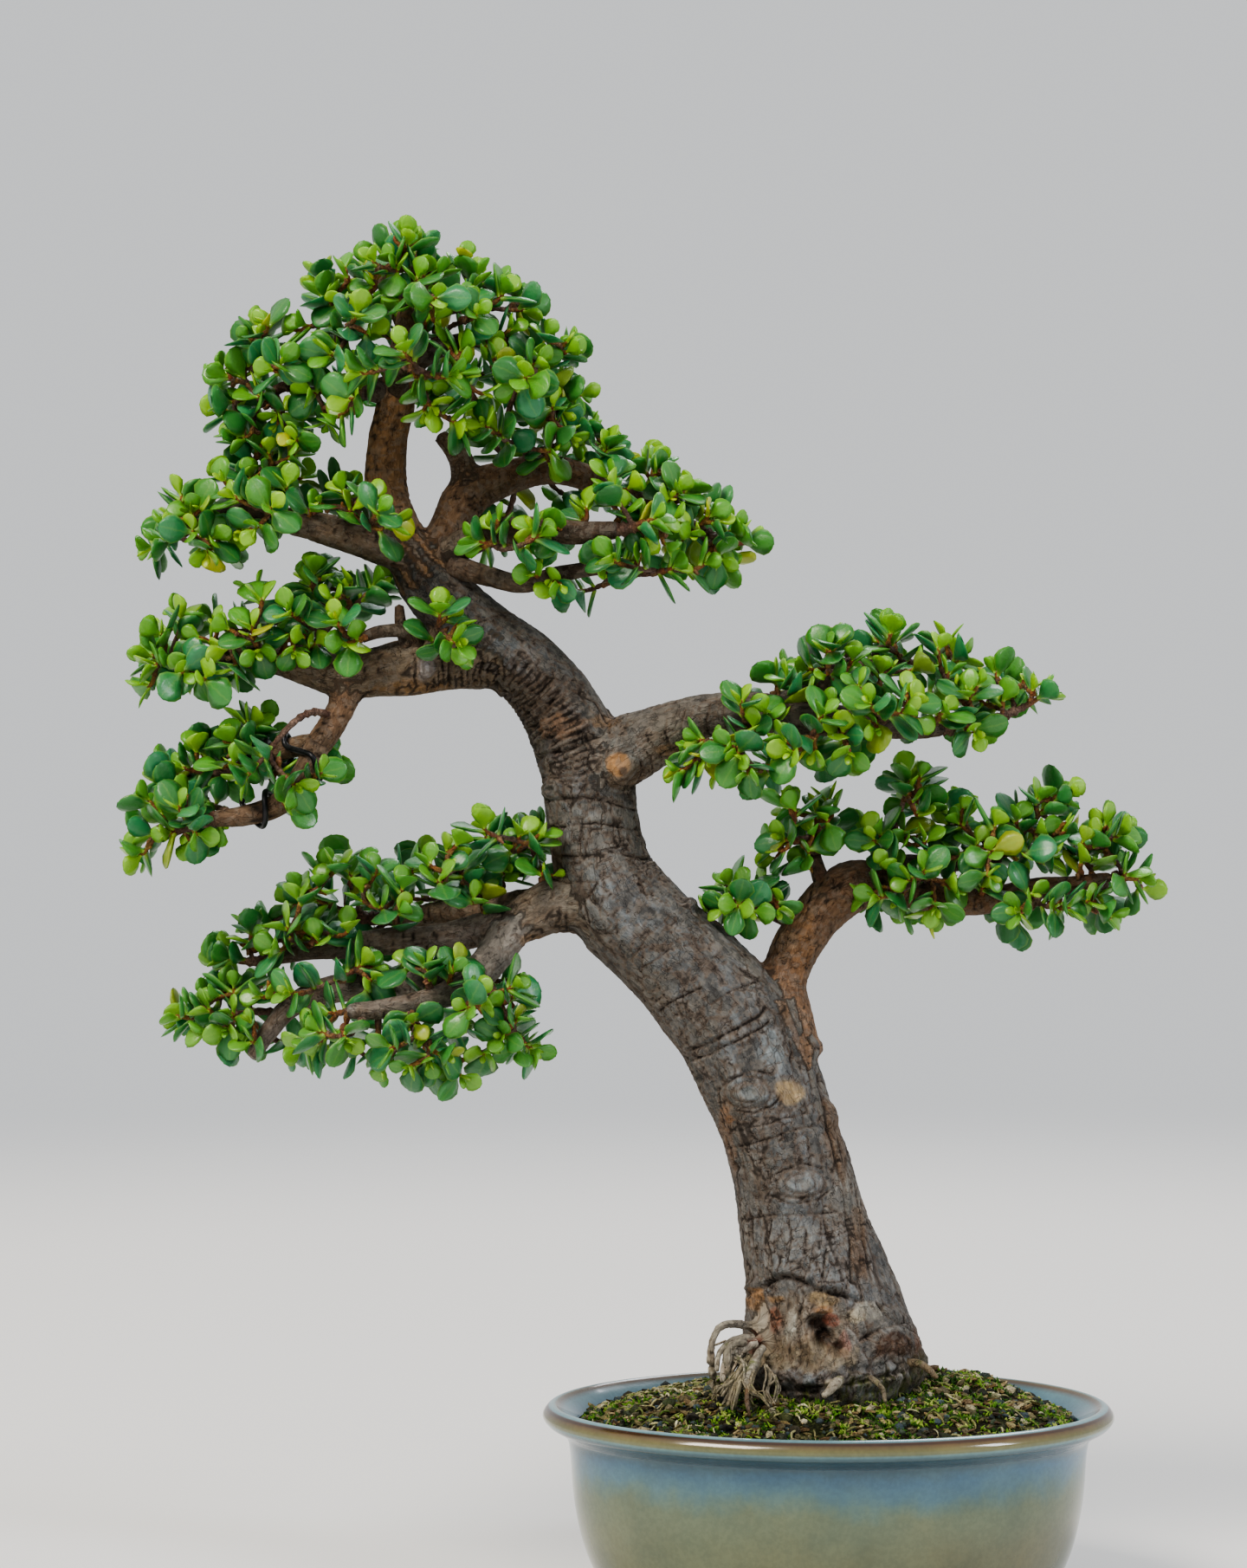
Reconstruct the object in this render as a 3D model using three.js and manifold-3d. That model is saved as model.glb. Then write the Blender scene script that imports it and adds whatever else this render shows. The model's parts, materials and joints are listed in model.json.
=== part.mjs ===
import * as THREE from 'three';
import { mergeVertices } from 'three/addons/utils/BufferGeometryUtils.js';
import Module from 'manifold-3d';

// A dwarf jade bonsai in an oval glazed pot. Millimetres, +Z up, origin at the middle of the pot's base.

const wasm = await Module();
wasm.setup();

// Driving dimensions of the pot
const POT_LENGTH = 220;
const POT_WIDTH = 170;
const POT_HEIGHT = 77;
const POT_SIDES = 32;
const POT_FLOOR = 8;
const DRAIN_OFFSET = 45;
const DRAIN_RADIUS = 8;
const WEEP_WIDTH = 8;
const WEEP_DEPTH = 3;
const WEEP_LENGTH = 60;

// The drainage screens over the two holes
const SCREEN_SIZE = 24;
const SCREEN_THICKNESS = 1;
const SCREEN_HOLES = 2;
const SCREEN_HOLE_SIZE = 8;

// Soil: its edge stands below the rim, and it mounds up towards the trunk
const SOIL_HALF_LENGTH = 96.2;
const SOIL_HALF_WIDTH = SOIL_HALF_LENGTH - (POT_LENGTH - POT_WIDTH) / 2;
const SOIL_EDGE_HEIGHT = 71;
const SOIL_RISE = 14.5;
const SOIL_BACK_RISE = 4;
const SOIL_RELIEF = 1.3;
const SOIL_RINGS = 5;
const CHIP_COUNT = 9;
const CHIP_SIZE = 4.2;

// Neighbouring pieces keep this gap
const GAP = 0.3;
const STEM_RADIUS = 1.5;
const TWIG_RADIUS = 0.85;

// Leaves: the longest grown leaf, its width and thickness as a share of its length
const LEAF_LENGTH = 14.5;
const LEAF_WIDTH = 0.76;
const LEAF_THICKNESS = 0.15;
const NODE_LENGTH = 1.7;
const STEP_LENGTH = 20;
const PAIRS_ON_A_SHOOT = 2;
const CLEARANCE = 0.5;
const LEAF_MIN_THICKNESS = 1.4;
const LEAF_TRIES = 4;
const SHOOT_TRIES = 13;
const SEED = 4.7;

// Slivers that a join leaves, finer than this, are smoothed away
const FINENESS = 0.06;

// Training wire
const WIRE_RADIUS = 1.1;
const WIRE_STANDOFF = 0.7;
const WIRE_SIDES = 5;
const WIRE_STEPS = 46;

// The photograph's frame: a level camera in front of the trunk, looking along +Y
const CAMERA = { x: -78.8, distance: 1400, height: 315.5 };
const PHOTO = { middleX: 720, middleY: 905, mmPerPixel: 0.334 };

const COLOURS = {
  glaze: 0x6f8a86, soil: 0x4d4a36, bark: 0x6e6256, leaf: 0x4f9a35, wire: 0x15151a, screen: 0x202522,
};

// Limbs as pixel x, pixel y, depth behind the trunk's plane and radius, from root to tip
const LIMBS = {
  trunk: [
    [962, 1655, 0, 38], [963, 1600, 0, 37.5], [956, 1545, 0, 34], [945, 1480, 0, 28.5], [929, 1420, 0, 25],
    [916, 1360, -1, 23.5], [898, 1300, -2, 22.5], [876, 1240, -3, 23], [845, 1180, -3, 23],
    [800, 1125, -2, 22], [750, 1078, -1, 21], [710, 1035, 0, 20], [692, 990, 2, 18.5],
    [684, 940, 3, 18], [677, 890, 4, 18], [660, 845, 4, 16.5], [635, 800, 4, 15],
    [600, 765, 2, 14.5], [560, 735, 1, 13.5], [520, 700, 1, 13], [490, 665, 2, 12], [474, 640, 2, 9],
  ],
  leader: [
    [492, 668, 2, 11], [462, 620, 2, 9.5], [446, 570, 2, 8.5], [448, 510, 1, 7.8], [458, 460, 0, 7.4],
    [468, 400, 0, 6], [470, 355, 0, 3.6],
  ],
  crownLeft: [[458, 458, 0, 5], [415, 448, -4, 4], [370, 440, -2, 3.4], [335, 445, 0, 2.6]],
  crownRight: [[464, 432, 0, 5], [500, 405, -6, 4], [545, 392, -4, 3.2], [590, 395, 0, 2.4]],
  crownFront: [[460, 452, -3, 4.4], [462, 434, -16, 3.4], [468, 425, -28, 2.4]],
  crownBack: [[466, 420, 2, 4.4], [460, 405, 18, 3.6], [470, 395, 32, 2.4]],
  rightLeader: [
    [498, 660, 3, 9], [520, 610, 8, 8.5], [540, 572, 12, 9], [590, 550, 16, 7], [640, 542, 20, 6],
    [700, 560, 18, 5], [760, 590, 12, 4], [815, 615, 6, 2.6],
  ],
  rightLeaderStub: [[538, 565, 12, 6], [531, 527, 10, 5], [508, 503, 7, 3.2]],
  rightLower: [
    [520, 636, -2, 6], [560, 618, -12, 5.5], [610, 612, -22, 5], [670, 615, -28, 4.5], [712, 612, -30, 3.4],
  ],
  rightThin: [
    [524, 654, -5, 4.5], [560, 664, -14, 4], [604, 674, -20, 3.6], [650, 662, -22, 3.2],
    [700, 655, -20, 2.8], [740, 660, -18, 2.2],
  ],
  leftUpper: [
    [476, 642, 0, 8.5], [430, 628, -4, 7], [380, 612, -6, 6.3], [330, 600, -5, 5.3], [285, 592, -2, 4.4],
    [245, 600, 0, 3.2], [222, 610, 0, 2.4],
  ],
  leftMiddle: [
    [575, 758, 1, 12], [520, 762, -2, 12], [470, 770, -6, 11], [430, 776, -8, 9.5], [400, 780, -9, 9],
    [362, 772, -8, 7.5], [330, 765, -6, 6], [290, 758, -4, 4.8], [245, 757, -2, 3.6], [215, 762, 0, 2.6],
  ],
  leftMiddleTwig: [[486, 752, -10, 3], [472, 730, -14, 2.8], [440, 729, -16, 2.6], [418, 736, -16, 2.2]],
  leftMiddleSpur: [[470, 748, -12, 2.6], [463, 722, -12, 2.4], [461, 700, -12, 1.8]],
  leftDrop: [[405, 782, -9, 7], [395, 815, -12, 5.5], [376, 848, -16, 5.5], [362, 866, -17, 5.2]],
  leftDropUpper: [[370, 858, -16, 4.4], [340, 862, -12, 4], [305, 874, -7, 3.6], [278, 886, -3, 3]],
  leftDropLower: [
    [366, 862, -18, 5], [350, 895, -22, 4.6], [322, 928, -26, 4.4], [285, 941, -28, 4], [250, 945, -27, 3.2],
  ],
  rightUpper: [
    [690, 880, 2, 14], [733, 862, -4, 13], [762, 847, -8, 11], [795, 833, -12, 9.6], [825, 824, -15, 8.2],
    [870, 822, -18, 7.8], [930, 828, -20, 6.8], [990, 834, -18, 5.8], [1050, 840, -14, 4.8],
    [1088, 840, -10, 3.6],
  ],
  rightUpperTop: [[892, 822, -17, 6], [935, 800, -4, 5], [975, 778, 6, 4.4], [1020, 768, 12, 3]],
  rightLow: [
    [905, 1215, 0, 15], [905, 1165, 0, 11.5], [906, 1130, 2, 9], [920, 1092, 5, 9.5], [948, 1052, 8, 10],
    [983, 1024, 10, 10.5],
    [1022, 1020, 10, 8], [1070, 1034, 8, 6], [1130, 1041, 5, 5.5], [1190, 1027, 1, 4.6],
    [1240, 1021, -1, 3.6], [1283, 1012, -1, 2.4],
  ],
  rightLowSpur: [[918, 1064, 4, 3.6], [893, 1054, 4, 3], [880, 1050, 4, 2.4]],
  rightLowTwig: [[955, 1034, 10, 4.2], [944, 1003, 8, 3], [941, 988, 8, 2.4]],
  rightLowBack: [[990, 1020, 14, 6], [1030, 1002, 24, 5], [1080, 998, 32, 4], [1125, 995, 36, 2.8]],
  bottomArm: [[678, 1040, 0, 13], [642, 1044, -2, 11], [612, 1058, -3, 9.5], [590, 1068, -3, 8]],
  bottomBack: [
    [634, 1046, 2, 7.5], [600, 1046, 8, 6.5], [560, 1054, 18, 6], [520, 1052, 26, 5.2], [480, 1058, 30, 4.4],
    [440, 1060, 30, 3.2],
  ],
  bottomLeft: [
    [600, 1064, -3, 7.5], [545, 1076, -4, 6.5], [500, 1086, -6, 6], [450, 1086, -6, 5.6], [400, 1092, -5, 5],
    [350, 1098, -2, 4], [310, 1108, 0, 2.8],
  ],
  bottomFront: [
    [594, 1070, -5, 7.5], [566, 1108, -16, 7], [545, 1132, -24, 6.2], [510, 1150, -32, 5],
    [470, 1160, -38, 4.2], [430, 1166, -42, 3.8], [402, 1167, -43, 3.2],
  ],
  bottomCut: [
    [548, 1120, -20, 5.5], [490, 1135, -18, 5.6], [440, 1138, -14, 5.8], [380, 1143, -12, 5.6],
    [336, 1162, -13, 4.6], [310, 1192, -15, 3.8], [291, 1220, -16, 3],
  ],
  prunedKnob: [[700, 888, -6, 7], [716, 886, -15, 6], [719, 886, -18, 4.2]],
  rootLoopOuter: [
    [880, 1534, -12, 2.6], [838, 1528, -24, 2], [823, 1548, -27, 1.9], [822, 1578, -27, 1.9],
    [830, 1612, -26, 1.9],
  ],
  rootLoopInner: [[884, 1548, -18, 2.6], [845, 1552, -31, 2], [840, 1576, -33, 1.9], [850, 1612, -32, 1.9]],
};

// Roots in the soil: heading in degrees, reach from the trunk's middle, depth of the end, start radius
const ROOTS = [
  [12, 72, 34, 10], [62, 55, 30, 9], [118, 58, 28, 10],
  [172, 74, 36, 9], [232, 52, 30, 9], [300, 56, 32, 10],
];
const ROOT_END_RADIUS = 2.5;
const ROOT_ARCH = 9;
const ROOT_CENTRE = new THREE.Vector3(3, 0, 66);

// Leafy sprays: the limb and the place on it (counted in its points), and the tips of the main shoots
const SPRAYS = {
  crown_top: { on: ['leader', 6], tips: [[484, 286, 4], [452, 300, -8], [504, 344, -34]] },
  crown_high_right: { on: ['crownRight', 1], tips: [[548, 318, -2], [550, 362, -26], [606, 358, 8]] },
  crown_high_left: { on: ['crownLeft', 1], tips: [[372, 340, -4], [412, 362, -28]] },
  crown_left: { on: ['crownLeft', 3], tips: [[300, 390, 0], [277, 432, 4], [325, 420, -22], [282, 484, 2]] },
  crown_front: { on: ['crownFront', 2], tips: [[414, 430, -42], [466, 402, -46], [520, 434, -42]] },
  crown_right: { on: ['crownRight', 3], tips: [[645, 402, 2], [655, 448, 2], [606, 436, -26]] },
  crown_back: {
    on: ['crownBack', 2],
    tips: [[380, 385, 40], [450, 350, 42], [550, 380, 42], [490, 440, 58], [400, 450, 46]],
  },
  shoulder_top: {
    on: ['rightLeader', 3.3], tips: [[560, 490, -22], [684, 496, 2], [640, 520, -10], [626, 476, 18]],
  },
  shoulder_slope: {
    on: ['rightLeader', 7], tips: [[856, 618, 0], [832, 646, -6], [795, 562, 4], [742, 540, 6]],
  },
  shoulder_front: { on: ['rightLower', 4], tips: [[706, 566, -32], [758, 598, -34]] },
  shoulder_near: { on: ['rightLower', 1.5], tips: [[550, 622, -34], [626, 616, -40]] },
  shoulder_low: { on: ['rightThin', 5], tips: [[780, 655, -22], [706, 645, -36]] },
  shoulder_back: {
    on: ['rightLeader', 4], tips: [[605, 525, 44], [690, 548, 48], [650, 585, 46], [760, 575, 40]],
  },
  left_upper_tip: { on: ['leftUpper', 6], tips: [[186, 626, -2], [210, 570, 2], [246, 622, -18]] },
  left_upper_front: { on: ['leftUpper', 3.3], tips: [[313, 586, -30], [270, 572, -22]] },
  left_upper_high: { on: ['leftUpper', 3.8], tips: [[284, 514, 6], [340, 524, 0]] },
  left_upper_near: { on: ['leftUpper', 1], tips: [[436, 590, -30], [395, 566, -16]] },
  left_upper_back: { on: ['leftUpper', 2], tips: [[350, 550, 34], [290, 568, 36], [232, 590, 30]] },
  left_middle_tip: { on: ['leftMiddle', 9], tips: [[174, 756, 0], [212, 714, 2], [212, 776, -18]] },
  left_middle_front: { on: ['leftMiddle', 6.6], tips: [[290, 722, -24], [298, 752, -20]] },
  left_middle_top: { on: ['leftMiddle', 5.2], tips: [[434, 675, -6], [358, 674, -2], [334, 706, -24]] },
  left_middle_twig: { on: ['leftMiddleTwig', 3], tips: [[388, 716, -28]] },
  left_middle_near: { on: ['leftMiddle', 1.6], tips: [[508, 704, -32], [528, 742, -34]] },
  left_middle_back: { on: ['leftMiddle', 6], tips: [[350, 705, 32], [275, 728, 30], [420, 690, 34]] },
  left_low_tip: { on: ['leftDropLower', 4], tips: [[206, 930, -34], [172, 962, -18], [228, 964, -34]] },
  left_low_top: { on: ['leftDropUpper', 3], tips: [[210, 886, -4], [294, 838, -6]] },
  left_low_near: { on: ['leftDrop', 1.4], tips: [[342, 908, -40], [280, 900, -36]] },
  left_low_back: { on: ['leftDropLower', 3.4], tips: [[232, 915, 6]] },
  right_high_low: { on: ['rightUpper', 5.2], tips: [[856, 808, -38], [804, 854, -30], [852, 872, -42]] },
  right_high_front: { on: ['rightUpper', 6.5], tips: [[950, 824, -42], [914, 868, -46]] },
  right_high_top: { on: ['rightUpperTop', 3], tips: [[1110, 760, 6], [1028, 742, 0], [930, 772, -10]] },
  right_high_mid: { on: ['rightUpper', 7.5], tips: [[1004, 812, -42], [1046, 820, -36]] },
  right_high_end: {
    on: ['rightUpper', 9], tips: [[1205, 802, 0], [1120, 800, -16], [1126, 846, -14], [1150, 775, 8]],
  },
  right_high_back: { on: ['rightUpper', 6], tips: [[920, 805, 28], [1005, 780, 38], [1080, 798, 32]] },
  right_low_spur: { on: ['rightLowSpur', 2], tips: [[842, 1020, 0], [852, 1046, -12]] },
  right_low_twig: { on: ['rightLowTwig', 2], tips: [[945, 936, 4], [904, 968, -6]] },
  right_low_tuft: { on: ['rightLow', 6], tips: [[1050, 898, 8], [1008, 970, -8]] },
  right_low_mid: { on: ['rightLow', 6.7], tips: [[1068, 1004, -18], [1012, 1036, -14]] },
  right_low_centre: { on: ['rightLow', 8], tips: [[1106, 948, -2], [1146, 982, -12], [1206, 932, 4]] },
  right_low_far: { on: ['rightLow', 11], tips: [[1318, 1014, -2], [1268, 966, -8]] },
  right_low_hang: { on: ['rightLow', 9.2], tips: [[1236, 1048, -18], [1176, 1052, -20]] },
  right_low_back: { on: ['rightLowBack', 3], tips: [[1120, 965, 44], [1190, 970, 32]] },
  bottom_inner: { on: ['bottomBack', 1.5], tips: [[560, 962, 14], [612, 972, 14], [584, 1006, 2]] },
  bottom_back: { on: ['bottomBack', 5], tips: [[362, 1036, 14], [404, 1006, 18], [480, 1004, 18]] },
  bottom_rear: { on: ['bottomBack', 3.5], tips: [[470, 1035, 48], [545, 1015, 44]] },
  bottom_left_top: { on: ['bottomLeft', 6], tips: [[289, 1070, 2], [260, 1104, 0], [350, 1080, -12]] },
  bottom_left_low: { on: ['bottomCut', 4.3], tips: [[216, 1172, -8], [262, 1188, -18], [270, 1138, -8]] },
  bottom_left_mid: { on: ['bottomCut', 3], tips: [[334, 1146, -30], [420, 1112, -24]] },
  bottom_centre: { on: ['bottomFront', 3.3], tips: [[492, 1112, -38]] },
  bottom_front: { on: ['bottomFront', 2], tips: [[540, 1164, -52], [594, 1138, -42]] },
  bottom_front_right: { on: ['bottomFront', 1.5], tips: [[616, 1212, -34], [580, 1196, -42]] },
  bottom_front_low: { on: ['bottomFront', 4], tips: [[450, 1210, -52], [514, 1220, -50]] },
  bottom_front_left: { on: ['bottomFront', 5.3], tips: [[366, 1190, -48], [400, 1200, -50]] },
};

// Places and draws

const UP = new THREE.Vector3(0, 0, 1);
const FRONT = new THREE.Vector3(0, -1, 0);

function fromPhoto([px, py, depth = 0]) {
  const scale = PHOTO.mmPerPixel * (CAMERA.distance + depth) / CAMERA.distance;
  return new THREE.Vector3(
    CAMERA.x + (px - PHOTO.middleX) * scale, depth, CAMERA.height + (PHOTO.middleY - py) * scale);
}

// The turn between neighbours that spreads places evenly round a middle
const GOLDEN_TURN = Math.PI * (3 - Math.sqrt(5));

// A repeatable draw from 0 to 1 for each set of whole numbers
function draw(...keys) {
  const steps = [12.9898, 78.233, 37.719, 51.137];
  const angle = keys.reduce((sum, key, i) => sum + key * steps[i], SEED);
  const value = Math.sin(angle) * 43758.5453;
  return value - Math.floor(value);
}

const mix = (a, b, share) => a + (b - a) * share;
const between = (a, b, share) => new THREE.Vector3().lerpVectors(a, b, share);
const moved = (point, direction, distance) => point.clone().addScaledVector(direction, distance);
const heading = (from, to) => new THREE.Vector3().subVectors(to, from).normalize();

function squareTo(vector, axis) {
  return vector.clone().addScaledVector(axis, -vector.dot(axis)).normalize();
}

// Closed meshes and solids

function solidFrom(positions, index) {
  const mesh = new wasm.Mesh({
    numProp: 3, vertProperties: new Float32Array(positions), triVerts: new Uint32Array(index),
  });
  return new wasm.Manifold(mesh);
}

function solidOf(geometry) {
  const bare = geometry.clone();
  bare.deleteAttribute('normal');
  bare.deleteAttribute('uv');
  const merged = mergeVertices(bare, 1e-4);
  const faces = [];
  for (let i = 0; i < merged.index.count; i += 3) {
    const [a, b, c] = [0, 1, 2].map((k) => merged.index.getX(i + k));
    if (a !== b && b !== c && c !== a) faces.push(a, b, c);
  }
  return solidFrom(merged.attributes.position.array, faces);
}

// A tube through the points with its own radius at each, closed by a flat disc at both ends
function taperedTube(points, radii, sides, { start, lobe = () => 1 } = {}) {
  const last = points.length - 1;
  const tangents = points.map((_, i) => heading(points[Math.max(i - 1, 0)], points[Math.min(i + 1, last)]));
  if (start) tangents[0] = start.clone();
  let normal = new THREE.Vector3(0.31, 1, 0.17);
  const positions = [];
  points.forEach((point, i) => {
    normal = squareTo(normal, tangents[i]);
    const side = new THREE.Vector3().crossVectors(tangents[i], normal);
    for (let j = 0; j < sides; j++) {
      const angle = 2 * Math.PI * j / sides;
      const reach = radii[i] * lobe(i, angle);
      const rim = moved(moved(point, normal, reach * Math.cos(angle)), side, reach * Math.sin(angle));
      positions.push(rim.x, rim.y, rim.z);
    }
  });
  const index = [];
  for (let i = 0; i < last; i++) {
    for (let j = 0; j < sides; j++) {
      const a = i * sides + j;
      const b = i * sides + (j + 1) % sides;
      index.push(a, b, b + sides, a, b + sides, a + sides);
    }
  }
  for (let j = 1; j < sides - 1; j++) {
    const top = last * sides;
    index.push(0, j + 1, j, top, top + j, top + j + 1);
  }
  return solidFrom(positions, index);
}

function meshFrom(name, solid, colour, roughness) {
  const data = solid.asOriginal().simplify(FINENESS).getMesh();
  const geometry = new THREE.BufferGeometry();
  geometry.setAttribute('position', new THREE.BufferAttribute(new Float32Array(data.vertProperties), 3));
  geometry.setIndex(new THREE.BufferAttribute(new Uint32Array(data.triVerts), 1));
  geometry.computeVertexNormals();
  const material = new THREE.MeshStandardMaterial({ color: colour, roughness, metalness: 0 });
  const mesh = new THREE.Mesh(geometry, material);
  mesh.name = name;
  return mesh;
}

// Pot and soil share one oval plan: a lathe whose depth is drawn in by the same width all round

const DRAWN_IN = (POT_LENGTH - POT_WIDTH) / 2;

function ovalLathe(profile) {
  const points = profile.map(([radius, height]) => new THREE.Vector2(radius, height));
  const geometry = new THREE.LatheGeometry(points, POT_SIDES);
  geometry.rotateX(Math.PI / 2);
  const position = geometry.attributes.position;
  for (let i = 0; i < position.count; i++) {
    const radius = Math.hypot(position.getX(i), position.getY(i));
    if (radius < 1e-6) continue;
    const depth = radius > 2 * DRAWN_IN ? radius - DRAWN_IN : radius / 2;
    position.setY(i, position.getY(i) * depth / radius);
  }
  return geometry;
}

function outward(solid) {
  if (solid.volume() > 0) return solid;
  throw new Error('a profile runs the wrong way round');
}

function makePot() {
  const rim = POT_LENGTH / 2;
  const body = outward(solidOf(ovalLathe([
    [0, 0], [78, 0], [85, 5], [91, 15], [95, 26], [98, 41], [100, 60], [104, 64.5], [109, 68.5], [rim, 72.5],
    [rim - 1.5, 75.6], [rim - 4, POT_HEIGHT], [rim - 6.5, POT_HEIGHT - 1.2], [97, 70.5], [94, 62], [91, 38],
    [83, 14], [74, POT_FLOOR], [0, POT_FLOOR],
  ])));
  const cutters = [];
  for (const side of [-1, 1]) {
    const hole = new THREE.CylinderGeometry(DRAIN_RADIUS, DRAIN_RADIUS, 3 * POT_FLOOR, 16);
    hole.rotateX(Math.PI / 2);
    hole.translate(side * DRAIN_OFFSET, 0, POT_FLOOR / 2);
    const middle = side * (DRAIN_OFFSET + WEEP_LENGTH / 2);
    const weep = boxAt(WEEP_LENGTH, WEEP_WIDTH, 2 * WEEP_DEPTH, middle, 0, 0);
    cutters.push(solidOf(hole), weep);
  }
  return body.subtract(wasm.Manifold.union(cutters));
}

function boxAt(width, depth, height, x, y, z) {
  const box = new THREE.BoxGeometry(width, depth, height);
  box.translate(x, y, z);
  return solidOf(box);
}

function makeScreen(side) {
  const middle = [side * DRAIN_OFFSET, POT_FLOOR + GAP + SCREEN_THICKNESS / 2];
  const pitch = SCREEN_SIZE / (SCREEN_HOLES + 0.25);
  const places = Array.from({ length: SCREEN_HOLES }, (_, i) => (i - (SCREEN_HOLES - 1) / 2) * pitch);
  const holes = places.flatMap((x) => places.map((y) => (
    boxAt(SCREEN_HOLE_SIZE, SCREEN_HOLE_SIZE, 4 * SCREEN_THICKNESS, middle[0] + x, y, middle[1]))));
  const plate = boxAt(SCREEN_SIZE, SCREEN_SIZE, SCREEN_THICKNESS, middle[0], 0, middle[1]);
  return plate.subtract(wasm.Manifold.union(holes));
}

function soilHeight(x, y, share) {
  const mound = SOIL_RISE * (1 - share ** 2) ** 0.9;
  const backRise = SOIL_BACK_RISE * Math.exp(-(((x - 55) / 30) ** 2) - (((y - 25) / 28) ** 2));
  return SOIL_EDGE_HEIGHT + mound + backRise * (1 - share ** 4);
}

// The soil's wall follows the pot's, and its top is a relief of clods with a few bark chips
function makeSoil(holes) {
  const floor = POT_FLOOR + GAP;
  const wall = [[0, floor], [73.5, floor], [82.4, 14.4], [90.4, 38.2], [93.4, 62], [SOIL_HALF_LENGTH, 70]];
  const top = Array.from({ length: SOIL_RINGS + 1 }, (_, ring) => (
    [SOIL_HALF_LENGTH * (1 - ring / SOIL_RINGS), SOIL_EDGE_HEIGHT]));
  const geometry = ovalLathe([...wall, ...top]);
  const position = geometry.attributes.position;
  for (let i = 0; i < position.count; i++) {
    const [x, y, z] = [position.getX(i), position.getY(i), position.getZ(i)];
    if (z < SOIL_EDGE_HEIGHT - 1e-3) continue;
    const share = Math.min(1, Math.hypot(x / SOIL_HALF_LENGTH, y / SOIL_HALF_WIDTH));
    const inside = share < 0.99;
    const clod = inside ? (2 * draw(Math.round(x * 3), Math.round(y * 3)) - 1) * SOIL_RELIEF : 0;
    position.setZ(i, soilHeight(x, y, share) + clod);
  }
  const chips = Array.from({ length: CHIP_COUNT }, (_, k) => makeChip(k));
  return wasm.Manifold.union([outward(solidOf(geometry)), ...chips]).subtract(holes);
}

function makeChip(k) {
  const share = mix(0.5, 0.88, draw(k, 1));
  const x = SOIL_HALF_LENGTH * share * Math.cos(k * GOLDEN_TURN);
  const y = SOIL_HALF_WIDTH * share * Math.sin(k * GOLDEN_TURN);
  const chip = new THREE.IcosahedronGeometry(CHIP_SIZE * mix(0.7, 1.15, draw(k, 2)), 0);
  chip.scale(1, mix(0.55, 0.9, draw(k, 3)), 0.55);
  chip.rotateZ(2 * Math.PI * draw(k, 4));
  chip.translate(x, y, soilHeight(x, y, share) - 0.1 * CHIP_SIZE);
  return solidOf(chip);
}

// Wood

const limbs = Object.fromEntries(Object.entries(LIMBS).map(([name, rows]) => [name, {
  points: rows.map(fromPhoto), radii: rows.map((row) => row[3]),
}]));

function placeOn(name, place) {
  const { points, radii } = limbs[name];
  const i = Math.min(Math.floor(place), points.length - 2);
  const share = place - i;
  return {
    point: between(points[i], points[i + 1], share),
    axis: heading(points[i], points[i + 1]),
    radius: mix(radii[i], radii[i + 1], share),
    atEnd: place === points.length - 1,
  };
}

function lengthened(points, extra) {
  const last = points.length - 1;
  const start = moved(points[0], heading(points[1], points[0]), extra);
  const end = moved(points[last], heading(points[last - 1], points[last]), extra);
  return [start, ...points.slice(1, last), end];
}

const sidesFor = (radius) => (radius > 12 ? 12 : radius > 6.8 ? 7 : 5);
const flare = (i, angle) => 1 + [0.1, 0.09, 0.05, 0.02][Math.min(i, 3)] * Math.cos(5 * angle + 0.8);

// A solid of one limb; with some extra it is drawn that much larger, past both ends too
function limbSolid(name, extra = 0) {
  const { points, radii } = limbs[name];
  const lobe = name === 'trunk' ? flare : undefined;
  const line = lengthened(points, extra);
  return taperedTube(line, radii.map((radius) => radius + extra), sidesFor(radii[0]), { lobe });
}

function rootSolid([degrees, reach, height, radius], extra = 0) {
  const angle = THREE.MathUtils.degToRad(degrees);
  const across = reach * POT_WIDTH / POT_LENGTH;
  const end = new THREE.Vector3(reach * Math.cos(angle), across * Math.sin(angle), height);
  const bend = between(ROOT_CENTRE, end, 0.6).addScaledVector(UP, ROOT_ARCH);
  const radii = [radius, mix(radius, ROOT_END_RADIUS, 0.6), ROOT_END_RADIUS];
  const line = lengthened([ROOT_CENTRE, bend, end], extra);
  return taperedTube(line, radii.map((value) => value + extra), 5);
}

// What stands in the soil, drawn a little larger, is the hole that it stands in
function rootHoles() {
  const inSoil = ['trunk', 'rootLoopOuter', 'rootLoopInner'];
  return wasm.Manifold.union([
    ...inSoil.map((name) => limbSolid(name, GAP)), ...ROOTS.map((root) => rootSolid(root, GAP)),
  ]);
}

// Where a spray leaves the wood: at a limb's cut end, or from its side, where the stem points to the spray
function socketFor({ on: [name, place], tips }) {
  const { point, axis, radius, atEnd } = placeOn(name, place);
  if (atEnd) {
    return { root: moved(point, axis, GAP), direction: axis, radius: 0.85 * radius, covered: radius };
  }
  const middle = tips.map(fromPhoto).reduce((sum, tip) => sum.add(tip), new THREE.Vector3());
  const wanted = heading(point, middle.divideScalar(tips.length));
  const along = THREE.MathUtils.clamp(wanted.dot(axis), -0.5, 0.5);
  const direction = squareTo(wanted, axis).addScaledVector(axis, along).normalize();
  const covered = 0.5 * radius * Math.hypot(1, along);
  return { root: moved(point, direction, covered), direction, radius: STEM_RADIUS, covered };
}

// What already stands, for the clearance of what grows next: rods are wood, wire and twigs
const rods = [];
const leaves = [];
const THICKEST = LIMBS.trunk[0][3];

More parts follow.
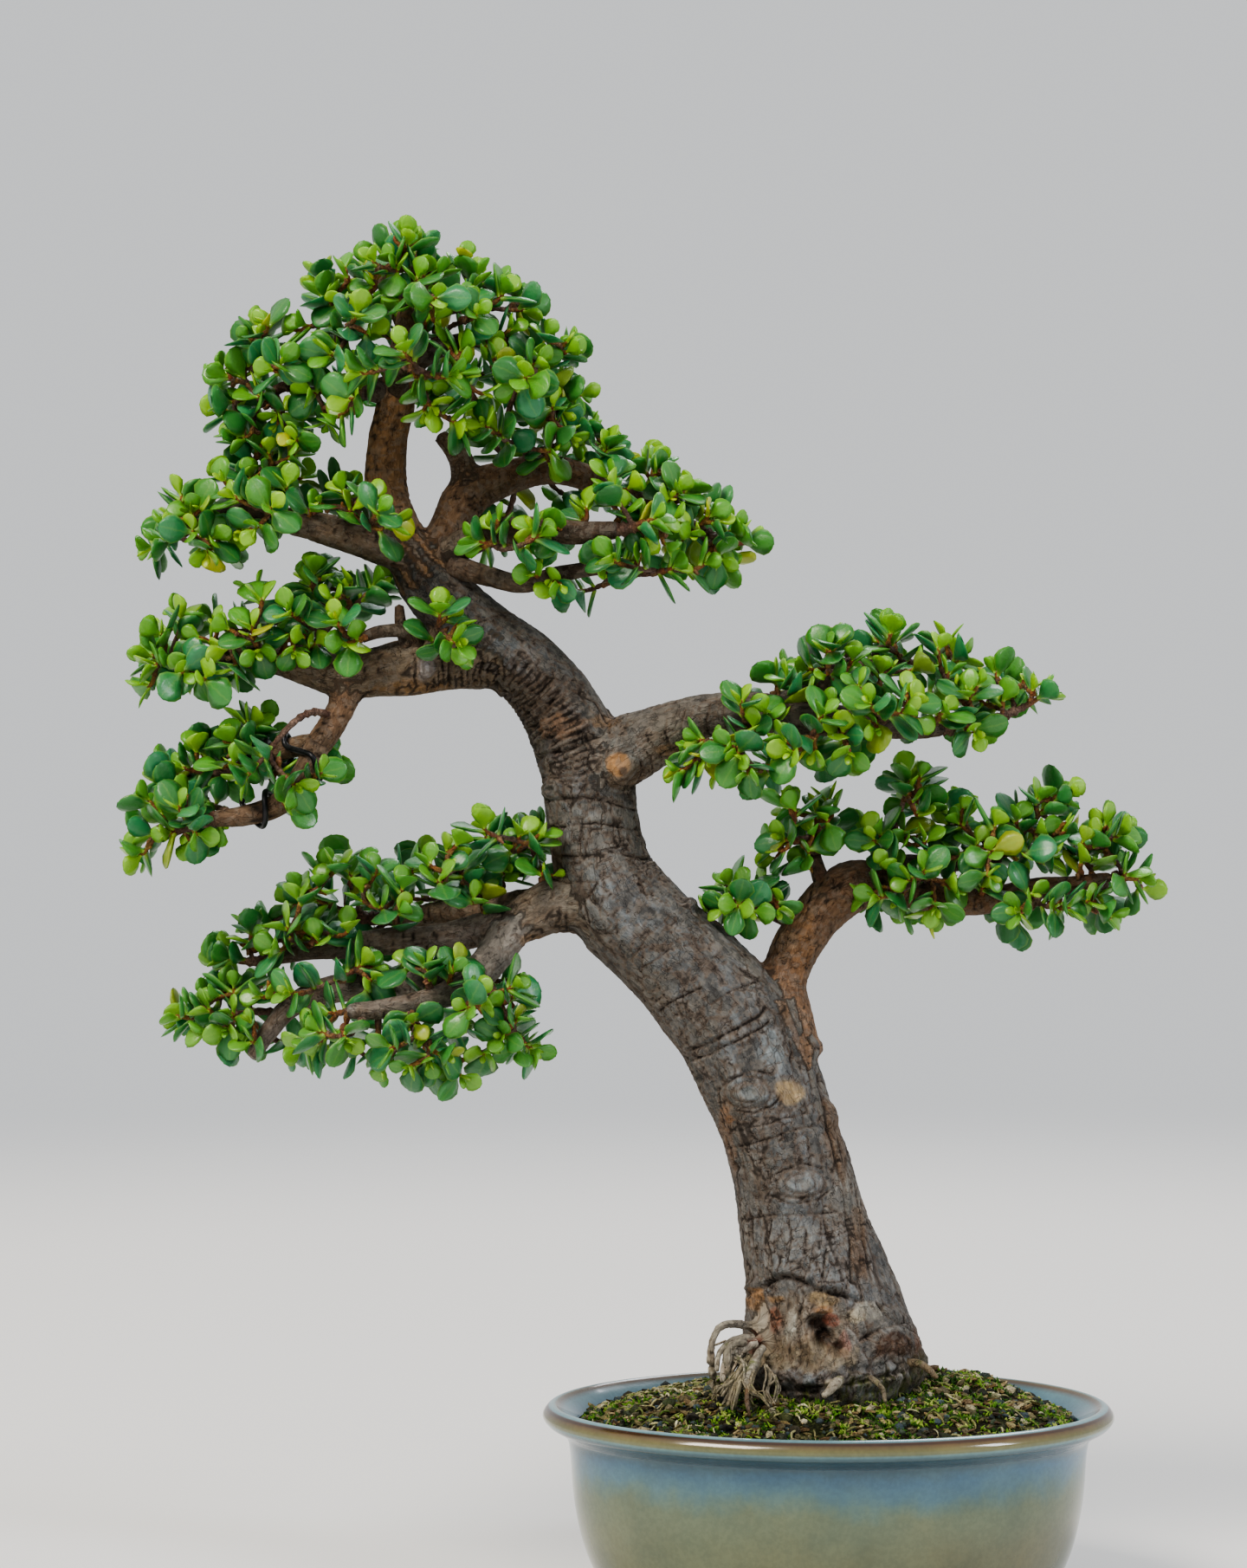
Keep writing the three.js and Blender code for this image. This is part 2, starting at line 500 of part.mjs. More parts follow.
function addRods(points, radii, owner) {
  for (let i = 0; i < points.length - 1; i++) {
    rods.push({ from: points[i], to: points[i + 1], radii: [radii[i], radii[i + 1]], owner });
  }
}

function distanceToRod(point, { from, to, radii }) {
  const line = new THREE.Vector3().subVectors(to, from);
  const offset = new THREE.Vector3().subVectors(point, from);
  const share = THREE.MathUtils.clamp(offset.dot(line) / line.lengthSq(), 0, 1);
  return offset.addScaledVector(line, -share).length() - mix(radii[0], radii[1], share);
}

function insideLeaf(point, leaf, margin) {
  const offset = new THREE.Vector3().subVectors(point, leaf.base);
  const half = leaf.length / 2;
  const u = (offset.dot(leaf.axis) - half) / (half + margin);
  const v = offset.dot(leaf.side) / (leaf.width / 2 + margin);
  const w = offset.dot(leaf.normal) / (leaf.thickness / 2 + margin);
  return u * u + v * v + w * w < 1;
}

function leafPoints(leaf) {
  const points = [];
  for (const [u, spread] of [[0.2, 0.2], [0.4, 0.42], [0.6, 0.5], [0.8, 0.46], [1, 0.12]]) {
    for (const v of [-spread, 0, spread]) {
      points.push(moved(moved(leaf.base, leaf.axis, u * leaf.length), leaf.side, v * leaf.width));
    }
  }
  return points;
}

// Shoots

function bezier([a, b, c, d], t) {
  const s = 1 - t;
  return new THREE.Vector3().addScaledVector(a, s ** 3).addScaledVector(b, 3 * s * s * t)
    .addScaledVector(c, 3 * s * t * t).addScaledVector(d, t ** 3);
}

const SHOOT_STEPS = 12;
const CURVE_HANDLE = 0.35;
const FORK_TRIES = 4;
const FORK_ROOM = 3.5;

function lengthOf(points) {
  return points.slice(1).reduce((sum, point, i) => sum + point.distanceTo(points[i]), 0);
}

// A shoot's line: a few steps to its leafy end, where each leaf pair has a short step of its own
function stationsAlong(points) {
  const total = lengthOf(points);
  const leafy = PAIRS_ON_A_SHOOT * NODE_LENGTH / total;
  const steps = Math.max(1, Math.round((1 - leafy) * total / STEP_LENGTH));
  const shares = Array.from({ length: steps }, (_, i) => i * (1 - leafy) / steps);
  for (let pair = PAIRS_ON_A_SHOOT; pair >= 0; pair--) shares.push(1 - pair * NODE_LENGTH / total);
  return shares.map((share) => {
    const i = Math.min(Math.floor(share * SHOOT_STEPS), SHOOT_STEPS - 1);
    return between(points[i], points[i + 1], share * SHOOT_STEPS - i);
  });
}

function isBlocked(line, owner, free) {
  for (let i = 0; i < line.length - 1; i++) {
    for (let share = 0; share <= 1; share += 0.1) {
      const point = between(line[i], line[i + 1], share);
      if (point.distanceTo(line[0]) < free) continue;
      const room = TWIG_RADIUS + CLEARANCE;
      if (rods.some((rod) => rod.owner !== owner && distanceToRod(point, rod) < room)) return true;
    }
  }
  return false;
}

// A shoot that meets something on its way is bent sideways, a little more at each try
function shootLine(start, direction, tip, finish, owner, free) {
  const span = start.distanceTo(tip);
  const straight = heading(start, tip);
  const side = squareTo(new THREE.Vector3(0.2, -1, 0.3), straight);
  const over = new THREE.Vector3().crossVectors(straight, side);
  for (let attempt = 0; attempt < SHOOT_TRIES; attempt++) {
    const turn = attempt * GOLDEN_TURN;
    const bend = attempt === 0 ? 0 : span * (0.12 + 0.03 * attempt);
    const aside = moved(side.clone().multiplyScalar(bend * Math.cos(turn)), over, bend * Math.sin(turn));
    const leaving = moved(start, direction, span * CURVE_HANDLE).add(aside);
    const arriving = moved(tip, finish, -span * CURVE_HANDLE).add(aside);
    const controls = [start, leaving, arriving, tip];
    const points = Array.from({ length: SHOOT_STEPS + 1 }, (_, i) => bezier(controls, i / SHOOT_STEPS));
    const line = stationsAlong(points);
    if (!isBlocked(line, owner, free)) return line;
  }
  return null;
}

// Places on a shoot below its leafy end where another may leave it
function forksOn({ line }) {
  const forks = [];
  for (let i = 0; i < line.length - 1 - PAIRS_ON_A_SHOOT; i++) {
    const direction = heading(line[i], line[i + 1]);
    for (let share = i ? 0 : 0.3; share < 1; share += 0.2) {
      forks.push({ point: between(line[i], line[i + 1], share), direction });
    }
  }
  return forks;
}

// The first shoot runs from the socket to the farthest tip ahead of it, and the others fork from it
function growShoots(name, spray) {
  const socket = socketFor(spray);
  const reach = (tip) => (
    tip.distanceTo(socket.root) * (1.3 + heading(socket.root, tip).dot(socket.direction)));
  const tips = spray.tips.map(fromPhoto).sort((a, b) => reach(b) - reach(a));
  const heart = tips.reduce((sum, tip) => sum.add(tip), socket.root.clone()).divideScalar(tips.length + 1);
  const shoots = [];
  tips.forEach((tip, order) => {
    const out = heading(heart, tip);
    const forks = order ? shoots.flatMap(forksOn) : [{ point: socket.root, direction: socket.direction }];
    const cost = ({ point, direction }) => (
      point.distanceTo(tip) * (3 - heading(point, tip).dot(direction)));
    forks.sort((a, b) => cost(a) - cost(b));
    const free = FORK_ROOM + (order ? 0 : socket.covered);
    for (const fork of forks.slice(0, FORK_TRIES)) {
      const finish = heading(fork.point, tip).add(out).addScaledVector(UP, 0.8).normalize();
      const line = shootLine(fork.point, fork.direction, tip, finish, name, free);
      if (line) {
        shoots.push({ line, out, stem: order === 0, key: shoots.length });
        break;
      }
    }
  });
  for (const { line } of shoots) addRods(line, line.map(() => TWIG_RADIUS), name);
  return { name, socket, shoots };
}

// Leaves stand in opposite pairs, each pair at right angles to the one below, and turn their faces outward

function leafAt(base, stem, round, out, tilt, length, owner) {
  const axis = stem.clone().multiplyScalar(Math.cos(tilt)).addScaledVector(round, Math.sin(tilt))
    .addScaledVector(out, 0.2).addScaledVector(UP, 0.08).normalize();
  const face = squareTo(stem, axis).addScaledVector(out, 0.4).addScaledVector(UP, 0.3);
  const normal = squareTo(face, axis);
  const side = new THREE.Vector3().crossVectors(normal, axis);
  return {
    base, axis, normal, side, length, width: length * LEAF_WIDTH,
    thickness: Math.max(length * LEAF_THICKNESS, LEAF_MIN_THICKNESS), owner,
  };
}

function leafIsClear(leaf, twin) {
  const points = leafPoints(leaf);
  const meetsLeaf = leaves.some((other) => other !== twin
    && other.base.distanceTo(leaf.base) < other.length + leaf.length
    && (points.some((point) => insideLeaf(point, other, CLEARANCE))
      || leafPoints(other).some((point) => insideLeaf(point, leaf, CLEARANCE))));
  if (meetsLeaf) return false;
  const nearRods = rods.filter(({ from, to }) => (
    from.distanceTo(leaf.base) < leaf.length + THICKEST + from.distanceTo(to)));
  return !points.some((point) => {
    const far = point.distanceTo(leaf.base) > 0.3 * leaf.length;
    const others = nearRods.filter((rod) => far || rod.owner !== leaf.owner);
    return others.some((rod) => distanceToRod(point, rod) < CLEARANCE);
  });
}

// The shoot's square section, carried along it from a drawn turn: one frame for each of its steps
function framesAlong(points, startDirection, turn) {
  let across = new THREE.Vector3(0.31, 1, 0.17);
  return points.map((point, i) => {
    const before = points[Math.max(i - 1, 0)];
    const after = points[Math.max(i, 1)];
    const stem = i === 0 && startDirection ? startDirection.clone() : heading(before, after);
    if (i === 0) across = squareTo(across, stem).applyAxisAngle(stem, turn);
    across = squareTo(across, stem);
    return { point, stem, across, aside: new THREE.Vector3().crossVectors(stem, across) };
  });
}

// The end pair is young and close to the shoot, and the pair below it is full grown
function pairShape(index, key, pair) {
  const [small, large] = pair === 0 ? [0.5, 0.72] : [0.78, 1];
  const [steep, flat] = pair === 0 ? [0.65, 0.9] : [1.05, 1.35];
  return {
    size: mix(small, large, draw(index, key, 2 + 2 * pair)),
    tilt: mix(steep, flat, draw(index, key, 9 + 2 * pair)),
  };
}

function growPairs({ name, socket, shoots }, index) {
  for (const shoot of shoots) {
    const { line, out, key } = shoot;
    const start = shoot.stem ? socket.direction : undefined;
    shoot.frames = framesAlong(line, start, 2 * Math.PI * draw(index, key, 1));
    shoot.pairs = [];
    for (let pair = 0; pair < PAIRS_ON_A_SHOOT; pair++) {
      const ring = line.length - 2 - pair;
      const [below, above] = [shoot.frames[ring], shoot.frames[ring + 1]];
      const centre = between(below.point, above.point, 0.5);
      const { size, tilt } = pairShape(index, key, pair);
      let twin = null;
      for (const half of [0, 1]) {
        const round = (pair % 2 ? above.across : above.aside).clone().multiplyScalar(half ? -1 : 1);
        const base = moved(centre, round, TWIG_RADIUS / 2);
        for (let attempt = 0; attempt < LEAF_TRIES; attempt++) {
          const length = LEAF_LENGTH * size * (1 - 0.07 * attempt);
          const leaf = leafAt(base, above.stem, round, out, tilt - 0.16 * attempt, length, name);
          if (leafIsClear(leaf, twin)) {
            leaves.push(leaf);
            shoot.pairs.push({ ring, face: (pair % 2 ? 0 : 1) + 2 * half, leaf });
            twin = leaf;
            break;
          }
        }
      }
    }
  }
}

// A shoot is a square tube, and each leaf is a thick blade drawn out from one of its faces
const HALF_BLADE = [[0.33, 0.37], [0.74, 0.5]];
const HALF_YOUNG_BLADE = [[0.6, 0.5]];
const BLADE_TIP = [1, 0];
const BLADE_CREST = 0.45;

function shootSolid({ frames, pairs, stem }, socket) {
  const last = frames.length - 1;
  const startRadius = stem ? socket.radius : 1.1 * TWIG_RADIUS;
  const points = frames.flatMap(({ point, across, aside }, i) => {
    const radius = mix(startRadius, TWIG_RADIUS, Math.min(1, i / Math.max(last - 2, 1)));
    return [-0.25, 0.25, 0.75, 1.25].map((turn) => {
      const angle = turn * Math.PI;
      return moved(moved(point, across, radius * Math.cos(angle)), aside, radius * Math.sin(angle));
    });
  });
  const top = 4 * last;
  const index = [0, 2, 1, 0, 3, 2, top, top + 1, top + 2, top, top + 2, top + 3];
  for (let ring = 0; ring < last; ring++) {
    for (let face = 0; face < 4; face++) {
      const [a, b] = [4 * ring + face, 4 * ring + (face + 1) % 4];
      const [c, d] = [b + 4, a + 4];
      const drawn = pairs.find((pair) => pair.ring === ring && pair.face === face);
      if (!drawn) {
        index.push(a, b, c, a, c, d);
        continue;
      }
      const { base, axis, side, normal, length, width, thickness } = drawn.leaf;
      const place = (u, v, w) => moved(
        moved(moved(base, axis, u * length), side, v * width), normal, w * thickness);
      const half = ring === last - 1 ? HALF_YOUNG_BLADE : HALF_BLADE;
      const edge = [...half, BLADE_TIP, ...half.toReversed().map(([u, v]) => [u, -v])];
      const first = points.length;
      points.push(...edge.map(([u, v]) => place(u, v, 0)));
      points.push(place(BLADE_CREST, 0, 0.5), place(BLADE_CREST, 0, -0.5));
      const [over, under] = [first + edge.length, first + edge.length + 1];
      const rim = edge.map((_, i) => first + i);
      const [upper, lower] = [[c, d, ...rim.toReversed()], [a, b, ...rim]];
      for (let i = 0; i < upper.length; i++) {
        const next = (i + 1) % upper.length;
        index.push(upper[i], upper[next], over, lower[i], lower[next], under);
      }
      index.push(d, a, rim.at(-1), b, c, rim[0]);
    }
  }
  return solidFrom(points.flatMap(({ x, y, z }) => [x, y, z]), index);
}

// Training wire, wound down the upper of the two small limbs and on along the lower one

function coil(name, from, to, turns, startTurn) {
  const count = Math.round(8 * turns);
  return Array.from({ length: count + 1 }, (_, k) => {
    const { point, axis, radius } = placeOn(name, mix(from, to, k / count));
    const up = squareTo(UP, axis);
    const side = new THREE.Vector3().crossVectors(axis, up);
    const angle = -2 * Math.PI * (startTurn + turns * k / count);
    const reach = radius + WIRE_RADIUS + WIRE_STANDOFF;
    return moved(moved(point, up, reach * Math.cos(angle)), side, reach * Math.sin(angle));
  });
}

// Between its two coils the wire crosses in front of the fork
const crossing = placeOn('leftDropLower', 0.3);
const wirePoints = [
  ...coil('leftDropUpper', 2.4, 1, 2.25, 0),
  moved(crossing.point, FRONT, crossing.radius + WIRE_RADIUS + 3 * WIRE_STANDOFF),
  ...coil('leftDropLower', 0.75, 3.1, 2.75, 0.25),
];

function makeWire() {
  const curve = new THREE.CatmullRomCurve3(wirePoints);
  const section = new THREE.Shape(Array.from({ length: WIRE_SIDES }, (_, i) => {
    const angle = 2 * Math.PI * i / WIRE_SIDES;
    return new THREE.Vector2(WIRE_RADIUS * Math.cos(angle), WIRE_RADIUS * Math.sin(angle));
  }));
  const options = { steps: WIRE_STEPS, extrudePath: curve, bevelEnabled: false };
  return solidOf(new THREE.ExtrudeGeometry(section, options));
}

// The whole object

Object.entries(limbs).forEach(([name, { points, radii }]) => addRods(points, radii, name));
addRods(wirePoints, wirePoints.map(() => WIRE_RADIUS), 'wire');

const sprays = Object.entries(SPRAYS).map(([name, spray]) => growShoots(name, spray));
sprays.forEach(growPairs);

const wood = wasm.Manifold.union([
  ...Object.keys(LIMBS).map((name) => limbSolid(name)), ...ROOTS.map((root) => rootSolid(root)),
]);
const woodRoom = wasm.Manifold.union(Object.keys(LIMBS).map((name) => limbSolid(name, GAP)));

const bonsai = new THREE.Group();
bonsai.add(meshFrom('pot', makePot(), COLOURS.glaze, 0.25));
bonsai.add(meshFrom('drainage_screen_left', makeScreen(-1), COLOURS.screen, 0.7));
bonsai.add(meshFrom('drainage_screen_right', makeScreen(1), COLOURS.screen, 0.7));
const roomSize = SCREEN_SIZE + 2 * GAP;
const screenRooms = [-1, 1].map((side) => (
  boxAt(roomSize, roomSize, 2 * (SCREEN_THICKNESS + 2 * GAP), side * DRAIN_OFFSET, 0, POT_FLOOR + GAP)));
const soilRooms = wasm.Manifold.union([rootHoles(), ...screenRooms]);
bonsai.add(meshFrom('soil', makeSoil(soilRooms), COLOURS.soil, 0.95));
bonsai.add(meshFrom('trunk', wood, COLOURS.bark, 0.85));
bonsai.add(meshFrom('training_wire', makeWire(), COLOURS.wire, 0.45));

for (const { name, socket, shoots } of sprays) {
  const spray = wasm.Manifold.union(shoots.map((shoot) => shootSolid(shoot, socket)));
  bonsai.add(meshFrom(name, spray.subtract(woodRoom), COLOURS.leaf, 0.35));
}

export default bonsai;
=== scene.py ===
import json
import math

import bpy
import numpy as np
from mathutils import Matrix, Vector, noise
from mathutils.kdtree import KDTree

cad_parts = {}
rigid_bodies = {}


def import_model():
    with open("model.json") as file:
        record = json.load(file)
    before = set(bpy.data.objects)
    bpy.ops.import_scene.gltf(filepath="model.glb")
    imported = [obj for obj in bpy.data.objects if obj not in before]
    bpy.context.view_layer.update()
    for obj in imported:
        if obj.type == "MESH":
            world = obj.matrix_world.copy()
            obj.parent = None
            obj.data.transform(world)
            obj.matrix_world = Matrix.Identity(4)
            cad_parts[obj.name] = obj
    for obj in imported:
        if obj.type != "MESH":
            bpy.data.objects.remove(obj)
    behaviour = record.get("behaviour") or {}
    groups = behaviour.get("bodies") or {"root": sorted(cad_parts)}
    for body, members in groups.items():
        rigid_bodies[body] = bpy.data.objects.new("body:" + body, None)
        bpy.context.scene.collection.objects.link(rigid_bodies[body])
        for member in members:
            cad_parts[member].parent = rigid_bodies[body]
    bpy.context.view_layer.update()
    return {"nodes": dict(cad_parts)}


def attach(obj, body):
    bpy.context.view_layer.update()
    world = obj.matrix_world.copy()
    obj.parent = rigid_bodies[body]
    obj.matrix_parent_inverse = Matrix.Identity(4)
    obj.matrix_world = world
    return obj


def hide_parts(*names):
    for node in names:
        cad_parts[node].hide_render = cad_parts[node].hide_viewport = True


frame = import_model()
print("frame loaded:", len(frame["nodes"]), "nodes")

# Lengths are in millimetres until a mesh is made. +Z is up, and the photograph looks along +Y.
photoView = {"x": -78.8, "distance": 1400, "height": 315.5, "middleX": 720, "middleY": 905, "scale": 0.334}
up = np.array([0.0, 0.0, 1.0])
front = np.array([0.0, -1.0, 0.0])
goldenTurn = math.pi * (3 - math.sqrt(5))


# Places

def fromPhoto(rows):
    rows = np.atleast_2d(np.asarray(rows, float))
    scale = photoView["scale"] * (photoView["distance"] + rows[:, 2]) / photoView["distance"]
    x = photoView["x"] + (rows[:, 0] - photoView["middleX"]) * scale
    z = photoView["height"] + (photoView["middleY"] - rows[:, 1]) * scale
    return np.stack([x, rows[:, 2], z], 1)


def toPhoto(points):
    scale = photoView["scale"] * (photoView["distance"] + points[:, 1]) / photoView["distance"]
    px = photoView["middleX"] + (points[:, 0] - photoView["x"]) / scale
    py = photoView["middleY"] - (points[:, 2] - photoView["height"]) / scale
    return np.stack([px, py], 1)


def unit(vector):
    return vector / np.linalg.norm(vector)


def lengths(rows):
    return np.linalg.norm(rows, axis=1)


def wayAlong(line):
    # the way from a line's start to each of its points
    return np.concatenate([[0], np.cumsum(lengths(np.diff(line, axis=0)))])


def squareTo(vector, axis):
    return unit(vector - axis * (vector @ axis))


def mix(a, b, share):
    return a + (b - a) * share


def step(low, high, value):
    share = np.clip((value - low) / (high - low), 0, 1)
    return share * share * (3 - 2 * share)


def bell(value, width):
    return np.exp(-(value / width) ** 2)


def noiseAt(points, size, octaves=1):
    # smooth noise from about -1 to 1, one value for each point
    rows = np.asarray(points, float) / size
    return np.array([noise.fractal(Vector(row), 1.0, 2.0, octaves) for row in rows.tolist()])


# Meshes

def buildMesh(name, points, faceSets, attributes=None, smooth=True):
    loops = np.concatenate([faces.ravel() for faces in faceSets])
    sizes = np.concatenate([np.full(len(faces), faces.shape[1]) for faces in faceSets])
    starts = np.cumsum(sizes) - sizes
    mesh = bpy.data.meshes.new(name)
    mesh.vertices.add(len(points))
    mesh.loops.add(len(loops))
    mesh.polygons.add(len(sizes))
    mesh.vertices.foreach_set("co", (np.asarray(points) * 0.001).astype(np.float32).ravel())
    mesh.loops.foreach_set("vertex_index", loops.astype(np.int32))
    mesh.polygons.foreach_set("loop_start", starts.astype(np.int32))
    mesh.update(calc_edges=True)
    if smooth:
        mesh.shade_smooth()
    else:
        mesh.shade_flat()
    for key, values in (attributes or {}).items():
        kind, field = ("FLOAT", "value") if np.ndim(values) == 1 else ("FLOAT_VECTOR", "vector")
        values = np.asarray(values, np.float32).ravel()
        mesh.attributes.new(key, kind, "POINT").data.foreach_set(field, values)
    return mesh


def addPiece(mesh, material, nodes=()):
    piece = bpy.data.objects.new(mesh.name, mesh)
    bpy.context.scene.collection.objects.link(piece)
    mesh.materials.clear()
    mesh.materials.append(material)
    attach(piece, "root")
    if nodes:
        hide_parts(*nodes)
    return piece


def between(a, b, c, d, t):
    # a place on the smooth curve from b to c, with a before them and d behind them
    return 0.5 * (2 * b + (c - a) * t + (2 * a - 5 * b + 4 * c - d) * t * t
                  + (3 * b - a - 3 * c + d) * t ** 3)


def smoothLine(points, radii, spacing):
    # a curve through the points, with the radius carried along as a fourth value
    rows = np.column_stack([points, radii])
    rows = np.vstack([2 * rows[0] - rows[1], rows, 2 * rows[-1] - rows[-2]])
    made = []
    for a, b, c, d in zip(rows[:-3], rows[1:-2], rows[2:-1], rows[3:]):
        count = max(1, math.ceil(np.linalg.norm((c - b)[:3]) / spacing))
        made += [between(a, b, c, d, t) for t in np.arange(count) / count]
    made = np.array(made + [rows[-2]])
    return made[:, :3], np.maximum(made[:, 3], 0.2)


def framesAlong(line, firstSide=front):
    tangents = np.gradient(line, axis=0)
    tangents /= lengths(tangents)[:, None]
    side, sides = firstSide, []
    for tangent in tangents:
        side = squareTo(side, tangent)
        sides.append(side)
    sides = np.array(sides)
    return tangents, sides, np.cross(tangents, sides)


def ringFaces(rings, sides, start=0):
    # the four-sided faces between rings of points
    ring = start + np.arange(rings)[:, None] * sides
    a, b = (ring + np.arange(sides)).ravel(), (ring + (np.arange(sides) + 1) % sides).ravel()
    return np.stack([a, b, b + sides, a + sides], 1)


def tube(line, radii, sides, firstSide=front, rounding=0.5):
    # a closed tube: rings of points, a point at each end, and its faces
    tangents, across, aside = framesAlong(line, firstSide)
    angles = 2 * math.pi * np.arange(sides) / sides
    reach = np.asarray(radii)[:, None, None]
    rings = line[:, None] + reach * (np.cos(angles)[:, None] * across[:, None]
                                     + np.sin(angles)[:, None] * aside[:, None])
    last = len(line) - 1
    ends = [line[0] - tangents[0] * radii[0] * rounding, line[last] + tangents[last] * radii[last] * rounding]
    points = np.vstack([rings.reshape(-1, 3), ends])
    j = np.arange(sides)
    k = (j + 1) % sides
    first = np.full(sides, len(points) - 2)
    top = last * sides
    tris = np.vstack([np.stack([first, k, j], 1), np.stack([first + 1, top + j, top + k], 1)])
    return points, ringFaces(last, sides), tris


def joinParts(parts):
    # several (points, quads, tris) as one
    points, quads, tris, start = [], [], [], 0
    for part in parts:
        points.append(part[0])
        quads.append(part[1] + start)
        tris.append(part[2] + start)
        start += len(part[0])
    return np.vstack(points), np.vstack(quads), np.vstack(tris)


# Shader nodes

def rgb(code):
    values = [int(code[i:i + 2], 16) / 255 for i in (0, 2, 4)]
    return (*[v / 12.92 if v <= 0.04045 else ((v + 0.055) / 1.055) ** 2.4 for v in values], 1)


def shade(code):
    return np.array(rgb(code)[:3])


def addNode(tree, kind, inputs=None, **settings):
    made = tree.nodes.new(kind)
    for key, value in settings.items():
        setattr(made, key, value)
    for key, value in (inputs or {}).items():
        if isinstance(value, bpy.types.NodeSocket):
            tree.links.new(value, made.inputs[key])
        else:
            made.inputs[key].default_value = value
    return made


def mathNode(tree, operation, *values):
    return addNode(tree, "ShaderNodeMath", dict(enumerate(values)), operation=operation).outputs[0]


def blendColour(tree, share, first, second, kind="MIX"):
    made = addNode(tree, "ShaderNodeMix", {0: share, 6: first, 7: second}, data_type="RGBA", blend_type=kind)
    return made.outputs[2]


def rangeNode(tree, value, low, high, newLow=0.0, newHigh=1.0):
    inputs = {"Value": value, "From Min": low, "From Max": high, "To Min": newLow, "To Max": newHigh}
    return addNode(tree, "ShaderNodeMapRange", inputs, interpolation_type="SMOOTHSTEP").outputs[0]


def times(tree, first, *others):
    for other in others:
        first = mathNode(tree, "MULTIPLY", first, other)
    return first


def plus(tree, first, second):
    return mathNode(tree, "ADD", first, second)


def less(tree, first, second):
    return mathNode(tree, "SUBTRACT", first, second)


def wash(tree, base, code, mask, share):
    # a colour laid over the base where the mask is
    return blendColour(tree, times(tree, mask, share), base, rgb(code))


def noiseNode(tree, place, scale, detail, roughness=0.5):
    inputs = {"Vector": place, "Scale": scale, "Detail": detail, "Roughness": roughness}
    return addNode(tree, "ShaderNodeTexNoise", inputs).outputs


def stretched(tree, place, height):
    return addNode(tree, "ShaderNodeMapping", {"Vector": place, "Scale": (1.0, 1.0, height)}).outputs[0]


def attributeNode(tree, name):
    return addNode(tree, "ShaderNodeAttribute", attribute_name=name).outputs


def splitNode(tree, vector):
    return addNode(tree, "ShaderNodeSeparateXYZ", {0: vector}).outputs


def objectPlace(tree):
    return addNode(tree, "ShaderNodeTexCoord").outputs["Object"]


def rampNode(tree, value, stops):
    ramp = addNode(tree, "ShaderNodeValToRGB", {0: value})
    elements = ramp.color_ramp.elements
    while len(elements) < len(stops):
        elements.new(0.5)
    for element, (position, code) in zip(elements, stops):
        element.position = position
        element.color = rgb(code)
    return ramp.outputs["Color"]


def newGroup(name, inputs, outputs):
    group = bpy.data.node_groups.new(name, "ShaderNodeTree")
    for label, kind, value in inputs:
        socket = group.interface.new_socket(name=label, in_out="INPUT", socket_type="NodeSocket" + kind)
        if value is not None:
            socket.default_value = value
    for label, kind in outputs:
        group.interface.new_socket(name=label, in_out="OUTPUT", socket_type="NodeSocket" + kind)
    return group, group.nodes.new("NodeGroupInput").outputs, group.nodes.new("NodeGroupOutput").inputs


def makeMottleGroup():
    # two colours in soft patches, with the patches as a mask too
    group, given, result = newGroup(
        "softMottle",
        [("Place", "Vector", None), ("Scale", "Float", 50.0), ("Softness", "Float", 0.2),
         ("First", "Color", (1, 1, 1, 1)), ("Second", "Color", (0, 0, 0, 1))],
        [("Colour", "Color"), ("Mask", "Float")])
    patches = noiseNode(group, given["Place"], given["Scale"], 5.0, 0.62)["Fac"]
    low, high = less(group, 0.5, given["Softness"]), plus(group, 0.5, given["Softness"])
    mask = rangeNode(group, patches, low, high)
    group.links.new(mask, result["Mask"])
    group.links.new(blendColour(group, mask, given["First"], given["Second"]), result["Colour"])
    return group


def makeCrackGroup():
    # a net of fine cracks: the mask is 1 in a crack
    group, given, result = newGroup(
        "fineCracks",
        [("Place", "Vector", None), ("Scale", "Float", 200.0), ("Width", "Float", 0.08),
         ("Waver", "Float", 0.002)],
        [("Mask", "Float"), ("Height", "Float")])
    waver = noiseNode(group, given["Place"], given["Scale"], 3.0)
    offset = addNode(group, "ShaderNodeVectorMath", {0: waver["Color"], 1: (0.5, 0.5, 0.5)},
                     operation="SUBTRACT")
    scaled = addNode(group, "ShaderNodeVectorMath", {0: offset.outputs[0], "Scale": given["Waver"]},
                     operation="SCALE")
    place = addNode(group, "ShaderNodeVectorMath", {0: given["Place"], 1: scaled.outputs[0]}, operation="ADD")
    cells = addNode(group, "ShaderNodeTexVoronoi", {"Vector": place.outputs[0], "Scale": given["Scale"]},
                    feature="DISTANCE_TO_EDGE")
    gap = rangeNode(group, cells.outputs["Distance"], 0.0, given["Width"], 1.0, 0.0)
    mask = times(group, gap, rangeNode(group, waver["Fac"], 0.38, 0.6))
    group.links.new(mask, result["Mask"])
    group.links.new(less(group, 1.0, mask), result["Height"])
    return group


softMottle = makeMottleGroup()
fineCracks = makeCrackGroup()


def mottle(tree, place, scale, softness, first, second):
    inputs = {"Place": place, "Scale": scale, "Softness": softness}
    for label, colour in (("First", first), ("Second", second)):
        inputs[label] = rgb(colour) if isinstance(colour, str) else (*colour, 1)
    return addNode(tree, "ShaderNodeGroup", inputs, node_tree=softMottle).outputs


def mottled(tree, base, share, place, scale, softness, first, second):
    # the base made lighter and darker in patches, and the patches' mask
    patches = mottle(tree, place, scale, softness, first, second)
    return blendColour(tree, share, base, patches["Colour"], "MULTIPLY"), patches["Mask"]


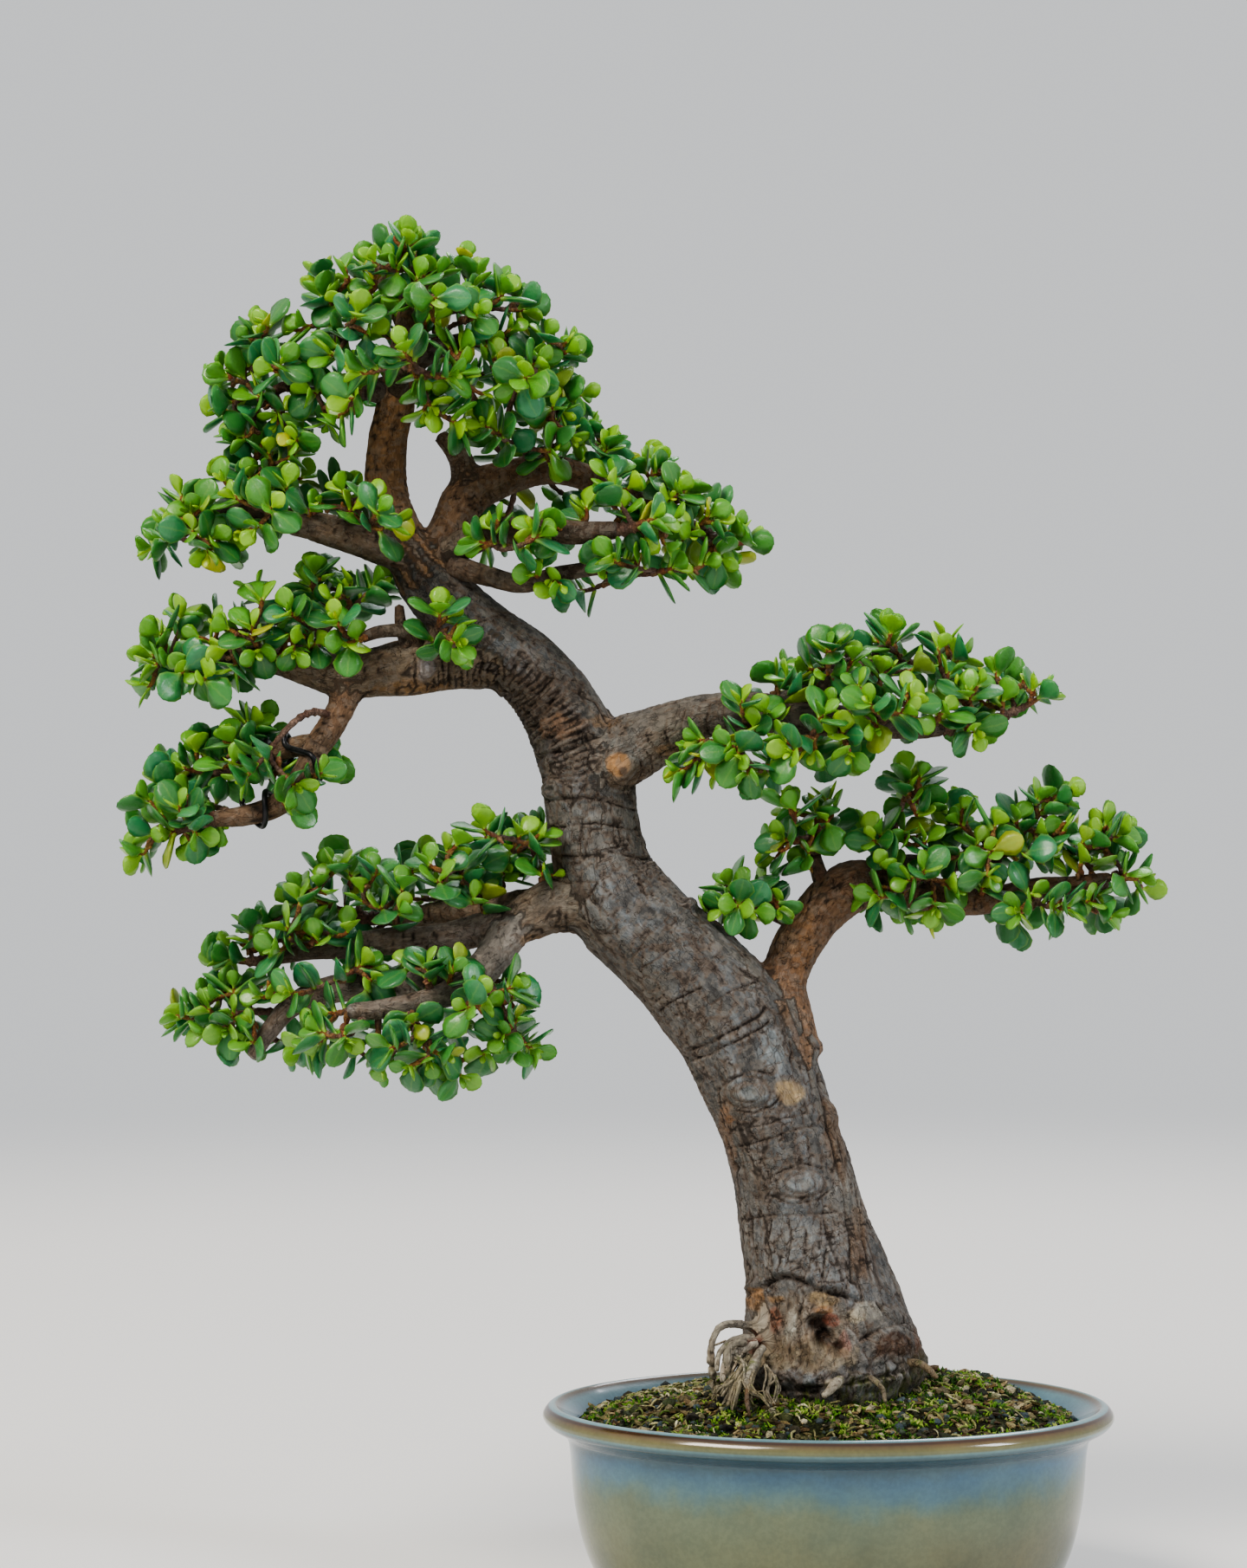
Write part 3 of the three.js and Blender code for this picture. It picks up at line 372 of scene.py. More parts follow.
def cracks(tree, place, scale, width, waver):
    inputs = {"Place": place, "Scale": scale, "Width": width, "Waver": waver}
    return addNode(tree, "ShaderNodeGroup", inputs, node_tree=fineCracks).outputs


def newMaterial(name, roughness, specular, constants=None):
    material = bpy.data.materials.new(name)
    material.use_nodes = True
    tree = material.node_tree
    inputs = tree.nodes["Principled BSDF"].inputs
    for key, value in {"Roughness": roughness, "Specular IOR Level": specular, **(constants or {})}.items():
        inputs[key].default_value = value
    return material, tree, inputs


def dress(tree, inputs, colour, height, distance, strength=1.0):
    # the colour and the relief that the shader shows
    tree.links.new(colour, inputs["Base Color"])
    bump = addNode(tree, "ShaderNodeBump", {"Height": height, "Distance": distance, "Strength": strength})
    tree.links.new(bump.outputs["Normal"], inputs["Normal"])


# The tree's limbs: pixel x, pixel y, depth behind the trunk's plane and radius, from root to tip

limbTable = {
    "trunk": [
        [962, 1655, 0, 38], [963, 1600, 0, 37.5], [956, 1545, 0, 34], [945, 1480, 0, 28.5],
        [929, 1420, 0, 25], [916, 1360, -1, 23.5], [898, 1300, -2, 22.5], [876, 1240, -3, 23],
        [845, 1180, -3, 23], [800, 1125, -2, 22], [750, 1078, -1, 21], [710, 1035, 0, 20],
        [692, 990, 2, 18.5], [684, 940, 3, 18], [677, 890, 4, 18], [660, 845, 4, 16.5], [635, 800, 4, 15],
        [600, 765, 2, 14.5], [560, 735, 1, 13.5], [520, 700, 1, 13], [490, 665, 2, 12], [474, 640, 2, 9]],
    "leader": [
        [492, 668, 2, 11], [462, 620, 2, 9.5], [446, 570, 2, 8.5], [448, 510, 1, 7.8], [458, 460, 0, 7.4],
        [468, 400, 0, 6], [470, 355, 0, 3.6]],
    "crownLeft": [[458, 458, 0, 5], [415, 448, -4, 4], [370, 440, -2, 3.4], [335, 445, 0, 2.6]],
    "crownRight": [[464, 432, 0, 5], [500, 405, -6, 4], [545, 392, -4, 3.2], [590, 395, 0, 2.4]],
    "crownFront": [[460, 452, -3, 4.4], [462, 434, -16, 3.4], [468, 425, -28, 2.4]],
    "crownBack": [[466, 420, 2, 4.4], [460, 405, 18, 3.6], [470, 395, 32, 2.4]],
    "rightLeader": [
        [498, 660, 3, 9], [520, 610, 8, 8.5], [540, 572, 12, 9], [590, 550, 16, 7], [640, 542, 20, 6],
        [700, 560, 18, 5], [760, 590, 12, 4], [815, 615, 6, 2.6]],
    "rightLeaderStub": [[538, 565, 12, 6], [531, 527, 10, 5], [508, 503, 7, 3.2]],
    "rightLower": [
        [520, 636, -2, 6], [560, 618, -12, 5.5], [610, 612, -22, 5], [670, 615, -28, 4.5],
        [712, 612, -30, 3.4]],
    "rightThin": [
        [524, 654, -5, 4.5], [560, 664, -14, 4], [604, 674, -20, 3.6], [650, 662, -22, 3.2],
        [700, 655, -20, 2.8], [740, 660, -18, 2.2]],
    "leftUpper": [
        [476, 642, 0, 8.5], [430, 628, -4, 7], [380, 612, -6, 6.3], [330, 600, -5, 5.3],
        [285, 592, -2, 4.4], [245, 600, 0, 3.2], [222, 610, 0, 2.4]],
    "leftMiddle": [
        [575, 758, 1, 12], [520, 762, -2, 12], [470, 770, -6, 11], [430, 776, -8, 9.5], [400, 780, -9, 9],
        [362, 772, -8, 7.5], [330, 765, -6, 6], [290, 758, -4, 4.8], [245, 757, -2, 3.6],
        [215, 762, 0, 2.6]],
    "leftMiddleTwig": [
        [486, 752, -10, 3], [472, 730, -14, 2.8], [440, 729, -16, 2.6], [418, 736, -16, 2.2]],
    "leftMiddleSpur": [[470, 748, -12, 2.6], [463, 722, -12, 2.4], [461, 700, -12, 1.8]],
    "leftDrop": [[405, 782, -9, 7], [395, 815, -12, 5.5], [376, 848, -16, 5.5], [362, 866, -17, 5.2]],
    "leftDropUpper": [[370, 858, -16, 4.4], [340, 862, -12, 4], [305, 874, -7, 3.6], [278, 886, -3, 3]],
    "leftDropLower": [
        [366, 862, -18, 5], [350, 895, -22, 4.6], [322, 928, -26, 4.4], [285, 941, -28, 4],
        [250, 945, -27, 3.2]],
    "rightUpper": [
        [690, 880, 2, 14], [733, 862, -4, 13], [762, 847, -8, 11], [795, 833, -12, 9.6],
        [825, 824, -15, 8.2], [870, 822, -18, 7.8], [930, 828, -20, 6.8], [990, 834, -18, 5.8],
        [1050, 840, -14, 4.8], [1088, 840, -10, 3.6]],
    "rightUpperTop": [[892, 822, -17, 6], [935, 800, -4, 5], [975, 778, 6, 4.4], [1020, 768, 12, 3]],
    "rightLow": [
        [905, 1215, 0, 15], [905, 1165, 0, 11.5], [906, 1130, 2, 9], [920, 1092, 5, 9.5],
        [948, 1052, 8, 10], [983, 1024, 10, 10.5], [1022, 1020, 10, 8], [1070, 1034, 8, 6],
        [1130, 1041, 5, 5.5], [1190, 1027, 1, 4.6], [1240, 1021, -1, 3.6], [1283, 1012, -1, 2.4]],
    "rightLowSpur": [[918, 1064, 4, 3.6], [893, 1054, 4, 3], [880, 1050, 4, 2.4]],
    "rightLowTwig": [[955, 1034, 10, 4.2], [944, 1003, 8, 3], [941, 988, 8, 2.4]],
    "rightLowBack": [[990, 1020, 14, 6], [1030, 1002, 24, 5], [1080, 998, 32, 4], [1125, 995, 36, 2.8]],
    "bottomArm": [[678, 1040, 0, 13], [642, 1044, -2, 11], [612, 1058, -3, 9.5], [590, 1068, -3, 8]],
    "bottomBack": [
        [634, 1046, 2, 7.5], [600, 1046, 8, 6.5], [560, 1054, 18, 6], [520, 1052, 26, 5.2],
        [480, 1058, 30, 4.4], [440, 1060, 30, 3.2]],
    "bottomLeft": [
        [600, 1064, -3, 7.5], [545, 1076, -4, 6.5], [500, 1086, -6, 6], [450, 1086, -6, 5.6],
        [400, 1092, -5, 5], [350, 1098, -2, 4], [310, 1108, 0, 2.8]],
    "bottomFront": [
        [594, 1070, -5, 7.5], [566, 1108, -16, 7], [545, 1132, -24, 6.2], [510, 1150, -32, 5],
        [470, 1160, -38, 4.2], [430, 1166, -42, 3.8], [402, 1167, -43, 3.2]],
    "bottomCut": [
        [548, 1120, -20, 5.5], [490, 1135, -18, 5.6], [440, 1138, -14, 5.8], [380, 1143, -12, 5.6],
        [336, 1162, -13, 4.6], [310, 1192, -15, 3.8], [291, 1220, -16, 3]],
    "prunedKnob": [[700, 888, -6, 7], [716, 886, -15, 6], [719, 886, -18, 4.2]],
    "rootLoopOuter": [
        [880, 1534, -12, 2.6], [838, 1528, -24, 2], [823, 1548, -27, 1.9], [822, 1578, -27, 1.9],
        [830, 1612, -26, 1.9]],
    "rootLoopInner": [
        [884, 1548, -18, 2.6], [845, 1552, -31, 2], [840, 1576, -33, 1.9], [850, 1612, -32, 1.9]],
}

limbs = {name: (fromPhoto(rows), np.array(rows, float)[:, 3]) for name, rows in limbTable.items()}


def placeOn(name, place):
    points, radii = limbs[name]
    i = min(int(place), len(points) - 2)
    share = place - i
    axis = unit(points[i + 1] - points[i])
    return mix(points[i], points[i + 1], share), axis, mix(radii[i], radii[i + 1], share)


# Bark

barkLook = {
    "voxel": 0.0013,  # metres, of the skin drawn over the limbs
    "quickVoxel": 0.002,
    "blend": 9,  # passes that soften the forks
    "foldPitch": 2.6,  # between the folds on the inside of a bend
    "foldDepth": 0.48,
    "ringDepth": 0.3,
    "fissureDepth": 0.3,
    "plateDepth": 0.3,
    "grainDepth": 0.2,
    "creaseWidth": 0.7,
    "creaseDepth": 0.95,
    "splitHeight": 248,  # the trunk's skin is two meshes that meet here
    "wound": (925, 1535, 66, 46),  # pixel place and half sizes
    "footStart": 1400,  # the pixel row below which the foot begins
    "trunkShade": (0.84, 0.9, 1.04),
    "limbShade": (0.95, 0.96, 1.0),
    "roughness": 0.8,
}

# colours of each limb's bark from its root to its tip
limbTint = {
    "trunk": ("827e76", "5a564f"), "leader": ("9c7856", "946c48"), "rightLeader": ("86694f", "765840"),
    "rightLeaderStub": ("6a5846", "5d4c3a"), "leftUpper": ("7d6c5b", "6c5a4a"),
    "leftMiddle": ("807361", "7e6a54"), "leftDrop": ("8c7058", "886a52"),
    "leftDropUpper": ("8a745c", "7c6450"), "leftDropLower": ("8c745e", "7c6450"),
    "rightUpper": ("7a766f", "6a5f54"), "rightUpperTop": ("756858", "665542"),
    "rightLow": ("94745a", "7a5c46"), "bottomArm": ("8b8376", "8b7b6a"), "bottomBack": ("8c7868", "77644f"),
    "bottomLeft": ("8c8074", "7b6c5e"), "bottomFront": ("938c82", "83766a"),
    "bottomCut": ("8b847b", "80736a"), "rootLoopOuter": ("bdb5a4", "b0a996"),
    "rootLoopInner": ("b0a896", "9f9883")}
otherTint = ("5f5145", "534438")

# rings and creases seen from the front: half width and depth in mm, and then the line's points in pixels
creaseTable = [
    (0.9, 0.9, 600, 872, 612, 873, 650, 868, 690, 850),
    (0.8, 0.8, 618, 926, 640, 924, 675, 921, 705, 926, 745, 938),
    (0.8, 0.8, 628, 956, 655, 953, 690, 951, 735, 957), (0.9, 0.9, 630, 986, 665, 989, 705, 983, 752, 992),
    (0.7, 0.5, 636, 1012, 660, 1020, 690, 1018), (0.5, 0.5, 655, 925, 660, 940, 657, 953),
    (0.5, 0.5, 700, 926, 703, 940, 699, 951), (0.5, 0.5, 672, 954, 668, 970, 671, 986),
    (0.5, 0.5, 715, 955, 718, 970, 713, 984), (0.5, 0.4, 650, 872, 655, 888, 650, 905, 655, 922),
    (0.5, 0.5, 676, 860, 682, 885, 676, 915), (0.7, 0.6, 690, 1020, 676, 1042, 682, 1066),
    (0.7, 0.6, 720, 1010, 742, 1022, 752, 1046), (0.8, 0.9, 762, 1169, 785, 1152, 809, 1140),
    (0.6, 0.5, 742, 1118, 770, 1098, 800, 1090), (0.6, 0.4, 770, 1060, 748, 1082, 730, 1108),
    (1.0, 1.2, 796, 1212, 822, 1203, 850, 1188, 885, 1167),
    (0.8, 0.9, 801, 1224, 826, 1214, 856, 1199, 890, 1180), (0.7, 0.6, 820, 1160, 850, 1142, 880, 1130),
    (0.6, 0.5, 845, 1110, 868, 1128, 890, 1136), (0.6, 0.7, 914, 1203, 917, 1214, 915, 1226),
    (0.8, 0.9, 828, 1260, 850, 1243, 872, 1237, 892, 1240),
    (0.7, 0.8, 849, 1283, 870, 1285, 892, 1276, 902, 1262),
    (0.6, 0.5, 818, 1300, 850, 1306, 890, 1297, 935, 1284),
    (0.7, 0.7, 836, 1327, 868, 1320, 900, 1310, 940, 1300), (0.5, 0.4, 842, 1345, 880, 1338, 925, 1330),
    (0.7, 0.8, 885, 1363, 905, 1350, 928, 1344, 950, 1349),
    (0.7, 0.7, 890, 1380, 915, 1391, 945, 1386, 962, 1372),
    (0.7, 0.6, 858, 1408, 890, 1402, 925, 1404, 968, 1399), (0.8, 0.9, 866, 1404, 869, 1440, 864, 1482),
    (0.7, 0.8, 890, 1408, 888, 1436, 893, 1466), (0.6, 0.6, 910, 1404, 914, 1430, 908, 1462),
    (0.5, 0.5, 932, 1410, 928, 1440, 934, 1470), (0.7, 0.9, 951, 1398, 956, 1432, 952, 1474),
    (0.8, 0.9, 976, 1390, 981, 1436, 984, 1482), (0.8, 0.8, 992, 1400, 1002, 1446, 1008, 1486),
    (0.8, 0.8, 945, 1240, 952, 1290, 966, 1340, 978, 1384), (0.7, 0.7, 962, 1262, 972, 1300, 985, 1350),
    (0.6, 0.5, 930, 1216, 938, 1250, 940, 1285), (0.7, 0.6, 826, 1236, 832, 1280, 843, 1330, 852, 1380),
    (1.2, 2.0, 862, 1494, 880, 1485, 904, 1473, 922, 1477, 942, 1488, 974, 1496, 992, 1502),
    (0.6, 0.7, 899, 1503, 893, 1530, 896, 1552, 884, 1574), (0.5, 0.5, 927, 1500, 918, 1528, 921, 1556),
    (1.2, 1.4, 994, 1545, 1018, 1534, 1045, 1526), (0.8, 0.9, 1010, 1500, 1025, 1520, 1060, 1540),
    (1.2, 1.1, 880, 1604, 905, 1606, 940, 1603, 975, 1600, 1005, 1592, 1040, 1584),
    (0.6, 0.7, 722, 858, 738, 872, 742, 890, 734, 908), (0.6, 0.6, 734, 856, 752, 874, 755, 894, 745, 912),
    (0.6, 0.6, 748, 852, 764, 872, 766, 890), (0.6, 0.5, 790, 818, 786, 838, 792, 862),
    (0.5, 0.5, 820, 812, 815, 832, 819, 852), (0.6, 0.5, 770, 826, 768, 846, 776, 868),
    (0.7, 0.8, 660, 795, 688, 812, 702, 836, 704, 850), (0.6, 0.6, 940, 1010, 935, 1040, 916, 1060),
    (0.6, 0.6, 960, 1012, 968, 1036, 952, 1064), (0.5, 0.5, 905, 1080, 922, 1092, 934, 1086),
    (0.5, 0.5, 985, 1008, 990, 1024, 985, 1040), (0.5, 0.5, 900, 1110, 915, 1118, 932, 1112)]

# bumps and pits seen from the front: pixel place, half sizes in pixels, and height in mm, below 0 in a pit
bumps = [
    (798, 1043, 9, 8, 2.2), (941, 1209, 12, 11, 1.8), (960, 1285, 11, 12, 1.5), (638, 912, 13, 12, 1.5),
    (637, 912, 4, 4, -1.2), (637, 871, 8, 8, 1.0), (697, 1067, 13, 9, 0.9), (845, 1198, 32, 6, 0.7),
    (862, 1261, 26, 12, 1.3), (865, 1261, 9, 6, -0.8), (925, 1366, 24, 13, 1.2), (922, 1367, 8, 5, -0.7),
    (808, 1247, 5, 6, -1.4), (849, 1348, 5, 6, -1.4), (494, 770, 12, 17, 1.0), (494, 770, 7, 11, -0.7),
    (870, 1486, 12, 7, 1.4), (905, 1466, 15, 6, 1.5), (930, 1473, 10, 6, 1.3), (960, 1483, 18, 6, 1.5),
    (944, 1527, 15, 11, -5.0), (952, 1545, 11, 13, -7.0), (966, 1557, 10, 8, -4.0), (952, 1518, 19, 6, 1.2),
    (975, 1540, 7, 16, 1.0), (930, 1545, 6, 14, 0.9), (1030, 1550, 26, 18, 2.2), (1000, 1565, 24, 14, 1.8),
    (880, 1575, 14, 16, 1.6), (900, 1590, 22, 10, 1.8), (963, 1598, 12, 6, 1.6), (933, 1604, 16, 5, -3.0),
    (721, 884, 13, 12, 0.8), (715, 905, 12, 8, 1.0)]

# rings round the scars, the swirl and the pruned knob: pixel place, half sizes, pitch and where they start
scarRings = [
    (862, 1261, 36, 25, 0.3, 0.1), (925, 1366, 34, 22, 0.32, 0.1), (638, 912, 16, 16, 0.34, 0.05),
    (720, 890, 34, 29, 0.2, 0.5), (697, 1067, 18, 12, 0.35, 0.1), (494, 770, 16, 21, 0.4, 0.1)]

# places that are smooth apart from their own rings: pixel place, half sizes, what is left of the rest
calmPlaces = [
    (862, 1261, 30, 20, 0.45), (925, 1366, 28, 16, 0.45), (638, 912, 14, 14, 0.4), (713, 883, 17, 15, 0.05),
    (494, 770, 13, 18, 0.4), (914, 1262, 16, 13, 0.4)]

# the middle of the folds seen from the front, in pixels
foldLine = [(500, 778), (548, 782), (596, 800), (634, 826), (650, 852), (658, 872)]


def foldCreases():
    # creases across the bend, each from its inside to its outside
    random = np.random.default_rng(8)
    line = np.array(foldLine, float)
    along, made = wayAlong(line), []
    for place in np.arange(0, along[-1], 10.5):
        middle, ahead = [np.array([np.interp(at, along, line[:, i]) for i in (0, 1)])
                         for at in (place, place + 8)]
        heading = (ahead - middle) / max(1e-6, np.linalg.norm(ahead - middle))
        across = np.array([heading[1], -heading[0]])
        half = np.interp(place, along, [20, 26, 46, 48, 46, 44])
        inner = middle - across * half
        outer = middle + across * half * random.uniform(0.6, 1.0) + heading * random.uniform(-4, 4)
        bow = (inner + outer) / 2 + heading * random.uniform(-3, 3)
        made.append(([inner, bow, outer], random.uniform(1.1, 1.6), random.uniform(0.9, 1.5), 0.32))
    return made


# each crease's line, half width, depth and darkness
creases = [(np.reshape(row[2:], (-1, 2)), *row[:2], 1) for row in creaseTable] + foldCreases()

# tinted places seen from the front: pixel place, half sizes in pixels, colour, strength
patches = [
    (894, 1207, 20, 28, "8f979b", 0.8), (914, 1262, 18, 15, "ab9470", 0.85),
    (921, 1266, 5, 5, "d9c7a2", 0.9), (837, 1281, 7, 6, "9c7454", 0.9), (843, 1292, 5, 5, "9c7454", 0.9),
    (867, 1262, 20, 8, "8e9496", 0.7), (925, 1366, 22, 13, "878d90", 0.7),
    (872, 1502, 12, 12, "a5805c", 0.9), (951, 1500, 26, 8, "a8926f", 0.8),
    (986, 1519, 14, 10, "c2b9a2", 0.8), (948, 1512, 16, 5, "96714f", 0.8),
    # painted shade: the two near-black patches here lie in the pits of the hollow at the foot
    (945, 1529, 13, 9, "2c1c14", 0.9), (952, 1545, 10, 12, "22130e", 0.95),
    (966, 1559, 12, 8, "5a2c22", 0.9), (975, 1400, 24, 44, "95928c", 0.45),
    (690, 965, 42, 46, "8c8b88", 0.5), (895, 1320, 40, 20, "56534f", 0.4),
    (765, 1100, 45, 40, "5e5b56", 0.35), (925, 1075, 20, 48, "97704e", 0.6),
    (965, 1020, 24, 20, "94705a", 0.55), (905, 1562, 26, 18, "8a7a62", 0.55),
    (1002, 1512, 18, 10, "a9a59a", 0.6), (893, 1500, 13, 6, "9a7a55", 0.8),
    (915, 1085, 8, 12, "b59a80", 0.6), (938, 1050, 7, 9, "b0947a", 0.6), (976, 1550, 7, 17, "b58c82", 0.9),
    (892, 1520, 11, 18, "96604a", 0.9), (872, 1552, 10, 16, "8e5844", 0.9),
    (912, 1528, 8, 26, "b0ada2", 0.9), (930, 1552, 10, 16, "8c7a66", 0.7),
    (962, 1524, 10, 8, "8a5444", 0.8), (880, 1522, 6, 18, "c9c3b3", 0.7),
    (1030, 1556, 28, 15, "4c3222", 0.85), (1062, 1545, 10, 20, "74503c", 0.7),
    (930, 1570, 60, 17, "918570", 0.75), (963, 1598, 14, 7, "c4bca6", 0.9),
    (724, 896, 22, 18, "6a5540", 0.5), (712, 882, 13, 12, "b28a62", 1.0), (719, 890, 4, 4, "6a4a30", 0.9),
    (610, 800, 60, 30, "4e4338", 0.6), (648, 838, 26, 14, "8a684c", 0.55),
    (480, 795, 45, 10, "a07a52", 0.7), (620, 1086, 24, 8, "a07c55", 0.6), (494, 770, 12, 17, "9a979b", 0.8),
    (700, 830, 14, 10, "93714c", 0.5), (790, 866, 40, 9, "86684a", 0.7), (640, 985, 10, 30, "8a6a48", 0.4),
    (966, 1300, 16, 60, "7a5e44", 0.55), (838, 1320, 10, 60, "86603f", 0.5),
    (994, 1440, 12, 50, "86684c", 0.5), (930, 1440, 40, 34, "8c9092", 0.55),
    (285, 1224, 8, 8, "9a9693", 0.9), (402, 1168, 8, 8, "a3a09d", 0.9), (1075, 1575, 26, 16, "3f3d1e", 0.8)]


def woodTube(name):
    line, radii = smoothLine(*limbs[name], 2.2)
    sides = 36 if radii[0] > 12 else 20 if radii[0] > 5 else 12
    return tube(line, radii, sides)


def rootParts():
    # the roots in the soil: heading, reach, depth of the end, start radius
    parts = []
    middle = np.array([3.0, 0.0, 66.0])
    for degrees, reach, height, radius in [(12, 72, 34, 10), (62, 55, 30, 9), (118, 58, 28, 10),
                                           (172, 74, 36, 9), (232, 52, 30, 9), (300, 56, 32, 10)]:
        angle = math.radians(degrees)
        end = np.array([reach * math.cos(angle), reach * 170 / 220 * math.sin(angle), height])
        bend = mix(middle, end, 0.6) + up * 9
        line, radii = smoothLine([middle, bend, end], [radius, mix(radius, 2.5, 0.6), 2.5], 6)
        parts.append(tube(line, radii, 10))
    return parts


def skinOver(parts, name, voxel, smoothing):
    points, *faces = joinParts(parts)
    mesh = buildMesh(name, points, faces)
    draft = bpy.data.objects.new(name + "Draft", mesh)
    bpy.context.scene.collection.objects.link(draft)
    skin = draft.modifiers.new("skin", "REMESH")
    skin.mode = "VOXEL"
    skin.voxel_size = voxel
    soften = draft.modifiers.new("soften", "SMOOTH")
    soften.factor = 0.5
    soften.iterations = smoothing
    evaluated = draft.evaluated_get(bpy.context.evaluated_depsgraph_get())
    skinned = bpy.data.meshes.new_from_object(evaluated)
    bpy.data.objects.remove(draft)
    return skinned


def vertexRows(mesh, what="vertices", field="co"):
    rows = np.zeros(len(mesh.vertices) * 3, np.float32)
    source = mesh.vertices if what == "vertices" else mesh.vertex_normals
    source.foreach_get("vector" if what == "normals" else field, rows)
    return rows.reshape(-1, 3).astype(float)


def trianglesOf(mesh):
    mesh.calc_loop_triangles()
    rows = np.zeros(len(mesh.loop_triangles) * 3, np.int32)
    mesh.loop_triangles.foreach_get("vertices", rows)
    return rows.reshape(-1, 3)


def refine(points, tris, wanted):
    # the wanted triangles are cut in four, and their neighbours to match
    edges = np.stack([tris, np.roll(tris, -1, axis=1)], 2).reshape(-1, 2)
    edges.sort(axis=1)
    keys, which = np.unique(edges[:, 0].astype(np.int64) * len(points) + edges[:, 1], return_inverse=True)
    which = which.reshape(-1, 3)
    marked = np.zeros(len(keys), bool)
    marked[which[wanted].ravel()] = True
    number = np.cumsum(marked) - 1 + len(points)
    pairs = np.stack([keys[marked] // len(points), keys[marked] % len(points)], 1)
    points = np.vstack([points, points[pairs].mean(1)])
    cut = marked[which]
    count = cut.sum(1)
    made = [tris[count == 0]]
    for cuts, first in ((1, 0), (1, 1), (1, 2), (2, 0), (2, 1), (2, 2), (3, 0)):
        later = (first + 1) % 3
        chosen = (count == cuts) & cut[:, first] & (cut[:, later] if cuts > 1 else True)
        a, b, c = (tris[chosen, (first + i) % 3] for i in range(3))
        m, n, p = (number[which[chosen, (first + i) % 3]] for i in range(3))
        made += {1: [(a, m, c), (m, b, c)], 2: [(m, b, n), (a, m, n), (a, n, c)],
                 3: [(a, m, p), (m, b, n), (n, c, p), (m, n, p)]}[cuts]
    return points, np.vstack([np.stack(faces, 1) if isinstance(faces, tuple) else faces for faces in made])


def lineDistance(places, line):
    # distance in pixels from each place to a line of pixels
    best = np.full(len(places), 1e9)
    line = np.array(line, float)
    for a, b in zip(line[:-1], line[1:]):
        share = np.clip(((places - a) @ (b - a)) / ((b - a) @ (b - a)), 0, 1)
        best = np.minimum(best, lengths(places - a - share[:, None] * (b - a)))
    return best


def nearLine(places, line, reach):
    line = np.array(line, float)
    return np.flatnonzero(((places > line.min(0) - reach) & (places < line.max(0) + reach)).all(1))


def ovalShare(places, x, y, wide, high):
    # 0 in the middle of an oval of pixels and 1 on its edge
    return np.hypot((places[:, 0] - x) / wide, (places[:, 1] - y) / high)


def limbPlaces(points, names):
    # for each point its limb, the way along it, the turn round it, the limb's radius and the bend there
    rings = []
    for index, name in enumerate(names):
        line, radii = smoothLine(*limbs[name], 1.5)
        tangents, across, aside = framesAlong(line)
        along = wayAlong(line)
        bend = np.gradient(tangents, along, axis=0)
        inner = np.arctan2((bend * aside).sum(1), (bend * across).sum(1))
        rings.append(np.column_stack([line, tangents, across, aside, radii, along, lengths(bend), inner,
                                      np.full(len(line), index), along / along[-1]]))
    rings = np.vstack(rings)
    angles = np.arange(10) * 2 * math.pi / 10
    skin = (rings[:, None, 0:3] + rings[:, None, 12:13] * (
        np.cos(angles)[:, None] * rings[:, None, 6:9] + np.sin(angles)[:, None] * rings[:, None, 9:12]))
    tree = KDTree(len(rings) * 10)
    for i, row in enumerate(skin.reshape(-1, 3).tolist()):
        tree.insert(row, i)
    tree.balance()
    found = np.array([tree.find(row)[1] for row in points.tolist()]) // 10
    row = rings[found]
    offset = points - row[:, 0:3]
    ahead = (offset * row[:, 3:6]).sum(1)
    turn = np.arctan2((offset * row[:, 9:12]).sum(1), (offset * row[:, 6:9]).sum(1))
    return {"limb": row[:, 16].astype(int), "along": row[:, 13] + ahead, "turn": turn, "radius": row[:, 12],
            "bend": row[:, 14], "inner": row[:, 15], "share": row[:, 17]}


def barkPlates(flat, waver, mid):
    # irregular plates, long in the limb's direction: how near a plate's edge is, and each plate's own number
    rows = (flat + np.column_stack([waver, mid, 1.6 * mid]) * 1.1) / np.array([4.6, 4.6, 7.5])
    edge, own = np.zeros(len(rows)), np.zeros(len(rows))
    for i, row in enumerate(rows.tolist()):
        far, centres = noise.voronoi(Vector(row))
        edge[i] = far[1] - far[0]
        own[i] = centres[0][0] * 12.9898 + centres[0][1] * 78.233 + centres[0][2] * 37.719
    return edge, np.abs(np.sin(own) * 43758.5453) % 1


def bendFolds(place):
    towards = np.cos(place["turn"] - place["inner"])
    return np.clip(place["bend"] * place["radius"] * 1.9, 0, 1) * step(-0.25, 0.9, towards) * np.clip(
        place["radius"] / 9, 0, 1)


def foldArea(places, normals):
    # the folds that the photograph shows on the front of the upper bend
    rows = nearLine(places, foldLine, 60)
    area = np.zeros(len(places))
    area[rows] = 1 - step(16, 46, lineDistance(places[rows], foldLine))
    return area * step(-0.1, 0.3, -normals[:, 1])


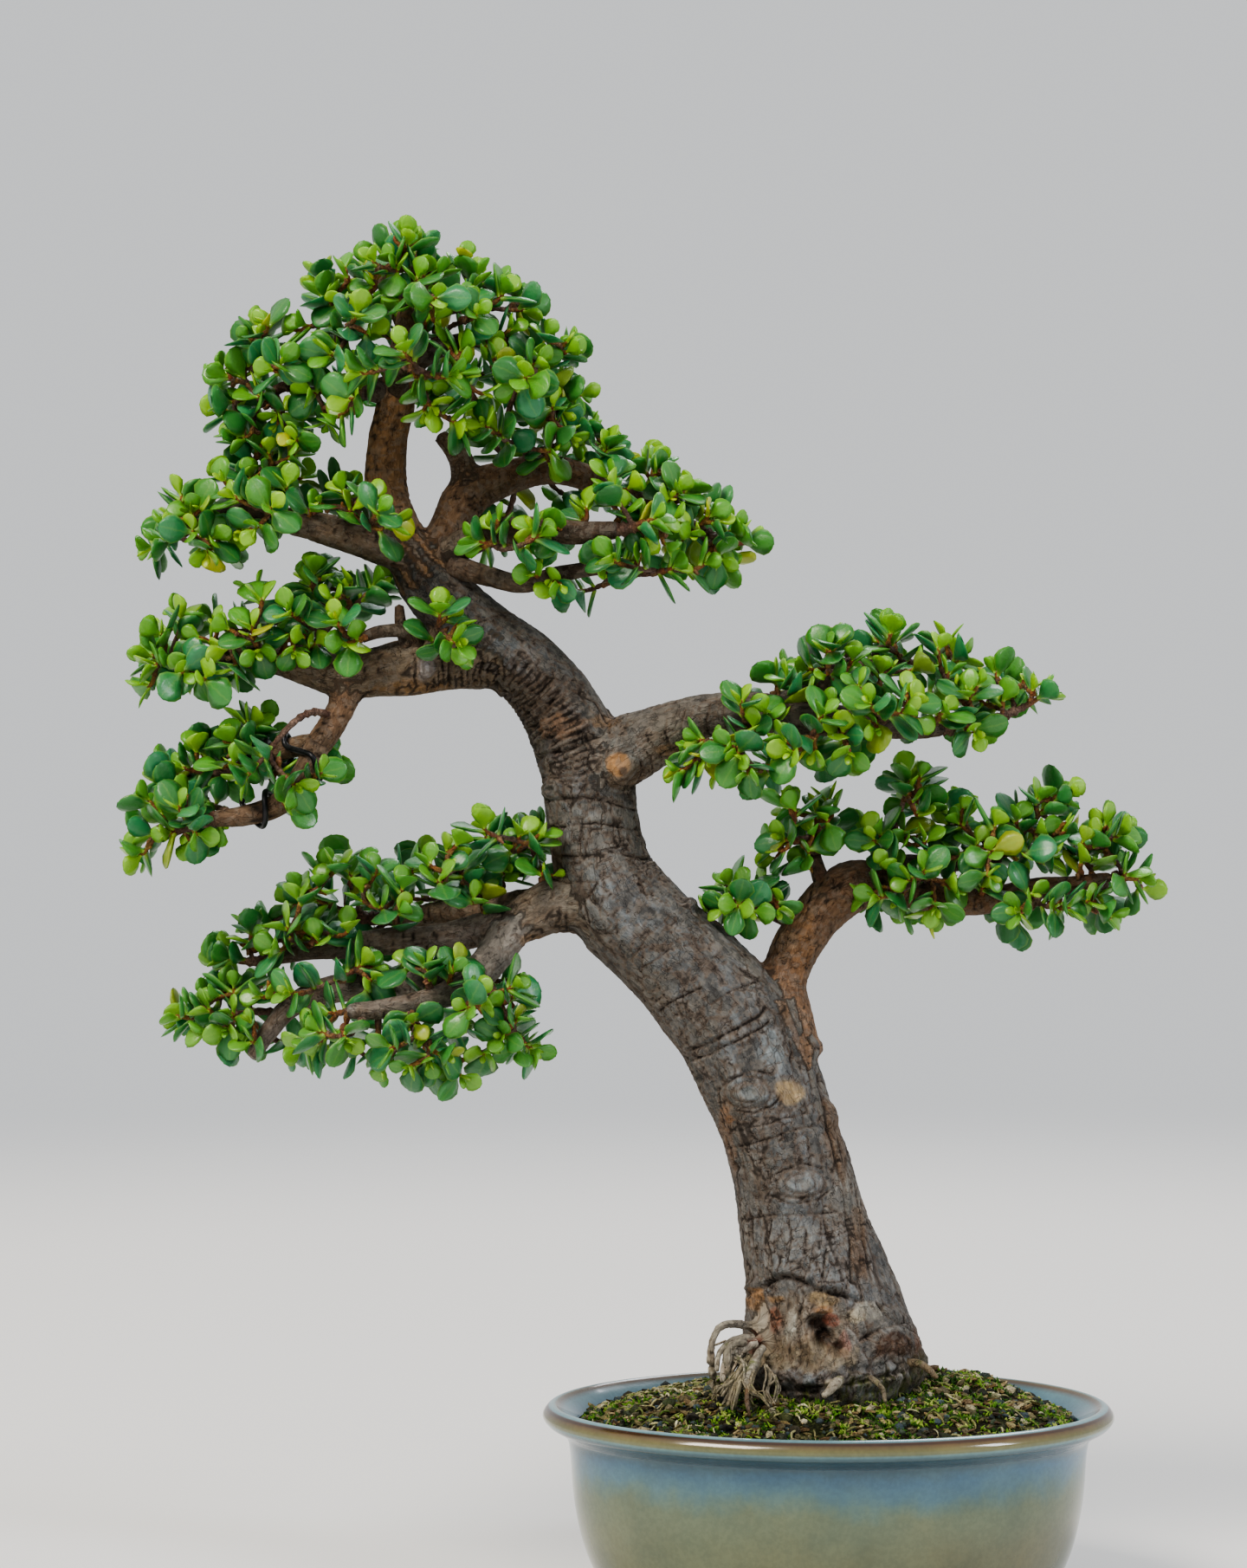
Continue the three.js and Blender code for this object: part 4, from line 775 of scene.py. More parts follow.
def carveBark(points, normals, names):
    # folds, rings, plates, knots and scars as real relief, and tints for the material
    place = limbPlaces(points, names)
    turn, along, radius = place["turn"], place["along"], place["radius"]
    # the limb drawn out straight
    flat = np.column_stack([radius * np.cos(turn), radius * np.sin(turn), along])
    flat += place["limb"][:, None] * np.array([97.0, 41.0, 13.0])
    size = np.clip(radius / 14, 0.12, 1)
    low = noiseAt(flat / np.array([1, 1, 1.6]), 17, 2)
    waver = noiseAt(flat, 11, 2)
    mid = noiseAt(flat / np.array([1, 1, 2.2]), 5.5, 3)
    fine = noiseAt(flat, 1.9, 3)
    streak = noiseAt(flat / np.array([1, 1, 7.0]), 3.4, 2)
    edge, own = barkPlates(flat, waver, mid)
    places = toPhoto(points)
    grainy = np.where(place["limb"] == 0, 0.25 + 0.75 * step(1190, 1330, places[:, 1]), 0.8)
    atFoot = places[:, 1] > barkLook["footStart"]

    lift = 0.9 * size * low
    bent = np.maximum(bendFolds(place), foldArea(places, normals) * (radius > 9))
    phase = (along + 1.4 * waver + 0.3 * mid) / barkLook["foldPitch"]
    fold = np.abs(np.sin(math.pi * phase)) ** 0.7
    strength = bent * step(-0.9, -0.1, mid + 0.5 * low)
    lift += barkLook["foldDepth"] * strength * (fold - 0.55) * 1.7
    groove = strength * bell(1 - np.abs(np.cos(math.pi * phase)), 0.2)
    # faint rings everywhere, left by old leaf pairs
    ringPitch = np.clip(radius * 0.8, 3.2, 13)
    ringPhase = (along + 0.22 * ringPitch * waver * 2) / ringPitch
    ring = bell(np.abs(ringPhase - np.round(ringPhase)) * ringPitch, 0.6) * step(-0.1, 0.4, mid + 0.4 * low)
    lift -= barkLook["ringDepth"] * np.clip(size * 1.2, 0.25, 1) * ring
    # fissures along the limb
    fissure = np.clip(1 - np.abs(streak) * 4.2, 0, 1) ** 2 * step(-0.1, 0.45, low + 0.6 * mid) * grainy
    lift -= barkLook["fissureDepth"] * np.clip(size * 1.3, 0.2, 1) * fissure
    # plates with open joints here and there
    joint = bell(edge, 0.1) * step(-0.55, 0.2, mid + 0.3 * waver)
    plate = barkLook["plateDepth"] * size
    lift += plate * (np.minimum(edge, 0.4) - 0.25 + 0.5 * (own - 0.5)) * (1 - bent)
    lift -= 0.8 * plate * joint
    lift += barkLook["grainDepth"] * np.clip(size * 1.6, 0.3, 1) * (fine + 0.9 * mid + 0.8 * streak * grainy)
    # the crack mask darkens the grooves in the material: the bark's own dark cracks, and painted shade in the
    # folds, rings, fissures and joints
    crack = np.clip(groove + 0.7 * ring + 0.75 * fissure + 0.8 * joint * np.clip(size * 1.3, 0, 1), 0, 1)

    # what the photograph shows on the front
    seen = step(-0.05, 0.3, -normals[:, 1])
    pixel = photoView["scale"]
    broken = 0.3 + 0.7 * step(-0.45, 0.15, mid + 0.4 * fine)
    for line, width, depth, dark in creases:
        width, depth = width * barkLook["creaseWidth"], depth * barkLook["creaseDepth"]
        rows = nearLine(places, line, 14)
        away = lineDistance(places[rows] + 2.0 * waver[rows, None] + 0.8 * fine[rows, None], line) * pixel
        cut = bell(away, width) * seen[rows] * broken[rows]
        lips = bell(away - 2.3 * width, 1.5 * width) * seen[rows]
        lift[rows] += 0.36 * depth * lips - depth * cut - 0.4 * depth * bell(away, 2.6) * seen[rows]
        crack[rows] = np.maximum(crack[rows], np.clip(cut * min(1.0, depth + 0.45), 0, 1) * dark)
    plain = np.zeros(len(points))  # where the material's own cracks keep away
    for *oval, rest in calmPlaces:
        q = ovalShare(places, *oval)
        plain = np.maximum(plain, (1 - step(0.8, 1.2, q)) * seen)
        calm = 1 - (1 - rest) * (1 - step(0.75, 1.1, q)) * seen
        lift *= calm
        crack *= calm
    inward = np.zeros(len(points))
    for *oval, height in bumps:
        q = ovalShare(places, *oval) + 0.12 * waver + 0.16 * mid
        mound = np.clip(1.4 - q, 0, 1)
        mound = mound * mound * (3 - 2 * mound) * seen
        if height < -2:
            inward = np.maximum(inward, -height * mound)
        else:
            lift += height * mound
    # rings round the two eye scars, the swirl and the pruned knob
    for *oval, pitch, start in scarRings:
        q = ovalShare(places, *oval) + 0.08 * waver + 0.05 * fine
        band = (1 - step(0.8, 1.15, q)) * step(start, start + 0.2, q) * seen * (0.4 + 0.6 * broken)
        lift += 0.4 * band * np.cos(2 * math.pi * q / pitch)
        crack = np.maximum(crack, 0.7 * band * np.clip(-np.cos(2 * math.pi * q / pitch), 0, 1) ** 2)
    # the wound at the foot: bare fibres under an overhanging lip
    wound = seen * (1 - step(0.8, 1.1, ovalShare(places, *barkLook["wound"]) + 0.15 * waver))
    fibres = noiseAt(points / np.array([1, 1, 5.0]), 2.2, 3)
    lumps = noiseAt(points, 4.5, 2)
    lift += wound * (-1.5 + 0.9 * fibres + 0.8 * lumps)
    crack = np.maximum(crack, wound * 0.55 * step(0.15, 0.6, -fibres))
    # the foot is crumpled where it meets the soil
    foot = (1 - step(84, 116, points[:, 2])) * atFoot
    crumple = np.abs(noiseAt(points + 31, 6.5, 3))
    foot = foot * (1 - 0.6 * (1 - step(90, 96, points[:, 2])) * seen)
    lift += foot * (1.5 * lumps - 1.6 * bell(crumple, 0.12))
    crack = np.maximum(crack, foot * 0.6 * bell(crumple, 0.07))
    # its underside is rounded in above the soil and lies in shadow
    under = (1 - step(82, 93, points[:, 2] + 2.5 * lumps)) * atFoot
    lift -= 5.0 * under

    tint = np.zeros((len(points), 3))
    for index, name in enumerate(names):
        ends = [shade(code) for code in limbTint.get(name, otherTint)]
        mine = place["limb"] == index
        tint[mine] = mix(*ends, place["share"][mine, None])
    stout = step(8, 15, radius)
    side = step(0.25, 0.85, np.abs(np.sin(turn)))
    blueGrey = stout * (1 - side) * step(0.45, 0.8, own + 0.35 * low)
    tan = side * stout * step(-0.25, 0.35, streak + 0.3 * low) + 0.7 * step(0.1, 0.5, noiseAt(flat, 23, 2))
    rust = step(0.3, 0.6, noiseAt(flat + 60, 6.5, 3)) * 0.5
    rust += 0.6 * bent * step(0.4, 0.9, fold) * step(0.2, 0.6, own)
    for code, share in (("7f8686", 0.4 * blueGrey), ("7e7462", 0.4 * np.clip(tan, 0, 1)),
                        ("735a44", np.clip(0.5 * rust, 0, 0.8))):
        tint = mix(tint, shade(code), share[:, None])
    tint *= (1 + 0.13 * low + 0.28 * mid + 0.45 * (own - 0.5) * stout)[:, None]
    tint *= np.where(place["limb"][:, None] == 0, barkLook["trunkShade"], barkLook["limbShade"])
    # painted shade: bark that faces downwards is mixed towards a dark brown
    tint = mix(tint, shade("6c5846"), step(0.3, 0.9, -normals[:, 2])[:, None] * 0.35)
    tint = mix(tint, shade("a2937f"), (0.45 * wound)[:, None])
    for *oval, code, strength in patches:
        q = ovalShare(places, *oval) + 0.3 * waver + 0.35 * mid
        tint = mix(tint, shade(code), (strength * (1 - step(0.75, 1.1, q)) * seen)[:, None])
    # painted shade: the rounded-in underside of the foot is made darker
    tint *= (1 - 0.5 * under)[:, None]
    moss = (1 - step(82, 100, points[:, 2] + 6 * waver)) * step(-0.05, 0.35, low + 0.5 * mid)
    moss *= places[:, 1] > barkLook["footStart"] - 20
    moved = points + normals * lift[:, None] + np.array([0, 1.0, 0]) * inward[:, None]
    return moved, {"barkTint": np.clip(tint, 0.002, 1), "barkPlace": flat * 0.001,
                   "barkState": np.column_stack([np.clip(crack, 0, 1), np.clip(moss, 0, 1),
                                              np.maximum(plain, 0.75 * wound)])}


def makeBark():
    material, tree, shader = newMaterial("bark", barkLook["roughness"], 0.25)
    place = attributeNode(tree, "barkPlace")["Vector"]
    state = splitNode(tree, attributeNode(tree, "barkState")["Vector"])
    long, wide = stretched(tree, place, 0.5), stretched(tree, place, 1.6)
    grey = mottle(tree, place, 95.0, 0.14, "9a9a96", "5a5349")["Colour"]
    base = blendColour(tree, 0.45, attributeNode(tree, "barkTint")["Color"], grey, "OVERLAY")
    base, flecks = mottled(tree, base, 0.8, long, 520.0, 0.12, (1.2, 1.19, 1.16), (0.62, 0.61, 0.6))
    patchy = rangeNode(tree, noiseNode(tree, place, 210.0, 3.0, 0.6)["Fac"], 0.44, 0.6)
    free = times(tree, patchy, less(tree, 1.0, state[2]))
    net = cracks(tree, long, 330.0, 0.06, 0.005)["Mask"]
    base = blendColour(tree, times(tree, net, 0.5, free), base, rgb("2b2622"))
    split = times(tree, cracks(tree, wide, 150.0, 0.045, 0.016)["Mask"], free)
    base = wash(tree, base, "2d2823", split, 0.55)
    flakes = mottle(tree, wide, 230.0, 0.06, "9c8c7e", "7d756b")
    loose = times(tree, rangeNode(tree, flakes["Mask"], 0.6, 0.9), 0.3)
    base = blendColour(tree, loose, base, flakes["Colour"])
    # the bark's own dark and painted shade, by the crack mask: brown in shallow grooves, near black in the
    # deepest
    base = wash(tree, base, "5d4632", rangeNode(tree, state[0], 0.1, 0.4), 0.35)
    base = wash(tree, base, "201a15", rangeNode(tree, state[0], 0.4, 0.95), 0.82)
    green = mottle(tree, place, 300.0, 0.1, "6c7a2c", "39461c")["Colour"]
    base = blendColour(tree, times(tree, state[1], 0.6, flecks), base, green)
    height = less(tree, noiseNode(tree, long, 900.0, 3.0, 0.7)["Fac"], net)
    height = less(tree, plus(tree, height, times(tree, flecks, -0.5)), times(tree, split, 1.2))
    dress(tree, shader, base, height, 0.0005, 0.9)
    return material


barkMaterial = makeBark()
heavyLimbs = [
    "trunk", "leader", "rightLeader", "leftUpper", "leftMiddle", "rightUpper", "rightLow", "bottomArm",
    "bottomFront", "bottomLeft", "bottomBack", "bottomCut", "leftDrop", "rightLeaderStub", "rootLoopOuter",
    "rootLoopInner"]
lightLimbs = [name for name in limbs if name not in heavyLimbs + ["prunedKnob"]]


def detailed(points, normals, tris):
    # the triangles near a crease, a scar or a bend's folds
    places = toPhoto(points)
    wanted = np.zeros(len(points), bool)
    for line, *_ in creases:
        rows = nearLine(places, line, 8)
        wanted[rows] |= lineDistance(places[rows], line) < 4.5
    for x, y, wide, high, _ in bumps:
        wanted |= ovalShare(places, x, y, wide + 6, high + 6) < 1.0
    wanted &= normals[:, 1] < 0.1
    return wanted[tris].any(1)


def shadedMesh(name, points, tris, normals, attributes, chosen):
    # part of a skin as its own mesh, shaded as the whole is
    used, index = np.unique(tris[chosen], return_inverse=True)
    mesh = buildMesh(name, points[used], [index.reshape(-1, 3)], {k: v[used] for k, v in attributes.items()})
    mesh.normals_split_custom_set_from_vertices(normals[used].tolist())
    return mesh


def surfaceNormals(points, tris):
    corners = points[tris]
    faces = np.cross(corners[:, 1] - corners[:, 0], corners[:, 2] - corners[:, 0])
    normals = np.zeros_like(points)
    for i in range(3):
        for axis in range(3):
            normals[:, axis] += np.bincount(tris[:, i], faces[:, axis], len(points))
    return normals / np.maximum(lengths(normals), 1e-12)[:, None]


def makeWood():
    voxel = barkLook["voxel"]
    parts = [woodTube(name) for name in heavyLimbs + ["prunedKnob"]]
    skin = skinOver(parts, "trunkSkin", voxel, barkLook["blend"])
    points, tris = vertexRows(skin) * 1000, trianglesOf(skin)
    points, tris = refine(points, tris, detailed(points, surfaceNormals(points, tris), tris))
    points, attributes = carveBark(points, surfaceNormals(points, tris), heavyLimbs)
    normals = surfaceNormals(points, tris)
    bpy.data.meshes.remove(skin)
    low = points[tris][:, :, 2].mean(1) < barkLook["splitHeight"]
    for name, chosen in (("lowerWood", low), ("upperWood", ~low)):
        addPiece(shadedMesh(name, points, tris, normals, attributes, chosen), barkMaterial, ["trunk"])
    print("wood:", low.sum(), "and", (~low).sum(), "triangles")
    points, *faces = joinParts([woodTube(name) for name in lightLimbs] + rootParts())
    slim = buildMesh("slimWood", points, faces)
    moved, attributes = carveBark(points, vertexRows(slim, "normals"), lightLimbs)
    bpy.data.meshes.remove(slim)
    addPiece(buildMesh("slimWood", moved, faces, attributes), barkMaterial, ["trunk"])


# thin roots at the foot's left side: their colour, and for each point pixel x, pixel y, depth and radius
rootletTable = [
    ("bdb397", 866, 1566, -24, 1.6, 856, 1580, -31, 1.9, 847, 1597, -35, 1.5, 840, 1622, -38, 1.1),
    ("b5ab90", 872, 1568, -27, 1.5, 862, 1584, -34, 1.7, 853, 1602, -38, 1.3, 848, 1624, -40, 1.0),
    ("a89e84", 876, 1572, -30, 1.3, 869, 1590, -36, 1.4, 866, 1608, -39, 1.0, 868, 1626, -40, 0.8),
    ("c4bca6", 860, 1562, -22, 1.1, 848, 1574, -30, 1.2, 843, 1592, -33, 1.0, 834, 1612, -35, 0.8),
    ("b9b19c", 846, 1556, -26, 1.2, 852, 1568, -31, 1.3, 862, 1578, -34, 1.2, 858, 1600, -37, 0.9),
    ("a39a86", 884, 1578, -33, 1.0, 889, 1592, -38, 1.0, 886, 1606, -41, 0.8, 890, 1622, -43, 0.6),
    ("b8ae98", 895, 1588, -36, 0.8, 898, 1602, -40, 0.9, 896, 1618, -43, 0.7),
    ("ada287", 858, 1590, -36, 0.7, 866, 1604, -41, 0.8, 878, 1612, -44, 0.7, 888, 1624, -46, 0.5),
    ("b3a888", 853, 1584, -34, 0.6, 841, 1598, -38, 0.7, 830, 1604, -41, 0.6, 824, 1616, -42, 0.5),
    ("6b5642", 864, 1600, -38, 1.2, 863, 1616, -43, 1.3, 865, 1634, -46, 0.7),
    ("8b7a62", 1048, 1572, -22, 2.2, 1066, 1576, -24, 1.8, 1082, 1590, -26, 1.2),
    ("9c917a", 1006, 1590, -34, 1.4, 1018, 1602, -40, 1.2, 1022, 1618, -43, 0.8),
    ("c9c2b0", 970, 1592, -36, 2.4, 962, 1600, -41, 2.3, 950, 1612, -43, 1.4),
    ("c0b79f", 838, 1548, -20, 0.5, 826, 1552, -24, 0.5, 822, 1554, -26, 0.4),
    ("c4beb0", 874, 1550, -22, 2.0, 854, 1558, -26, 2.5, 839, 1575, -30, 2.2, 836, 1594, -33, 1.5),
    ("b9b2a2", 870, 1543, -18, 1.5, 848, 1547, -22, 1.8, 831, 1562, -26, 1.5, 828, 1582, -30, 1.2),
    ("bfb8a8", 882, 1556, -27, 1.9, 869, 1576, -33, 2.3, 862, 1592, -37, 1.9, 868, 1610, -40, 1.2)]



def makeRootlets():
    parts, tints = [], []
    random = np.random.default_rng(5)
    for index, (code, *rows) in enumerate(rootletTable * 4):
        copy, index = divmod(index, len(rootletTable))
        rows = np.reshape(rows, (-1, 4)).astype(float)
        if copy:
            if index > 8:
                continue
            rows[:, :3] += random.normal(0, (3.2, 2.4, 2.0), (len(rows), 3))
            rows[:, 3] *= 0.5
        line, radii = smoothLine(fromPhoto(rows[:, :3]), rows[:, 3] * 0.8, 1.4)
        line += 0.5 * np.column_stack([noiseAt(line + 9 * index + turn, 6, 2) for turn in (0, 40, 80)])
        part = tube(line, radii * (1 + 0.25 * noiseAt(line + index, 3, 2)), 9)
        parts.append(part)
        tints.append(np.tile(shade(code) * random.uniform(0.75, 1.05), (len(part[0]), 1)))
    points, *faces = joinParts(parts)
    crack = np.clip(0.6 * step(0.1, 0.6, noiseAt(points, 1.5, 2)), 0, 1)
    attributes = {"barkTint": np.vstack(tints), "barkPlace": points * 0.001,
                  "barkState": np.column_stack([crack, step(0.2, 0.6, noiseAt(points, 5, 2)), 0 * crack])}
    addPiece(buildMesh("rootlets", points, faces, attributes), barkMaterial, ["trunk"])


makeWood()
makeRootlets()


# Foliage: the limb and the place on it (counted in its points), and then the tips of the main shoots

sprayTable = {
    "crown_top": ("leader", 6, (484, 286, 4), (452, 300, -8), (504, 344, -34)),
    "crown_high_right": ("crownRight", 1, (548, 318, -2), (550, 362, -26), (606, 358, 8)),
    "crown_high_left": ("crownLeft", 1, (372, 340, -4), (412, 362, -28)),
    "crown_left": ("crownLeft", 3, (300, 390, 0), (277, 432, 4), (325, 420, -22), (282, 484, 2)),
    "crown_front": ("crownFront", 2, (414, 430, -42), (466, 402, -46), (520, 434, -42)),
    "crown_right": ("crownRight", 3, (645, 402, 2), (655, 448, 2), (606, 436, -26)),
    "crown_back": (
        "crownBack", 2, (380, 385, 40), (450, 350, 42), (550, 380, 42), (490, 440, 58), (400, 450, 46)),
    "shoulder_top": ("rightLeader", 3.3, (560, 490, -22), (684, 496, 2), (640, 520, -10), (626, 476, 18)),
    "shoulder_slope": ("rightLeader", 7, (856, 618, 0), (832, 646, -6), (795, 562, 4), (742, 540, 6)),
    "shoulder_front": ("rightLower", 4, (706, 566, -32), (758, 598, -34)),
    "shoulder_near": ("rightLower", 1.5, (550, 622, -34), (626, 616, -40)),
    "shoulder_low": ("rightThin", 5, (780, 655, -22), (706, 645, -36)),
    "shoulder_back": ("rightLeader", 4, (605, 525, 44), (690, 548, 48), (650, 585, 46), (760, 575, 40)),
    "left_upper_tip": ("leftUpper", 6, (186, 626, -2), (210, 570, 2), (246, 622, -18)),
    "left_upper_front": ("leftUpper", 3.3, (313, 586, -30), (270, 572, -22)),
    "left_upper_high": ("leftUpper", 3.8, (284, 514, 6), (340, 524, 0)),
    "left_upper_near": ("leftUpper", 1, (436, 590, -30), (395, 566, -16)),
    "left_upper_back": ("leftUpper", 2, (350, 550, 34), (290, 568, 36), (232, 590, 30)),
    "left_middle_tip": ("leftMiddle", 9, (174, 756, 0), (212, 714, 2), (212, 776, -18)),
    "left_middle_front": ("leftMiddle", 6.6, (290, 722, -24), (298, 752, -20)),
    "left_middle_top": ("leftMiddle", 5.2, (434, 675, -6), (358, 674, -2), (334, 706, -24)),
    "left_middle_twig": ("leftMiddleTwig", 3, (388, 716, -28)),
    "left_middle_near": ("leftMiddle", 1.6, (508, 704, -32), (528, 742, -34)),
    "left_middle_back": ("leftMiddle", 6, (350, 705, 32), (275, 728, 30), (420, 690, 34)),
    "left_low_tip": ("leftDropLower", 4, (206, 930, -34), (172, 962, -18), (228, 964, -34)),
    "left_low_top": ("leftDropUpper", 3, (210, 886, -4), (294, 838, -6)),
    "left_low_near": ("leftDrop", 1.4, (342, 908, -40), (280, 900, -36)),
    "left_low_back": ("leftDropLower", 3.4, (232, 915, 6)),
    "right_high_low": ("rightUpper", 5.2, (856, 808, -38), (804, 854, -30), (852, 872, -42)),
    "right_high_front": ("rightUpper", 6.5, (950, 824, -42), (914, 868, -46)),
    "right_high_top": ("rightUpperTop", 3, (1110, 760, 6), (1028, 742, 0), (930, 772, -10)),
    "right_high_mid": ("rightUpper", 7.5, (1004, 812, -42), (1046, 820, -36)),
    "right_high_end": ("rightUpper", 9, (1205, 802, 0), (1120, 800, -16), (1126, 846, -14), (1150, 775, 8)),
    "right_high_back": ("rightUpper", 6, (920, 805, 28), (1005, 780, 38), (1080, 798, 32)),
    "right_low_spur": ("rightLowSpur", 2, (842, 1020, 0), (852, 1046, -12)),
    "right_low_twig": ("rightLowTwig", 2, (945, 936, 4), (904, 968, -6)),
    "right_low_tuft": ("rightLow", 6, (1050, 898, 8), (1008, 970, -8)),
    "right_low_mid": ("rightLow", 6.7, (1068, 1004, -18), (1012, 1036, -14)),
    "right_low_centre": ("rightLow", 8, (1106, 948, -2), (1146, 982, -12), (1206, 932, 4)),
    "right_low_far": ("rightLow", 11, (1318, 1014, -2), (1268, 966, -8)),
    "right_low_hang": ("rightLow", 9.2, (1236, 1048, -18), (1176, 1052, -20)),
    "right_low_back": ("rightLowBack", 3, (1120, 965, 44), (1190, 970, 32)),
    "bottom_inner": ("bottomBack", 1.5, (560, 962, 14), (612, 972, 14), (584, 1006, 2)),
    "bottom_back": ("bottomBack", 5, (362, 1036, 14), (404, 1006, 18), (480, 1004, 18)),
    "bottom_rear": ("bottomBack", 3.5, (470, 1035, 48), (545, 1015, 44)),
    "bottom_left_top": ("bottomLeft", 6, (289, 1070, 2), (260, 1104, 0), (350, 1080, -12)),
    "bottom_left_low": ("bottomCut", 4.3, (216, 1172, -8), (262, 1188, -18), (270, 1138, -8)),
    "bottom_left_mid": ("bottomCut", 3, (334, 1146, -30), (420, 1112, -24)),
    "bottom_centre": ("bottomFront", 3.3, (492, 1112, -38)),
    "bottom_front": ("bottomFront", 2, (540, 1164, -52), (594, 1138, -42)),
    "bottom_front_right": ("bottomFront", 1.5, (616, 1212, -34), (580, 1196, -42)),
    "bottom_front_low": ("bottomFront", 4, (450, 1210, -52), (514, 1220, -50)),
    "bottom_front_left": ("bottomFront", 5.3, (366, 1190, -48), (400, 1200, -50)),
}

# by pad: the limbs that carry small shoots, the spray behind, and x and y of more rosettes, in pixels
padTable = {
    "crown": (["leader", "crownLeft", "crownRight", "crownFront", "crownBack", "rightLeaderStub"],
              "crown_back", [
        456, 272, 479, 274, 536, 299, 552, 312, 364, 326, 403, 318, 307, 373, 290, 391, 464, 356, 504, 372,
        582, 337, 590, 379, 628, 387, 655, 395, 341, 414, 280, 414, 261, 431, 297, 456, 261, 475, 414, 437,
        403, 460, 483, 440, 537, 433, 602, 456, 665, 456, 540, 494, 594, 490, 640, 525, 659, 505, 280, 506,
        341, 509, 387, 483, 430, 300, 508, 318, 390, 350, 440, 385, 350, 375, 570, 410, 500, 470, 560, 455,
        360, 455, 320, 480, 430, 330, 520, 400, 620, 420, 480, 320, 540, 345, 380, 410, 590, 430, 640, 470]),
    "shoulder": (["rightLeader", "rightLower", "rightThin"], "shoulder_back", [
        544, 632, 567, 609, 605, 632, 623, 653, 644, 609, 697, 567, 728, 563, 741, 605, 743, 529, 760, 545,
        800, 565, 830, 600, 865, 615, 815, 650, 790, 640, 755, 600, 700, 635, 770, 630, 648, 675, 686, 494,
        665, 530, 700, 520, 720, 590, 780, 600, 675, 585, 740, 640, 800, 620, 845, 635, 715, 545, 775, 575]),
    "left_upper": (["leftUpper"], "left_upper_back", [
        205, 561, 341, 532, 301, 544, 313, 588, 230, 586, 253, 613, 173, 630, 223, 613, 276, 613, 433, 574,
        443, 609, 387, 555, 406, 586, 258, 555, 330, 560, 370, 580, 240, 640, 200, 600, 310, 520, 295, 610]),
    "left_middle": (["leftMiddle", "leftMiddleTwig", "leftMiddleSpur"], "left_middle_back", [
        211, 703, 183, 730, 166, 749, 166, 783, 206, 786, 218, 759, 249, 723, 296, 756, 236, 783, 298, 720,
        332, 700, 319, 726, 302, 690, 362, 660, 356, 680, 432, 670, 405, 671, 452, 671, 385, 720, 412, 740,
        352, 736, 339, 753, 505, 706, 521, 690, 528, 720, 518, 749, 535, 746, 260, 750, 190, 765, 230, 735,
        385, 690, 270, 775, 320, 745]),
    "left_low": (["leftDropUpper", "leftDropLower"], "left_low_back", [
        299, 826, 286, 846, 269, 855, 226, 865, 206, 889, 256, 882, 283, 902, 206, 938, 170, 922, 160, 988,
        193, 962, 233, 968, 170, 952, 342, 909, 326, 892, 372, 892, 240, 915, 215, 915, 185, 940, 255, 950,
        345, 935, 190, 900]),
    "right_high": (["rightUpper", "rightUpperTop"], "right_high_back", [
        855, 803, 803, 846, 776, 880, 799, 878, 823, 880, 843, 862, 863, 894, 886, 823, 914, 815, 906, 854,
        890, 882, 914, 878, 940, 868, 906, 783, 954, 779, 965, 743, 985, 759, 1029, 728, 1013, 736, 957,
        819, 997, 815, 973, 846, 981, 870, 1013, 842, 1048, 799, 1068, 811, 1060, 830, 1096, 775, 1104,
        791, 1084, 747, 1104, 759, 1151, 775, 1159, 807, 1195, 795, 1211, 805, 1124, 838, 1131, 854, 930,
        800, 1030, 770, 1060, 770, 1130, 790, 990, 790, 1170, 790, 1090, 820, 870, 840]),
    "right_low": (["rightLow", "rightLowSpur", "rightLowTwig", "rightLowBack"], "right_low_back", [
        839, 1012, 835, 1048, 870, 1052, 878, 1024, 898, 1040, 918, 933, 957, 925, 957, 945, 898, 961, 898,
        981, 934, 985, 938, 961, 1037, 890, 1064, 894, 1048, 910, 1052, 925, 993, 961, 1009, 977, 1044,
        973, 1025, 997, 1068, 1004, 1048, 1016, 1096, 1016, 1001, 1044, 1017, 1024, 1037, 1040, 1080, 1048,
        1104, 957, 1127, 973, 1116, 989, 1112, 933, 1199, 921, 1226, 925, 1250, 969, 1278, 953, 1278, 977,
        1183, 985, 1159, 985, 1250, 993, 1143, 1012, 1175, 945, 1294, 965, 1191, 1032, 1167, 1064, 1218,
        1048, 1258, 1040, 1274, 1052, 1301, 1008, 1327, 1020, 1070, 970, 1090, 990, 1200, 960, 1230, 960,
        1150, 950, 1210, 990, 1060, 940]),
    "bottom": (["bottomBack", "bottomLeft", "bottomFront", "bottomCut"], "bottom_rear", [
        558, 953, 601, 963, 626, 963, 528, 973, 495, 996, 505, 1016, 575, 1006, 628, 1006, 548, 1039, 389,
        1000, 435, 1003, 379, 1029, 346, 1036, 419, 1026, 465, 1023, 439, 1046, 465, 1063, 359, 1066, 369,
        1086, 402, 1073, 289, 1086, 256, 1102, 319, 1096, 289, 1063, 309, 1132, 339, 1149, 263, 1132, 240,
        1165, 203, 1172, 236, 1192, 268, 1169, 266, 1195, 289, 1202, 415, 1106, 429, 1132, 469, 1112, 492,
        1132, 528, 1111, 379, 1169, 366, 1205, 349, 1202, 402, 1199, 442, 1205, 442, 1232, 472, 1232, 478,
        1182, 512, 1212, 495, 1225, 532, 1242, 542, 1165, 548, 1142, 596, 1132, 565, 1209, 598, 1212, 624,
        1202, 624, 1232, 598, 1175, 270, 1110, 300, 1150, 330, 1070, 520, 1000, 590, 980, 560, 1160, 250,
        1150, 290, 1180]),
}

